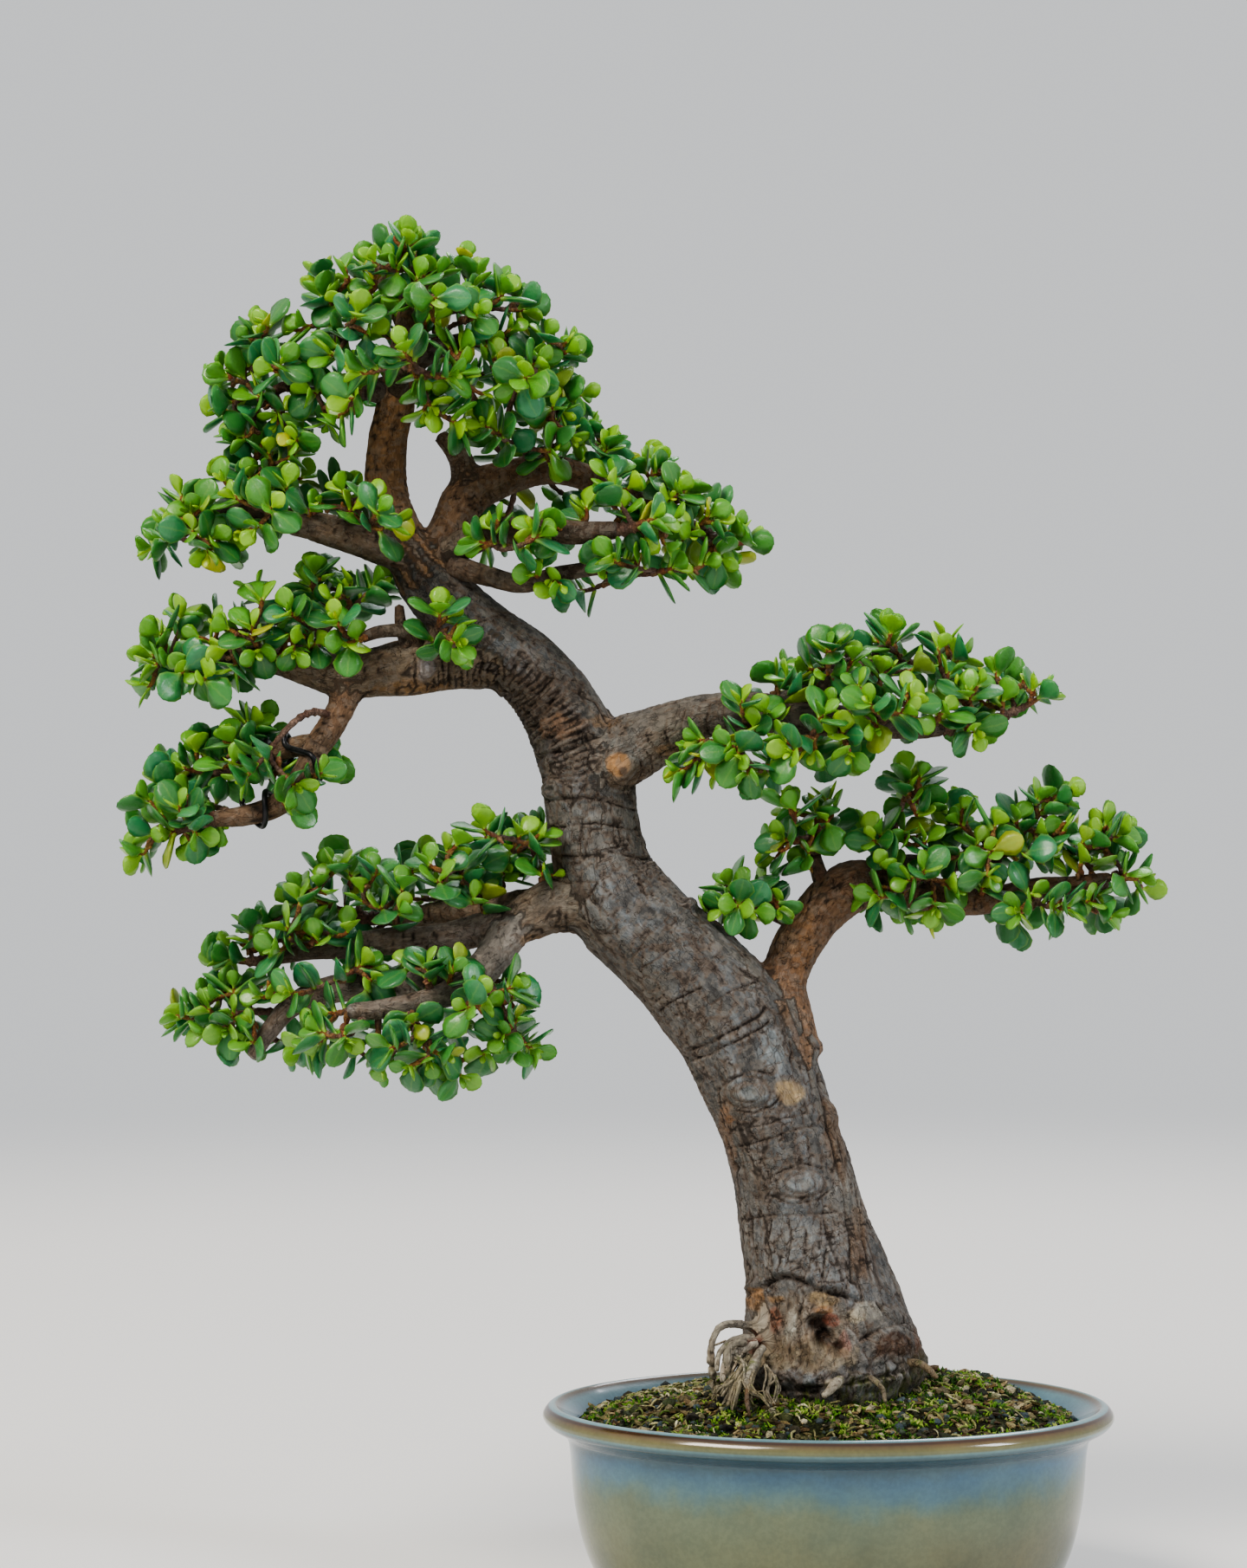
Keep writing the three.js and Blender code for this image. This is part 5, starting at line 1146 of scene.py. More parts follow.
leafLook = {
    "seed": 4.7,
    "stemRadius": 1.5,
    "twigRadius": 0.85,
    "length": 14.5,  # of the longest grown leaf
    "width": 0.76,
    "roundWidth": 0.84,
    "thickness": 0.15,
    "leastThickness": 1.4,
    "nodeLength": 1.7,
    "stepLength": 20,
    "clearance": 0.5,
    "extraClearance": 0.06,
    "mainFacing": 0.4,  # how far the leaves turn their faces outwards
    "facing": 1.2,  # and how far the further ones do
    "fillShare": 0.62,  # of the front's rosettes that have another one beside and behind them
    "backShare": 0.75,  # of the front's rosettes that the back has too
    "backSpread": 9,
    "pairsBelow": 3,
    "tries": 4,  # each smaller and steeper, for a leaf that touches something
    "roughness": 0.34,
    "ages": [(0.0, "9ac232"), (0.25, "7cb02f"), (0.5, "5c9a2f"), (0.75, "428230"), (1.0, "327036")],
}


def draw(*keys):
    # a repeatable value from 0 to 1 for each set of whole numbers
    angle = leafLook["seed"]
    for key, factor in zip(keys, (12.9898, 78.233, 37.719, 51.137)):
        angle = angle + key * factor
    value = math.sin(angle) * 43758.5453
    return value - math.floor(value)


# what has grown so far: straight lengths of wood, and leaves
rods = {"start": np.empty((0, 3)), "line": np.empty((0, 3)), "thick": np.empty((0, 2)),
        "owner": np.empty(0, int)}
leafKeys = ("base", "axis", "side", "normal", "size", "points")
leaves = {key: [] for key in (*leafKeys, "tone")}
leafArrays = {}
bladeRows = ((0.2, 0.2), (0.4, 0.42), (0.6, 0.5), (0.8, 0.46), (1, 0.12))
blade = np.array([(u, v) for u, s in bladeRows for v in (-s, 0, s)])


def addRods(points, radii, owner):
    points, radii = np.array(points), np.array(radii, float)
    fresh = {"start": points[:-1], "line": np.diff(points, axis=0),
             "thick": np.stack([radii[:-1], radii[1:]], 1), "owner": np.full(len(points) - 1, owner)}
    for key, rows in fresh.items():
        rods[key] = np.concatenate([rods[key], rows])


def rodsNear(middle, reach, owner=None):
    near = lengths(rods["start"] - middle) < reach + lengths(rods["line"]) + rods["thick"].max(1) + 3
    return near if owner is None else near & (rods["owner"] != owner)


def rodGaps(points, chosen):
    start, line, thick = rods["start"][chosen], rods["line"][chosen], rods["thick"][chosen]
    if not len(start):
        return np.full((len(points), 1), 1e9)
    offset = points[:, None] - start
    share = np.clip((offset * line).sum(2) / (line ** 2).sum(1), 0, 1)
    away = np.linalg.norm(offset - share[..., None] * line, axis=2)
    return away - mix(thick[:, 0], thick[:, 1], share)


def leafRows():
    # the leaves so far as arrays, made again only when some were added
    if leafArrays.get("count") != len(leaves["base"]):
        leafArrays.update({key: np.array(leaves[key]) for key in leafKeys})
        leafArrays["count"] = len(leaves["base"])
    return leafArrays


def insideLeaves(points, rows, chosen, margin):
    # which of the points (P) lie inside which of the chosen leaves (C)
    offset = points[:, None] - rows["base"][chosen]
    length, width, thick = rows["size"][chosen].T
    half = length / 2
    u = ((offset * rows["axis"][chosen]).sum(2) - half) / (half + margin)
    v = (offset * rows["side"][chosen]).sum(2) / (width / 2 + margin)
    w = (offset * rows["normal"][chosen]).sum(2) / (thick / 2 + margin)
    return u * u + v * v + w * w < 1


def stationsAlong(points):
    steps = len(points) - 1
    total = lengths(np.diff(points, axis=0)).sum()
    leafy = 2 * leafLook["nodeLength"] / total
    count = max(1, math.floor((1 - leafy) * total / leafLook["stepLength"] + 0.5))
    shares = [i * (1 - leafy) / count for i in range(count)]
    shares += [1 - pair * leafLook["nodeLength"] / total for pair in (2, 1, 0)]
    made = []
    for share in shares:
        i = min(math.floor(share * steps), steps - 1)
        made.append(mix(points[i], points[i + 1], share * steps - i))
    return np.array(made)


def isBlocked(line, owner, free, extra):
    shares = np.arange(11)[:, None] / 10
    points = (line[:-1, None] + (line[1:] - line[:-1])[:, None] * shares).reshape(-1, 3)
    points = points[lengths(points - line[0]) >= free]
    if not len(points):
        return False
    middle = points.mean(0)
    reach = lengths(points - middle).max()
    room = leafLook["twigRadius"] + leafLook["clearance"]
    near = rodsNear(middle, reach + room, None if extra else owner)
    if (rodGaps(points, near) < (0.3 if extra else room)).any():
        return True
    if not extra:
        return False
    rows = leafRows()
    near = np.flatnonzero(lengths(rows["base"] - middle) < reach + 18)
    return len(near) > 0 and insideLeaves(points, rows, near, 0.25).any()


def shootLine(start, direction, tip, finish, owner, free, tries=13, extra=False):
    # a shoot that meets something on its way is bent sideways, a little more at each try
    span = np.linalg.norm(tip - start)
    straight = unit(tip - start)
    side = squareTo(np.array([0.2, -1, 0.3]), straight)
    over = np.cross(straight, side)
    t = np.arange(13)[:, None] / 12
    for attempt in range(tries):
        turn = attempt * goldenTurn
        bend = span * (0.12 + 0.03 * attempt) if attempt else 0
        aside = side * (bend * math.cos(turn)) + over * (bend * math.sin(turn))
        leaving = start + direction * (span * 0.35) + aside
        arriving = tip - finish * (span * 0.35) + aside
        points = (start * (1 - t) ** 3 + leaving * (3 * (1 - t) ** 2 * t) + arriving * (3 * (1 - t) * t * t)
                  + tip * t ** 3)
        line = stationsAlong(points)
        if not isBlocked(line, owner, free, extra):
            return line, points
    return None


def forksOn(line):
    forks = []
    for i in range(len(line) - 3):
        direction = unit(line[i + 1] - line[i])
        share = 0.0 if i else 0.3
        while share < 1:
            forks.append((mix(line[i], line[i + 1], share), direction, 0.0))
            share += 0.2
    return forks


def socketFor(name, place, tips):
    point, axis, radius = placeOn(name, place)
    if place == len(limbs[name][0]) - 1:
        return point + axis * 0.3, axis, 0.85 * radius, radius
    wanted = unit(tips.mean(0) - point)
    along = min(max(wanted @ axis, -0.5), 0.5)
    direction = unit(squareTo(wanted, axis) + axis * along)
    covered = 0.5 * radius * math.hypot(1, along)
    return point + direction * covered, direction, leafLook["stemRadius"], covered


def makeShoot(found, out, key, radius, owner, **more):
    return {"line": found[0], "curve": found[1], "out": out, "key": key, "radius": radius, "owner": owner,
            "stem": False, "start": None, "main": False, **more}


def growShoots(owner, name, place, *tips):
    # the first shoot runs from the socket to the farthest tip ahead of it, and the others fork from it
    tips = fromPhoto(tips)
    root, direction, radius, covered = socketFor(name, place, tips)
    ahead = [-(np.linalg.norm(tip - root) * (1.3 + unit(tip - root) @ direction)) for tip in tips]
    heart = (root + tips.sum(0)) / (len(tips) + 1)
    shoots = []
    for order, index in enumerate(np.argsort(ahead, kind="stable")):
        tip = tips[index]
        out = unit(tip - heart)
        forks = [fork for shoot in shoots for fork in forksOn(shoot["line"])]
        forks = forks if order else [(root, direction, 0.0)]
        forks.sort(key=lambda fork: np.linalg.norm(tip - fork[0]) * (3 - unit(tip - fork[0]) @ fork[1]))
        free = 3.5 + (0 if order else covered)
        for point, heading, _ in forks[:4]:
            finish = unit(unit(tip - point) + out + up * 0.8)
            found = shootLine(point, heading, tip, finish, owner, free)
            if found:
                first = {} if order else {"stem": True, "start": direction}
                shoots.append(makeShoot(found, out, len(shoots), 0.94 if order else radius, owner, main=True,
                                        **first))
                break
    for shoot in shoots:
        addRods(shoot["line"], np.full(len(shoot["line"]), leafLook["twigRadius"]), owner)
    return shoots


def leafAt(base, stem, roundWay, out, tilt, length, facing):
    axis = unit(stem * math.cos(tilt) + roundWay * math.sin(tilt) + out * 0.2 + up * 0.2 * facing)
    face = squareTo(stem, axis) + out * facing + up * 0.3
    width = leafLook["width"] if facing == leafLook["mainFacing"] else leafLook["roundWidth"]
    normal = squareTo(face, axis)
    side = np.cross(normal, axis)
    thickness = max(length * leafLook["thickness"], min(leafLook["leastThickness"], 0.24 * length))
    size = np.array([length, length * width, thickness])
    points = base + np.outer(blade[:, 0] * length, axis) + np.outer(blade[:, 1] * size[1], side)
    return {"base": base, "axis": axis, "side": side, "normal": normal, "size": size, "points": points}


def leafIsClear(leaf, twin, owner, clearance):
    rows = leafRows()
    length = leaf["size"][0]
    if len(rows["base"]):
        near = lengths(rows["base"] - leaf["base"]) < rows["size"][:, 0] + length
        if twin is not None:
            near[twin] = False
        near = np.flatnonzero(near)
        if len(near):
            if insideLeaves(leaf["points"], rows, near, clearance).any():
                return False
            mine = {key: value[None] for key, value in leaf.items()}
            if insideLeaves(rows["points"][near].reshape(-1, 3), mine, [0], clearance).any():
                return False
    near = rodsNear(leaf["base"], length)
    gaps = rodGaps(leaf["points"], near)
    if near.any():
        close = lengths(leaf["points"] - leaf["base"]) <= 0.3 * length
        gaps[np.ix_(close, rods["owner"][near] == owner)] = 1e9
    return not (gaps < clearance).any()


def addLeaf(leaf, age, pad):
    for key in leafKeys:
        leaves[key].append(leaf[key])
    leaves["tone"].append((age, pad))
    return len(leaves["base"]) - 1


def shootFrames(line, startDirection, turn):
    across = np.array([0.31, 1, 0.17])
    frames = []
    for i, point in enumerate(line):
        stem = unit(line[max(i, 1)] - line[max(i - 1, 0)])
        if i == 0 and startDirection is not None:
            stem = startDirection
        across = squareTo(across, stem)
        if i == 0:
            across = across * math.cos(turn) + np.cross(stem, across) * math.sin(turn)
            across = squareTo(across, stem)
        frames.append((point, stem, across, np.cross(stem, across)))
    return frames


def tryLeaf(shoot, twin, pad, age, base, stem, roundWay, tilt, length, facing, clearance,
            steeper=0, smaller=0):
    # a leaf is tried steeper and smaller while it touches something; gives its number, or else its twin's
    for attempt in range(leafLook["tries"] if smaller else 1):
        leaf = leafAt(base, stem, roundWay, shoot["out"], tilt - steeper * attempt,
                      length * (1 - smaller * attempt), facing)
        if leafIsClear(leaf, twin, shoot["owner"], clearance):
            return addLeaf(leaf, age, pad)
    return twin


def growPairs(shoot, index, pad):
    # the pairs that stand at the shoot's end, each at right angles to the one below
    line, key = shoot["line"], shoot["key"]
    frames = shootFrames(line, shoot["start"], 2 * math.pi * draw(index, key, 1))
    shoot["frames"] = frames
    facing, clearance = leafLook["facing"], leafLook["extraClearance"]
    if shoot["main"]:
        facing, clearance = leafLook["mainFacing"], leafLook["clearance"]
    for pair, sizes, tilts in ((0, (0.5, 0.72), (0.65, 0.9)), (1, (0.78, 1), (1.05, 1.35))):
        ring = len(line) - 2 - pair
        _, stem, *ways = frames[ring + 1]
        centre = mix(line[ring], line[ring + 1], 0.5)
        length = leafLook["length"] * mix(*sizes, draw(index, key, 2 + 2 * pair))
        tilt = mix(*tilts, draw(index, key, 9 + 2 * pair))
        twin = None
        for half in (1, -1):
            roundWay = ways[1 - pair] * half
            base = centre + roundWay * (leafLook["twigRadius"] / 2)
            twin = tryLeaf(shoot, twin, pad, 0.32 + 0.5 * pair, base, stem, roundWay, tilt, length, facing,
                           clearance, 0.16, 0.07)


def growMorePairs(shoot, index, pad):
    # a tiny new pair on the tip, and older pairs on the stem below
    key = shoot["key"]
    tip, stem, across, _ = shoot["frames"][-1]
    tilt, length = mix(0.35, 0.6, draw(index, key, 31)), mix(3.6, 6.2, draw(index, key, 33))
    twin = None
    for half in (1, -1):
        twin = tryLeaf(shoot, twin, pad, 0.05, tip - stem * 0.2, stem, across * half, tilt, length,
                       leafLook["mainFacing"], 0)
    curve = shoot["curve"][::-1]
    along = wayAlong(curve)
    for pair in range(leafLook["pairsBelow"]):
        down = 6.4 + 4.6 * pair + 1.5 * draw(index, key, 35 + pair)
        if down > along[-1] - 2.5:
            break
        centre, higher = [np.array([np.interp(at, along, curve[:, axis]) for axis in range(3)])
                          for at in (down, down - 1.5)]
        stem = unit(higher - centre)
        turned = squareTo(across, stem), np.cross(stem, squareTo(across, stem))
        tilt = mix(1.1, 1.5, draw(index, key, 60 + pair))
        twin = None
        for half in (1, -1):
            if draw(index, key, 40 + pair, half) < 0.12 + 0.12 * pair:
                continue
            roundWay = turned[pair % 2] * half
            length = leafLook["length"] * mix(0.72, 1.0, draw(index, key, 50 + 2 * pair + half))
            twin = tryLeaf(shoot, twin, pad, 1.0, centre + roundWay * 0.6, stem, roundWay, tilt, length,
                           leafLook["facing"], leafLook["extraClearance"], 0.17, 0.1)


def padOf(name):
    return next(pad for pad in padTable if name.startswith(pad))


def nearDepth(places, depths, px, py):
    # the depth at a pixel, from the tips near it, and how far the nearest one is
    away = lengths(places - (px, py))
    weight = 1 / (away + 8) ** 2
    return (weight * depths).sum() / weight.sum(), away.min()


def extraTips(pad, rosettes, backName, shoots):
    # depths for the photograph's other rosettes from the main shoots near them, and a matching back
    tips = np.array([shoot["line"][-1] for shoot in shoots])
    backs = np.array(sprayTable[backName][2:], float)
    tips = tips[tips[:, 1] < 12]
    places, depths = toPhoto(tips), tips[:, 1]
    made, taken = [], [tuple(place) for place in places]
    for i, (px, py) in enumerate(zip(rosettes[::2], rosettes[1::2])):
        if min(math.dist((px, py), place) for place in taken) >= 12:
            made.append((px, py, nearDepth(places, depths, px, py)[0] + mix(-5, 3, draw(i, len(pad), 71))))
            taken.append((px, py))
    for i, (px, py) in enumerate(taken):
        if draw(i, len(pad), 76) <= leafLook["fillShare"] * (1.5 if pad in ("crown", "shoulder") else 1):
            turn = 2 * math.pi * draw(i, len(pad), 77)
            px, py = px + 13 * math.cos(turn), py + 11 * math.sin(turn)
            made.append((px, py, nearDepth(places, depths, px, py)[0] + mix(-3, 14, draw(i, len(pad), 78))))
    spread = leafLook["backSpread"]
    for i, (px, py) in enumerate(taken):
        if draw(i, len(pad), 72) <= leafLook["backShare"]:
            px += mix(-spread, spread, draw(i, len(pad), 73))
            py += mix(-spread, spread, draw(i, len(pad), 74))
            depth, away = nearDepth(backs[:, :2], backs[:, 2], px, py)
            made.append((px, py, max(depth - 0.12 * away + mix(-9, 4, draw(i, len(pad), 75)), 6)))
    return fromPhoto(made)


def limbForks(names):
    forks = []
    for name in names:
        for place in np.arange(0.6, len(limbs[name][0]) - 1, 0.3):
            point, axis, radius = placeOn(name, place)
            if radius < 7.5:
                forks.append((point, axis, radius))
    return forks


def growExtras(pad, index, shoots):
    carriers, backName, rosettes = padTable[pad]
    tips = extraTips(pad, rosettes, backName, shoots)
    middle = np.mean([shoot["line"][-1] for shoot in shoots], axis=0)
    wood, made, owner = limbForks(carriers), [], 1000 + index
    forks = [fork for shoot in shoots for fork in forksOn(shoot["line"])]
    nearest = [min(np.linalg.norm(fork[0] - tip) for fork in forks + wood) for tip in tips]
    for order in np.argsort(nearest, kind="stable"):
        tip = tips[order]
        out = unit(tip - middle + np.array([0, 0, 4.0]))
        options = []
        for point, heading, radius in forks + wood:
            way = unit(tip - point)
            if radius:  # a shoot from a limb's side leaves it squarely
                heading = unit(squareTo(way, heading) + heading * 0.3)
            if np.linalg.norm(tip - point) > 6:
                options.append((np.linalg.norm(tip - point) * (3 - way @ heading), point, heading, radius))
        options.sort(key=lambda option: option[0])
        for _, point, heading, radius in options[:3]:
            finish = unit(unit(tip - point) + out + up * 0.8)
            found = shootLine(point, heading, tip, finish, owner, 2.2 + radius, 5, True)
            if found:
                made.append(makeShoot(found, out, len(made), 1.25 if radius else 0.95, owner))
                addRods(found[0], np.full(len(found[0]), leafLook["twigRadius"]), owner)
                forks += forksOn(found[0])
                break
    return made


wireLook = {"radius": 1.1, "standoff": 0.7, "sides": 14}


def coil(name, start, end, turns, startTurn):
    count = round(8 * turns)
    made = []
    for k in range(count + 1):
        point, axis, radius = placeOn(name, mix(start, end, k / count))
        upward = squareTo(up, axis)
        angle = -2 * math.pi * (startTurn + turns * k / count)
        reach = radius + wireLook["radius"] + wireLook["standoff"]
        made.append(point + upward * (reach * math.cos(angle))
                    + np.cross(axis, upward) * (reach * math.sin(angle)))
    return made


def wirePath():
    crossing, _, radius = placeOn("leftDropLower", 0.3)
    infront = crossing + front * (radius + wireLook["radius"] + 3 * wireLook["standoff"])
    return np.array([*coil("leftDropUpper", 2.4, 1, 2.25, 0), infront,
                     *coil("leftDropLower", 0.75, 3.1, 2.75, 0.25)])


def growTree():
    for index, limb in enumerate(limbs.values()):
        addRods(*limb, -1 - index)
    wire = wirePath()
    addRods(wire, np.full(len(wire), wireLook["radius"]), -100)
    sprays = [(name, growShoots(index, *row)) for index, (name, row) in enumerate(sprayTable.items())]
    for index, (name, shoots) in enumerate(sprays):
        for shoot in shoots:
            growPairs(shoot, index, padOf(name))
    print("main shoots:", sum(len(shoots) for _, shoots in sprays), "with", len(leaves["base"]), "leaves")
    shootsByPad = {pad: [] for pad in padTable}
    for index, (name, shoots) in enumerate(sprays):
        shootsByPad[padOf(name)] += [(index, shoot) for shoot in shoots]
    for order, pad in enumerate(padTable):
        extras = growExtras(pad, order, [shoot for _, shoot in shootsByPad[pad]])
        for shoot in extras:
            growPairs(shoot, 200 + order, pad)
        shootsByPad[pad] += [(200 + order, shoot) for shoot in extras]
    for pad, shoots in shootsByPad.items():
        for index, shoot in shoots:
            growMorePairs(shoot, index, pad)
    count = sum(len(shoots) for shoots in shootsByPad.values())
    print("all shoots:", count, "with", len(leaves["base"]), "leaves")
    return shootsByPad


def leafTemplate(rows, ringSize=6):
    # rows of points round a thick blade: places along it, across it, and above or below its middle
    across = np.array([-1, -0.42, 0.42, 1, 0.42, -0.42])
    face = np.array([0, 1, 1, 0, -1, -1])
    alongs = np.array(rows)
    half = np.sin(math.pi * np.clip(alongs, 0, 1) ** 1.42) ** mix(0.95, 0.5, alongs)
    half = np.maximum(half, 0.12 * (1 - alongs))
    half[-1] = 0.3
    u = np.repeat(alongs, ringSize)
    v = np.tile(across, len(rows)) * np.repeat(half, ringSize)
    w = np.tile(face, len(rows)) * np.repeat(np.clip(1.15 - 0.75 * alongs ** 3, 0.1, 1), ringSize)
    w[-ringSize:] *= 0.45
    top = (len(rows) - 1) * ringSize
    caps = [[0, 1, 2, 3], [0, 3, 4, 5], [top + 3, top + 2, top + 1, top], [top + 5, top + 4, top + 3, top]]
    faces = np.vstack([ringFaces(len(rows) - 1, ringSize), caps])
    return u, v, w, np.tile(across, len(rows)), np.tile(face, len(rows)), faces


bigLeaf = leafTemplate([0.0, 0.14, 0.36, 0.6, 0.8, 0.92, 0.98, 1.0])
smallLeaf = leafTemplate([0.0, 0.25, 0.55, 0.85, 1.0])


def leafMesh(pad):
    points, quads, tones, places, start = [], [], [], [], 0
    for index, (age, owner) in enumerate(leaves["tone"]):
        if owner != pad:
            continue
        u, v, w, across, face, faces = smallLeaf if age < 0.1 else bigLeaf
        base, axis, side, normal = (leaves[key][index] for key in ("base", "axis", "side", "normal"))
        length, width, thickness = leaves["size"][index]
        chance = [draw(index, k, 91) for k in range(6)]
        width *= mix(0.94, 1.2, chance[0]) * (0.8 if age < 0.1 else 1)
        cup = mix(0.02, 0.12, chance[1]) * length * (1.3 - 0.5 * age)
        arch = mix(-0.1, 0.16, chance[2]) * length
        skew = mix(-0.05, 0.05, chance[3]) * length
        lift = 0.5 * thickness * w * mix(0.85, 1.1, chance[4]) + cup * v * v - arch * (u * u - 0.4 * u)
        lift -= 0.1 * thickness * (face > 0) * (np.abs(across) < 0.5)
        place = (base + np.outer(u * length, axis) + np.outer(v * width / 2 + skew * u * u, side)
                 + np.outer(lift, normal))
        points.append(place)
        quads.append(faces + start)
        tones.append(np.tile([age, chance[5], draw(index, 7, 93)], (len(u), 1)))
        places.append(np.column_stack([u, across, face]))
        start += len(u)
    return buildMesh(pad + "Leaves", np.vstack(points), [np.vstack(quads)],
                     {"leafTone": np.vstack(tones), "leafPlace": np.vstack(places)})


def twigMesh(pad, shoots):
    # knobbly twigs: a swelling at each old leaf joint, and a few dry leaf remnants
    parts, tones, places = [], [], []
    for index, shoot in shoots:
        radii = np.linspace(shoot["radius"], 0.75, len(shoot["curve"]))
        line, radii = smoothLine(shoot["curve"], radii, 1.6)
        along = wayAlong(line)
        left = along[-1] - along
        swell = 1 + 0.34 * bell((left % 3.9) - 1.6, 0.75) + 0.12 * np.sin(left * 1.9 + index)
        wide = radii * swell * (1.0 if shoot["stem"] else 1.08) * np.clip(0.55 + left / 6, 0.55, 1)
        part = tube(line, wide, 5, rounding=0.3)
        parts.append(part)
        young = np.repeat(1 - step(2, 11, left), 5)
        tones.append(np.concatenate([young, [young[0], 1]]))
        angles = np.tile(np.arange(5) * 1.257, len(line))
        shift = 37 * shoot["key"] + 11 * index
        flat = np.column_stack([np.cos(angles), np.sin(angles), np.repeat(along, 5) + shift])
        places.append(np.vstack([flat, flat[:1], flat[-1:]]))
        if draw(index, shoot["key"], 95) < 0.34 and along[-1] > 9:
            remnant = dryRemnant(line[len(line) // 2], index * 7 + shoot["key"])
            parts.append(remnant)
            tones.append(np.full(len(remnant[0]), 0.45))
            places.append(remnant[0] / 3)
    points, *faces = joinParts(parts)
    return buildMesh(pad + "Twigs", points, faces,
                     {"twigYouth": np.concatenate(tones), "barkPlace": np.vstack(places) * 0.001})


def dryRemnant(place, key):
    # a shrivelled leaf end that stayed on the twig
    way = unit(np.array([draw(key, k, 97) - 0.5 for k in range(3)]) + 0.01)
    line = np.array([place + way * reach for reach in (0.4, 1.5, 2.6, 3.4)])
    line[1:] += np.array([[draw(key, k, j, 98) - 0.5 for k in range(3)] for j in range(3)]) * 1.3
    return tube(line, [0.7, 1.3, 1.1, 0.4], 5, firstSide=squareTo(np.array([0.3, 0.2, 1.0]), way))


def makeLeafMaterial():
    material, tree, shader = newMaterial("leaf", leafLook["roughness"], 0.42, {
        "Coat Roughness": 0.22, "Coat IOR": 1.45, "Subsurface Weight": 0.1, "Subsurface Scale": 0.002,
        "Subsurface Radius": (0.4, 1.0, 0.15)})
    tone = splitNode(tree, attributeNode(tree, "leafTone")["Vector"])
    place = splitNode(tree, attributeNode(tree, "leafPlace")["Vector"])
    where = objectPlace(tree)
    age = plus(tree, tone[0], times(tree, less(tree, tone[1], 0.5), 0.5))
    colour = rampNode(tree, age, leafLook["ages"])
    cool, old = rangeNode(tree, tone[2], 0.62, 0.95), rangeNode(tree, tone[0], 0.5, 0.9)
    colour = wash(tree, colour, "3c8a62", times(tree, cool, old), 0.6)
    colour = wash(tree, colour, "b7b62c", rangeNode(tree, tone[2], 0.04, 0.01), 0.8)
    # painted shade: the lower pads' leaves are made darker and bluer
    colour = wash(tree, colour, "2f7048", rangeNode(tree, splitNode(tree, where)[2], 0.42, 0.2), 0.3)
    colour, soft = mottled(tree, colour, 0.8, where, 190.0, 0.25, (1.13, 1.1, 1.02), (0.82, 0.88, 0.9))
    # paler at the foot of the blade and along the edge, darker below
    colour = wash(tree, colour, "a2bd40", rangeNode(tree, place[0], 0.3, 0.0), 0.55)
    across = mathNode(tree, "ABSOLUTE", place[1])
    colour = wash(tree, colour, "98bd48", rangeNode(tree, across, 0.8, 1.0), 0.3)
    upper = rangeNode(tree, place[2], 0.3, 0.9)
    # painted highlight: a pale stripe down the middle of the blade's upper face
    colour = wash(tree, colour, "8fb54a", times(tree, rangeNode(tree, across, 0.13, 0.0), upper), 0.16)
    shine = mathNode(tree, "MULTIPLY_ADD", soft, 0.14, leafLook["roughness"] - 0.05)
    tree.links.new(shine, shader["Roughness"])
    tree.links.new(times(tree, upper, 0.4), shader["Coat Weight"])
    specks = mottle(tree, where, 900.0, 0.06, "000000", "ffffff")["Mask"]
    dress(tree, shader, colour, plus(tree, soft, times(tree, specks, 0.25)), 0.00018, 0.7)
    return material


def makeTwigMaterial():
    material, tree, shader = newMaterial("twig", 0.62, 0.35)
    where = objectPlace(tree)
    old = mottle(tree, where, 120.0, 0.15, "7d675a", "5a3f33")["Colour"]
    young = mottle(tree, where, 260.0, 0.2, "8a4a2e", "9a7c3c")["Colour"]
    base = blendColour(tree, attributeNode(tree, "twigYouth")["Fac"], old, young)
    net = cracks(tree, attributeNode(tree, "barkPlace")["Vector"], 900.0, 0.12, 0.0006)
    base = wash(tree, base, "2e1c15", net["Mask"], 0.6)
    base, flecks = mottled(tree, base, 0.7, where, 700.0, 0.1, (1.25, 1.2, 1.15), (0.65, 0.6, 0.58))
    dress(tree, shader, base, plus(tree, net["Height"], flecks), 0.0003)
    return material


def makeWireMaterial():
    material, tree, shader = newMaterial("blackWire", 0.38, 0.5, {"Metallic": 0.6})
    tone = mottle(tree, objectPlace(tree), 320.0, 0.2, "1b1c20", "2b2a2c")
    tree.links.new(mathNode(tree, "MULTIPLY_ADD", tone["Mask"], 0.15, 0.32), shader["Roughness"])
    dress(tree, shader, tone["Colour"], tone["Mask"], 0.00006)
    return material


def makeFoliage():
    leafMaterial, twigMaterial = makeLeafMaterial(), makeTwigMaterial()
    for pad, shoots in growTree().items():
        nodes = [name for name in sprayTable if padOf(name) == pad]
        addPiece(leafMesh(pad), leafMaterial, nodes)
        addPiece(twigMesh(pad, shoots), twigMaterial, nodes)
    line, radii = smoothLine(wirePath(), np.full(len(wirePath()), wireLook["radius"]), 0.9)
    points, *faces = tube(line, radii, wireLook["sides"])
    addPiece(buildMesh("bindingWire", points, faces), makeWireMaterial(), ["training_wire"])


makeFoliage()


# Pot: an oval lathe, drawn in by the same width all round

potLook = {
    "drawnIn": 25,  # how much the oval is narrower than long, at each side
    "segments": 176,
    "drainOffset": 45, "drainRadius": 8, "weepOffset": 75,
    "weep": (60, 8, 3),  # length, width and depth of the channels under the foot
    "roughness": 0.15, "coat": 0.5,
}
potProfile = [
    (0, 0), (78, 0), (85, 5), (91, 15), (95, 26), (98, 41), (99.8, 61.5), (102.8, 66.3), (107.8, 69.3),
    (110, 72.6), (108.5, 75.6), (106, 77), (103.5, 75.8), (97, 70.5), (94, 62), (91, 38), (83, 14), (74, 8),
    (0, 8)]
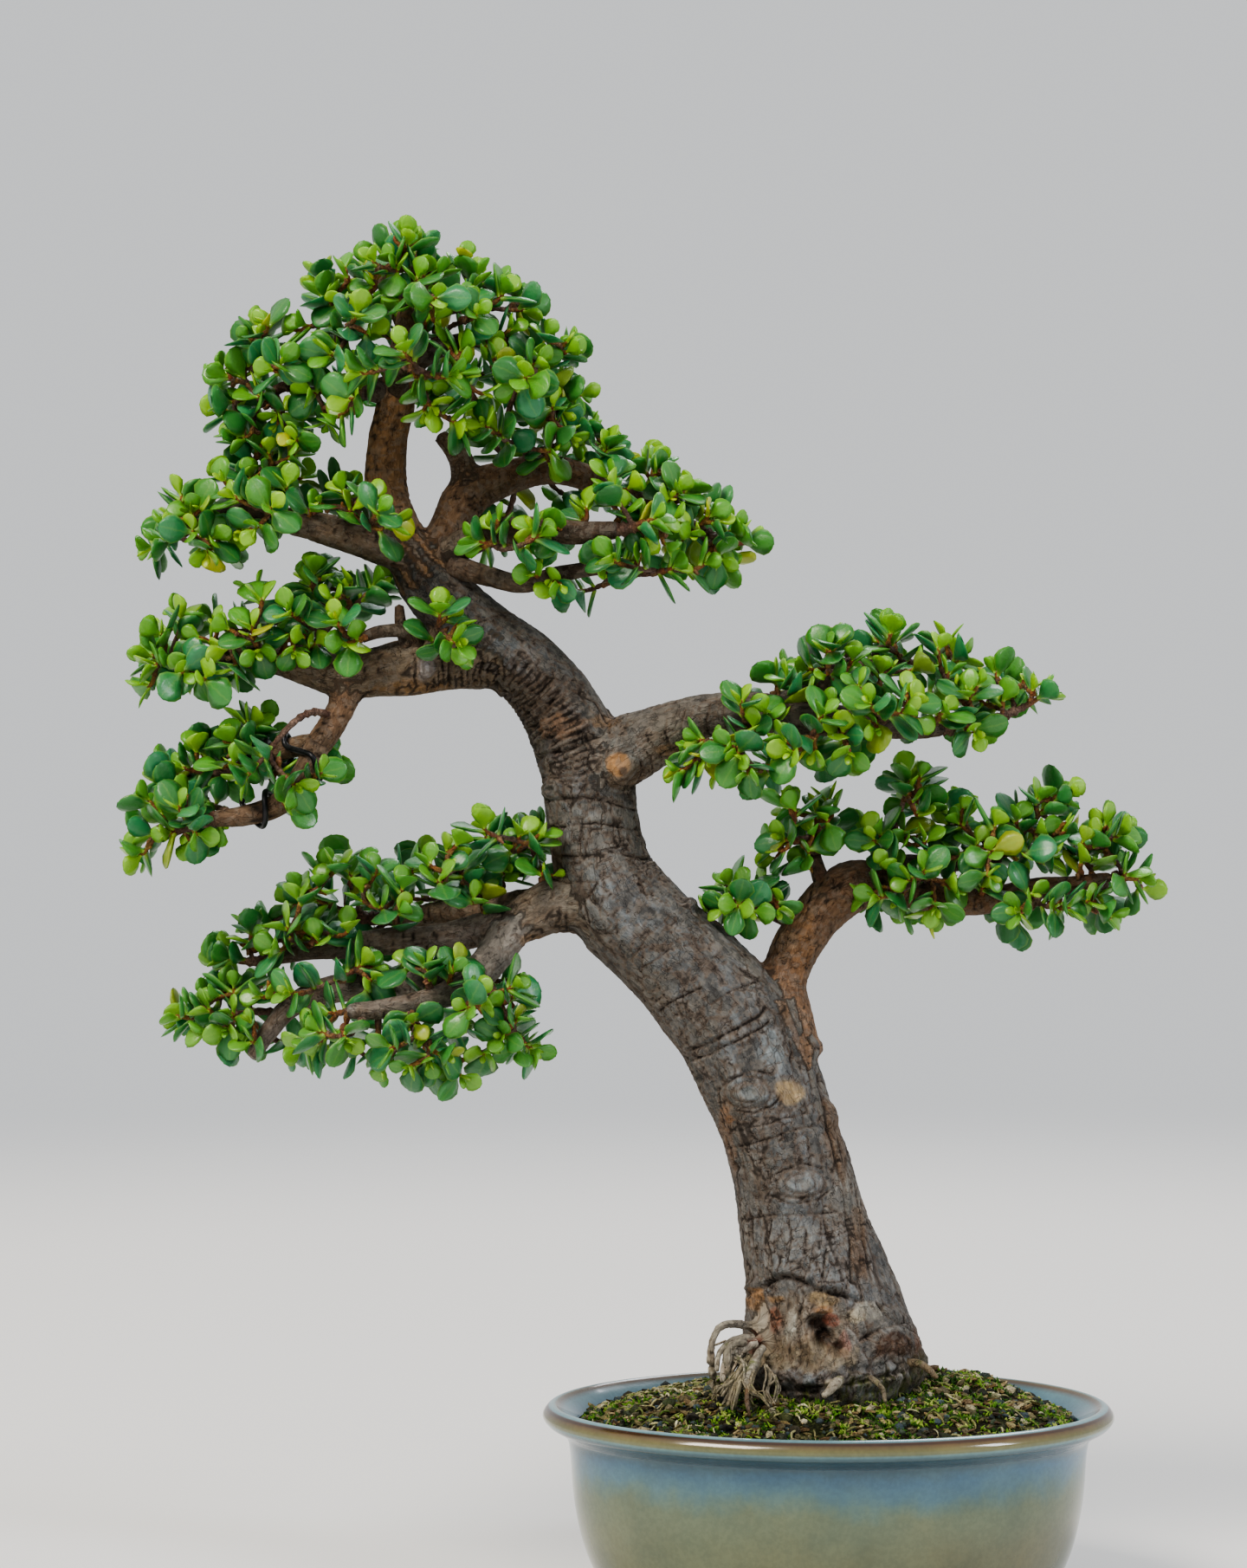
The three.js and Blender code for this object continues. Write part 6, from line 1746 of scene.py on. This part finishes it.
# glaze colours by place on the profile, counted in its points; the dark blue-grey from 6.3 to 7.9, under the
# lip's roll, is painted shade
glazeBands = [
    (0.0, "5f4f39"), (1.0, "5a4d36"), (1.4, "5a553e"), (2.4, "5c5d46"), (3.4, "66674b"), (4.5, "66694d"),
    (5.3, "606850"), (5.5, "556a62"), (5.7, "496a78"), (5.95, "416680"), (6.3, "3c5868"), (7.0, "2b4450"),
    (7.9, "28444f"), (8.3, "3c5e6a"), (8.6, "668689"), (8.8, "6b7052"), (9.3, "6a6440"), (9.75, "5c4a30"),
    (10.0, "3c281d"), (10.25, "442d20"), (10.45, "66868f"), (10.9, "728f93"), (11.3, "667e7e"),
    (11.6, "5c503c"), (11.9, "544433"), (12.3, "50717b"), (12.9, "4a6c7e"), (13.5, "3e5c6d"),
    (14.2, "365262"), (15.2, "3c5562"), (18.0, "4a5a5c")]


def ovalPoint(radius, turn, height):
    drawn = potLook["drawnIn"]
    depth = radius - drawn if radius > 2 * drawn else radius / 2
    return radius * math.cos(turn), depth * math.sin(turn), height


def ovalMesh(name, profile, segments, stations=None):
    # a closed lathe over the oval plan: its first and last points lie on the axis
    turns = 2 * math.pi * np.arange(segments) / segments
    rings = len(profile) - 2
    stations = stations or range(len(profile))
    points, values = [(0, 0, profile[0][1])], [0.0]
    for (radius, height), station in zip(profile[1:-1], stations[1:-1]):
        points += [ovalPoint(radius, turn, height) for turn in turns]
        values += [station] * segments
    points.append((0, 0, profile[-1][1]))
    values.append(stations[-1])
    j = np.arange(segments)
    k = (j + 1) % segments
    last = 1 + (rings - 1) * segments
    tris = np.vstack([np.stack([np.zeros(segments, int), k + 1, j + 1], 1),
                      np.stack([np.full(segments, len(points) - 1), last + j, last + k], 1)])
    faces = [ringFaces(rings - 1, segments, 1), tris]
    return buildMesh(name, np.array(points), faces, {"glazePlace": np.array(values)})


def smoothProfile():
    # the profile as a curve with close points at the lip, and each point's place on it
    rows, stations = [], []
    sharp = {0, 1, 17, 18}
    profile = np.array(potProfile, float)
    for i in range(len(profile) - 1):
        a = profile[max(i - 1, 0)] if i not in sharp else profile[i]
        d = profile[min(i + 2, len(profile) - 1)] if i + 1 not in sharp else profile[i + 1]
        count = 1 if i in (0, 17) else 7 if 6 <= i <= 12 else 5
        for t in np.arange(count) / count:
            rows.append(between(a, profile[i], profile[i + 1], d, t))
            stations.append(i + t)
    return rows + [profile[-1]], stations + [len(profile) - 1]


def cutter(name, middle, run, size, sides, side):
    # a straight bar about the middle, half as long as the run each way
    line = np.array([middle, middle]) + np.outer((-0.5, 0.5), run)
    points, *faces = tube(line, [1, 1], sides, side, 0)
    points = middle + (points - middle) * size
    return buildMesh(name, points, faces)


def makeGlaze():
    material, tree, shader = newMaterial("glaze", potLook["roughness"], 0.5, {
        "Coat Weight": potLook["coat"], "Coat Roughness": 0.05})
    where = objectPlace(tree)
    place = attributeNode(tree, "glazePlace")["Fac"]
    wide = noiseNode(tree, where, 16.0, 3.0)["Fac"]
    close = noiseNode(tree, where, 130.0, 4.0, 0.65)["Fac"]
    streak = noiseNode(tree, stretched(tree, where, 0.22), 90.0, 3.0)["Fac"]
    drift = times(tree, less(tree, wide, 0.5), 0.7)
    for noise, share in ((streak, 0.3), (close, 0.35)):
        drift = plus(tree, drift, times(tree, less(tree, noise, 0.5), share))
    # the bands waver on the body and stay narrow and even on the lip
    onBody = less(tree, 1.0, rangeNode(tree, place, 5.9, 6.8))
    inside = rangeNode(tree, place, 13.0, 14.0)
    freedom = plus(tree, times(tree, plus(tree, onBody, inside), 0.85), 0.14)
    shifted = plus(tree, place, times(tree, drift, freedom))
    bands = [(position / 18, code) for position, code in glazeBands]
    colour = rampNode(tree, mathNode(tree, "DIVIDE", shifted, 18.0), bands)
    # browner low down on the right
    rightward = rangeNode(tree, splitNode(tree, where)[0], -0.04, 0.1)
    browner = times(tree, rightward, onBody, 0.45)
    colour = wash(tree, colour, "54462c", browner, less(tree, 1.0, rangeNode(tree, place, 4.2, 5.4)))
    bloom = mottle(tree, where, 30.0, 0.3, "4f7474", "5f7464")
    colour = blendColour(tree, times(tree, bloom["Mask"], onBody, 0.26), colour, bloom["Colour"])
    colour, _ = mottled(tree, colour, 0.8, where, 45.0, 0.25, (1.2, 1.17, 1.12), (0.78, 0.84, 0.88))
    colour, _ = mottled(tree, colour, 0.6, where, 520.0, 0.1, (1.08, 1.08, 1.06), (0.9, 0.9, 0.88))
    bare = less(tree, 1.0, rangeNode(tree, place, 1.0, 1.35))
    colour = blendColour(tree, bare, colour, rgb("8c6f50"))
    rough = mathNode(tree, "MULTIPLY_ADD", close, 0.16, potLook["roughness"] - 0.06)
    tree.links.new(mathNode(tree, "MULTIPLY_ADD", bare, 0.6, rough), shader["Roughness"])
    dress(tree, shader, colour, plus(tree, wide, times(tree, close, 0.12)), 0.0006, 0.5)
    return material


def makePot():
    rows, stations = smoothProfile()
    mesh = ovalMesh("glazedPot", rows, potLook["segments"], stations)
    pot = addPiece(mesh, makeGlaze(), ["pot"])
    scene = bpy.context.scene
    tools = bpy.data.collections.new("potTools")
    radius = potLook["drainRadius"]
    length, width, depth = potLook["weep"]
    for side in (-1, 1):
        for made in (cutter("drainCutter", np.array([side * potLook["drainOffset"], 0, 8.0]), (0, 0, 32),
                            (radius, radius, 1), 48, np.array([1.0, 0, 0])),
                     cutter("weepCutter", np.array([side * potLook["weepOffset"], 0, 0.0]), (length, 0, 0),
                            (1, width / 2, depth), 24, up)):
            tools.objects.link(bpy.data.objects.new(made.name, made))
    scene.collection.children.link(tools)
    cut = pot.modifiers.new("drains", "BOOLEAN")
    cut.operand_type = "COLLECTION"
    cut.collection = tools
    cut.solver = "EXACT"
    finished = bpy.data.meshes.new_from_object(pot.evaluated_get(bpy.context.evaluated_depsgraph_get()))
    pot.modifiers.clear()
    pot.data = finished
    finished.name = "glazedPot"
    for tool in list(tools.objects):
        bpy.data.objects.remove(tool)
    bpy.data.collections.remove(tools)
    print("pot:", len(finished.polygons), "faces")


def makeScreens():
    material, tree, shader = newMaterial("screenMesh", 0.6, 0.3)
    where = objectPlace(tree)
    tone = mottle(tree, where, 240.0, 0.2, "1e2422", "2f3733")["Colour"]
    weave = addNode(tree, "ShaderNodeTexWave", {"Vector": where, "Scale": 160.0, "Distortion": 0.6},
                    wave_type="BANDS", bands_direction="DIAGONAL")
    dress(tree, shader, tone, weave.outputs["Fac"], 0.0001)
    for name in ("drainage_screen_left", "drainage_screen_right"):
        node = frame["nodes"][name]
        node.data.materials.clear()
        node.data.materials.append(material)


makePot()
makeScreens()


# Soil and its top dressing

soilLook = {
    "halfLength": 96.2, "edgeHeight": 71, "rise": 14.5, "backRise": 4,
    "rings": 52, "segments": 200,
    "relief": 1.0,
    "grit": 2300, "tufts": 1150, "chips": 900, "shreds": 700,  # how many of each
    "spikes": 7,  # in a tuft of moss
    "seed": 11,
    # the colours of grit, bark chips and fibre
    "bitTones": [
        [(0, "20201c"), (0.2, "383832"), (0.3, "3e4b52"), (0.4, "4f5d64"), (0.47, "302e26"), (0.68, "5e5640"),
         (0.86, "8a8064"), (1, "bdb59c")],
        [(0, "453625"), (0.3, "5f4a33"), (0.55, "7c6746"), (0.75, "998560"), (1, "b8a880")],
        [(0, "4c6a28"), (0.28, "7a8a48"), (0.5, "9b9468"), (0.75, "b8b188"), (1, "d2cdac")]],
    "mossTones": [(0, "1e3210"), (0.35, "33561b"), (0.6, "527a26"), (0.8, "78943a"), (1, "a0a660")],
}
soilHalfWidth = soilLook["halfLength"] - potLook["drawnIn"]


def hump(x, y, middleX, middleY, wide, deep):
    return np.exp(-(((x - middleX) / wide) ** 2) - (((y - middleY) / deep) ** 2))


def soilTop(x, y):
    # the mound, and the bed's own relief: clods and dips between them
    share = np.minimum(1, np.hypot(x / soilLook["halfLength"], y / soilHalfWidth))
    mound = soilLook["rise"] * (1 - share ** 2) ** 0.9
    height = soilLook["edgeHeight"] + mound
    height += soilLook["backRise"] * hump(x, y, 55, 25, 30, 28) * (1 - share ** 4)
    rows = np.column_stack([x, y, np.zeros(len(x))])
    clods = noiseAt(rows, 9.0, 3) * 1.5 + noiseAt(rows + 50, 3.2, 2) * 0.7 + 2.6 * hump(x, y, 62, 22, 20, 22)
    return height + soilLook["relief"] * clods * (1 - share ** 6) - 0.8


def makeSoilBed():
    wall = [(0, 8.3), (73.5, 8.3), (82.4, 14.4), (90.4, 38.2), (93.4, 62), (96.0, 70)]
    rings = soilLook["rings"]
    top = [(soilLook["halfLength"] * (1 - ring / rings), soilLook["edgeHeight"]) for ring in range(rings + 1)]
    mesh = ovalMesh("soilBed", wall + top, soilLook["segments"])
    points = vertexRows(mesh) * 1000
    onTop = points[:, 2] > soilLook["edgeHeight"] - 0.1
    points[onTop, 2] = soilTop(points[onTop, 0], points[onTop, 1])
    mesh.vertices.foreach_set("co", (points * 0.001).astype(np.float32).ravel())
    mesh.update()
    return mesh


def mossShare(x, y):
    # how mossy each place is: less where it is brown, on the left and before the foot
    patch = noiseAt(np.column_stack([x, y, np.zeros(len(x))]) + 200, 24.0, 3)
    brown = 1.2 * hump(x, y, -58, 22, 34, 26) + 0.5 * hump(x, y, -20, -5, 22, 12)
    return np.clip(0.62 + 0.9 * patch - brown + 0.35 * hump(x, y, 45, 0, 40, 30), 0, 1)


def scatterPlaces(random, count):
    turn = random.uniform(0, 2 * math.pi, count)
    reach = np.sqrt(random.uniform(0, 0.965, count))
    return soilLook["halfLength"] * reach * np.cos(turn), soilHalfWidth * reach * np.sin(turn)


def tiltedFrames(random, count, lean):
    # a frame for each bit, leaning a little from upright
    turn = random.uniform(0, 2 * math.pi, count)
    tilt = random.normal(0, lean, (count, 2))
    normal = np.column_stack([tilt, np.ones(count)])
    normal /= lengths(normal)[:, None]
    across = np.column_stack([np.cos(turn), np.sin(turn), np.zeros(count)])
    across -= normal * (across * normal).sum(1)[:, None]
    across /= lengths(across)[:, None]
    return across, np.cross(normal, across), normal


def solidForm(kind):
    if kind == "grain":  # twelve corners, twenty faces
        g = (1 + 5 ** 0.5) / 2
        points = np.array([(-1, g, 0), (1, g, 0), (-1, -g, 0), (1, -g, 0), (0, -1, g), (0, 1, g), (0, -1, -g),
                           (0, 1, -g), (g, 0, -1), (g, 0, 1), (-g, 0, -1), (-g, 0, 1)]) / 1.9
        faces = [0, 11, 5, 0, 5, 1, 0, 1, 7, 0, 7, 10, 0, 10, 11, 1, 5, 9, 5, 11, 4, 11, 10, 2, 10, 7, 6,
                 7, 1, 8, 3, 9, 4, 3, 4, 2, 3, 2, 6, 3, 6, 8, 3, 8, 9, 4, 9, 5, 2, 4, 11, 6, 2, 10, 8, 6, 7,
                 9, 8, 1]
        return points, np.reshape(faces, (-1, 3))
    if kind == "chip":  # a flat flake with a split end
        outline = [(-1, -0.35), (-0.4, -0.5), (0.5, -0.42), (1, -0.12), (0.8, 0.2), (0.3, 0.48),
                   (-0.5, 0.42)]
        count = len(outline)
        points = np.array([(x, y, 0.5 - 0.2 * abs(x)) for x, y in outline]
                          + [(x * 0.9, y * 0.85, -0.5) for x, y in outline] + [(0, 0, 0.62), (0, 0, -0.5)])
        faces = []
        for i in range(count):
            k = (i + 1) % count
            faces += [(i, k, 2 * count), (count + k, count + i, 2 * count + 1), (i, count + i, count + k),
                      (i, count + k, k)]
        return points, np.array(faces)
    # a spike, for the moss
    turns = np.arange(3) * 2 * math.pi / 3
    points = np.array([(math.cos(t), math.sin(t), -0.1) for t in turns]
                      + [(0.7 * math.cos(t) + 0.25, 0.7 * math.sin(t), 0.55) for t in turns] + [(0.75, 0, 1)])
    faces = [(0, 2, 1)]
    for i in range(3):
        k = (i + 1) % 3
        faces += [(i, k, 3 + k), (i, 3 + k, 3 + i), (3 + i, 3 + k, 6)]
    return points, np.array(faces)


def addBits(name, kind, material, frames, middles, sizes, tones, random, jitter, smooth=False):
    # copies of a small closed form, each with its own size, lean and irregular corners
    template, faces = solidForm(kind)
    across, aside, normal = frames
    local = template[None] * (1 + random.uniform(-jitter, jitter, (len(middles), len(template), 1)))
    local = local * sizes[:, None, :]
    points = (middles[:, None] + local[..., 0:1] * across[:, None] + local[..., 1:2] * aside[:, None]
              + local[..., 2:3] * normal[:, None])
    index = faces[None] + (np.arange(len(middles)) * len(template))[:, None, None]
    mesh = buildMesh(name, points.reshape(-1, 3), [index.reshape(-1, 3)],
                     {"bitTone": np.repeat(tones, len(template), axis=0)}, smooth)
    addPiece(mesh, material, ["soil"])


def makeDressing(bitMaterial, mossMaterial):
    random = np.random.default_rng(soilLook["seed"])
    # grit: blue-grey, dark and pale grains
    count = soilLook["grit"]
    x, y = scatterPlaces(random, count)
    size = random.uniform(0.6, 1.9, count) * np.where(random.random(count) < 0.08, 1.8, 1)
    middles = np.column_stack([x, y, soilTop(x, y) + size * 0.25])
    shares = [np.ones(count), random.uniform(0.6, 1, count), random.uniform(0.5, 0.85, count)]
    sizes = size[:, None] * np.column_stack(shares)
    tones = np.column_stack([random.random(count), random.random(count), np.zeros(count)])
    frames = tiltedFrames(random, count, 0.4)
    addBits("soilGrit", "grain", bitMaterial, frames, middles, sizes, tones, random, 0.2)
    # bark chips, and nine large ones that the bed is modelled with
    count = soilLook["chips"]
    x, y = scatterPlaces(random, count)
    size = random.uniform(1.4, 3.4, count)
    for k in range(9):
        reach = mix(0.5, 0.88, draw(k, 1))
        x[k] = soilLook["halfLength"] * reach * math.cos(k * goldenTurn)
        y[k] = soilHalfWidth * reach * math.sin(k * goldenTurn)
        size[k] = 4.2 * mix(0.7, 1.15, draw(k, 2))
    middles = np.column_stack([x, y, soilTop(x, y) + 0.35 + size * 0.1])
    sizes = np.column_stack([size, size * random.uniform(0.5, 0.95, count), np.minimum(size * 0.3, 1.1)])
    tones = np.column_stack([random.random(count), random.random(count), np.ones(count)])
    frames = tiltedFrames(random, count, 0.28)
    addBits("barkChips", "chip", bitMaterial, frames, middles, sizes, tones, random, 0.14)
    # moss: small tufts of spikes, thick in its patches
    tufts, per = soilLook["tufts"], soilLook["spikes"]
    x, y = scatterPlaces(random, tufts * 2)
    keep = np.flatnonzero(mossShare(x, y) > random.uniform(0.05, 0.95, tufts * 2))[:tufts]
    x, y = x[keep], y[keep]
    spread = random.normal(0, 1.0, (len(x), per, 2))
    px, py = (x[:, None] + spread[..., 0]).ravel(), (y[:, None] + spread[..., 1]).ravel()
    count = len(px)
    tall = random.uniform(1.0, 2.6, count)
    middles = np.column_stack([px, py, soilTop(px, py) - 0.1])
    sizes = np.column_stack([np.full(count, 1.0), np.full(count, 0.45), tall])
    own = np.repeat(random.random(len(x)), per)
    tones = np.column_stack([own, random.random(count), np.repeat(mossShare(x, y), per)])
    frames = tiltedFrames(random, count, 0.85)
    addBits("mossTufts", "spike", mossMaterial, frames, middles, sizes, tones, random, 0.2, True)
    # curved shreds of pale fibre, more of them dry at the back left
    parts, tones = [], []
    x, y = scatterPlaces(random, soilLook["shreds"])
    dry = random.random(len(x)) < 0.3
    x[dry] = -58 + 15 * random.normal(0, 1, dry.sum())
    y[dry] = 18 + 12 * random.normal(0, 1, dry.sum())
    t = np.linspace(-0.5, 0.5, 6)
    for k in range(soilLook["shreds"]):
        turn, span = random.uniform(0, 2 * math.pi), random.uniform(3, 8.5)
        headings = turn + random.uniform(-1.4, 1.4) * t
        steps = np.column_stack([np.cos(headings), np.sin(headings)]) * span / 5
        flat = np.cumsum(steps, axis=0) - steps.sum(0) / 2
        xs, ys = x[k] + flat[:, 0], y[k] + flat[:, 1]
        if (np.hypot(xs / (soilLook["halfLength"] - 2.5), ys / (soilHalfWidth - 2.5)) >= 1).any():
            continue
        arch = random.uniform(0.2, 1.4)
        line = np.column_stack([xs, ys, soilTop(xs, ys) + 0.5 + arch * (1 - (2 * t) ** 2)])
        radii = random.uniform(0.22, 0.55) * np.array([0.5, 0.9, 1, 1, 0.8, 0.35])
        parts.append(tube(line, radii, 5, firstSide=up))
        tones.append(np.tile([random.random(), random.random(), 2.0], (len(parts[-1][0]), 1)))
    points, *faces = joinParts(parts)
    mesh = buildMesh("fibreShreds", points, faces, {"bitTone": np.vstack(tones)})
    addPiece(mesh, bitMaterial, ["soil"])


def makeBitMaterial():
    # the third tone says what a bit is: 0 grit, 1 bark chip, 2 fibre
    material, tree, shader = newMaterial("dressing", 0.85, 0.25)
    where = objectPlace(tree)
    tone = splitNode(tree, attributeNode(tree, "bitTone")["Vector"])
    grit, chip, shred = [rampNode(tree, tone[0], stops) for stops in soilLook["bitTones"]]
    colour = blendColour(tree, mathNode(tree, "MINIMUM", tone[2], 1.0), grit, chip)
    colour = blendColour(tree, less(tree, mathNode(tree, "MAXIMUM", tone[2], 1.0), 1.0), colour, shred)
    colour, worn = mottled(tree, colour, 0.8, where, 480.0, 0.12, (1.2, 1.18, 1.1), (0.6, 0.6, 0.58))
    algae = mottle(tree, where, 90.0, 0.14, "5c6f2d", "3c4a20")
    green = times(tree, rangeNode(tree, tone[1], 0.35, 0.9), algae["Mask"], 0.6)
    colour = blendColour(tree, green, colour, algae["Colour"])
    net = cracks(tree, where, 600.0, 0.1, 0.001)
    colour = wash(tree, colour, "201a14", net["Mask"], 0.45)
    dress(tree, shader, colour, plus(tree, worn, net["Height"]), 0.0003)
    return material


def makeMossMaterial():
    material, tree, shader = newMaterial("moss", 0.8, 0.2)
    tone = splitNode(tree, attributeNode(tree, "bitTone")["Vector"])[0]
    colour = rampNode(tree, tone, soilLook["mossTones"])
    colour, soft = mottled(tree, colour, 0.8, objectPlace(tree), 240.0, 0.2, (1.2, 1.2, 1.0),
                           (0.6, 0.7, 0.55))
    dress(tree, shader, colour, soft, 0.0002)
    return material


def makeSoilMaterial():
    material, tree, shader = newMaterial("soil", 0.95, 0.15)
    where = objectPlace(tree)
    earth = mottle(tree, where, 70.0, 0.2, "382f24", "1c1b16")["Colour"]
    green = mottle(tree, where, 34.0, 0.12, "39461f", "3a3022")["Colour"]
    colour, grains = mottled(tree, blendColour(tree, 0.45, earth, green), 0.9, where, 620.0, 0.1,
                             (1.5, 1.45, 1.3), (0.45, 0.45, 0.45))
    net = cracks(tree, where, 380.0, 0.12, 0.002)
    colour = wash(tree, colour, "14120e", net["Mask"], 0.6)
    dress(tree, shader, colour, plus(tree, grains, net["Height"]), 0.0008)
    return material


addPiece(makeSoilBed(), makeSoilMaterial(), ["soil"])
makeDressing(makeBitMaterial(), makeMossMaterial())
print("soil ready")


# Stage

stageLook = {
    "floor": "dedcd8",
    "flatRadius": 2.4,
    "fade": (1.1, 2.3),  # the floor fades into the backdrop between these distances
    "worldColour": "eceef0",
    "worldStrength": 0.78,
    "look": "AgX - Medium High Contrast",
    # place, size, watts, tint
    "lights": {
        "keyLight": ((-1.5, -1.6, 2.5), (1.3, 1.0), 84, "fff6ea"),
        "sideLight": ((2.2, -1.2, 1.5), (0.45, 1.0), 28, "eef3ff"),
        "backLight": ((0.5, 2.0, 2.4), (1.4, 1.0), 30, "f4f7ff"),
    },
}


def makeFloor():
    turns = np.arange(96) * 2 * math.pi / 96
    rings = [np.column_stack([r * np.cos(turns), r * np.sin(turns), np.zeros(96)])
             for r in (0.6, 1.2, 1.8, stageLook["flatRadius"])]
    j = np.arange(96)
    faces = [np.stack([np.zeros(96, int), 1 + j, 1 + (j + 1) % 96], 1), ringFaces(3, 96, 1)[:, [0, 3, 2, 1]]]
    mesh = buildMesh("studioFloor", np.vstack([[(0, 0, 0)], *rings]) * 1000, faces)
    floor = bpy.data.objects.new("studioFloor", mesh)
    bpy.context.scene.collection.objects.link(floor)
    material, tree, shader = newMaterial("studioPaint", 0.9, 0.2, {"Base Color": rgb(stageLook["floor"])})
    away = addNode(tree, "ShaderNodeVectorMath", {0: objectPlace(tree)}, operation="LENGTH").outputs["Value"]
    tree.links.new(rangeNode(tree, away, *stageLook["fade"], 1.0, 0.0), shader["Alpha"])
    mesh.materials.append(material)


def makeStage():
    makeFloor()
    scene = bpy.context.scene
    world = bpy.data.worlds.new("studioWorld")
    world.use_nodes = True
    sky = world.node_tree.nodes["Background"].inputs
    sky["Color"].default_value = rgb(stageLook["worldColour"])
    sky["Strength"].default_value = stageLook["worldStrength"]
    scene.world = world
    scene.view_settings.look = stageLook["look"]
    aim = Vector((-0.05, 0, 0.24))
    for name, (place, size, watts, tint) in stageLook["lights"].items():
        lamp = bpy.data.lights.new(name, "AREA")
        lamp.shape = "RECTANGLE"
        lamp.size, lamp.size_y = size
        lamp.energy = watts
        lamp.color = rgb(tint)[:3]
        holder = bpy.data.objects.new(name, lamp)
        holder.location = place
        holder.rotation_euler = (aim - Vector(place)).to_track_quat("-Z", "Y").to_euler()
        scene.collection.objects.link(holder)
    camera = bpy.data.cameras.new("camera")
    camera.sensor_width = 36
    camera.lens = 36 * photoView["distance"] / (1810 * photoView["scale"])
    holder = bpy.data.objects.new("camera", camera)
    holder.location = (photoView["x"] / 1000, -photoView["distance"] / 1000, photoView["height"] / 1000)
    holder.rotation_euler = (math.pi / 2, 0, 0)
    scene.collection.objects.link(holder)
    scene.camera = holder
    print("stage ready")


makeStage()
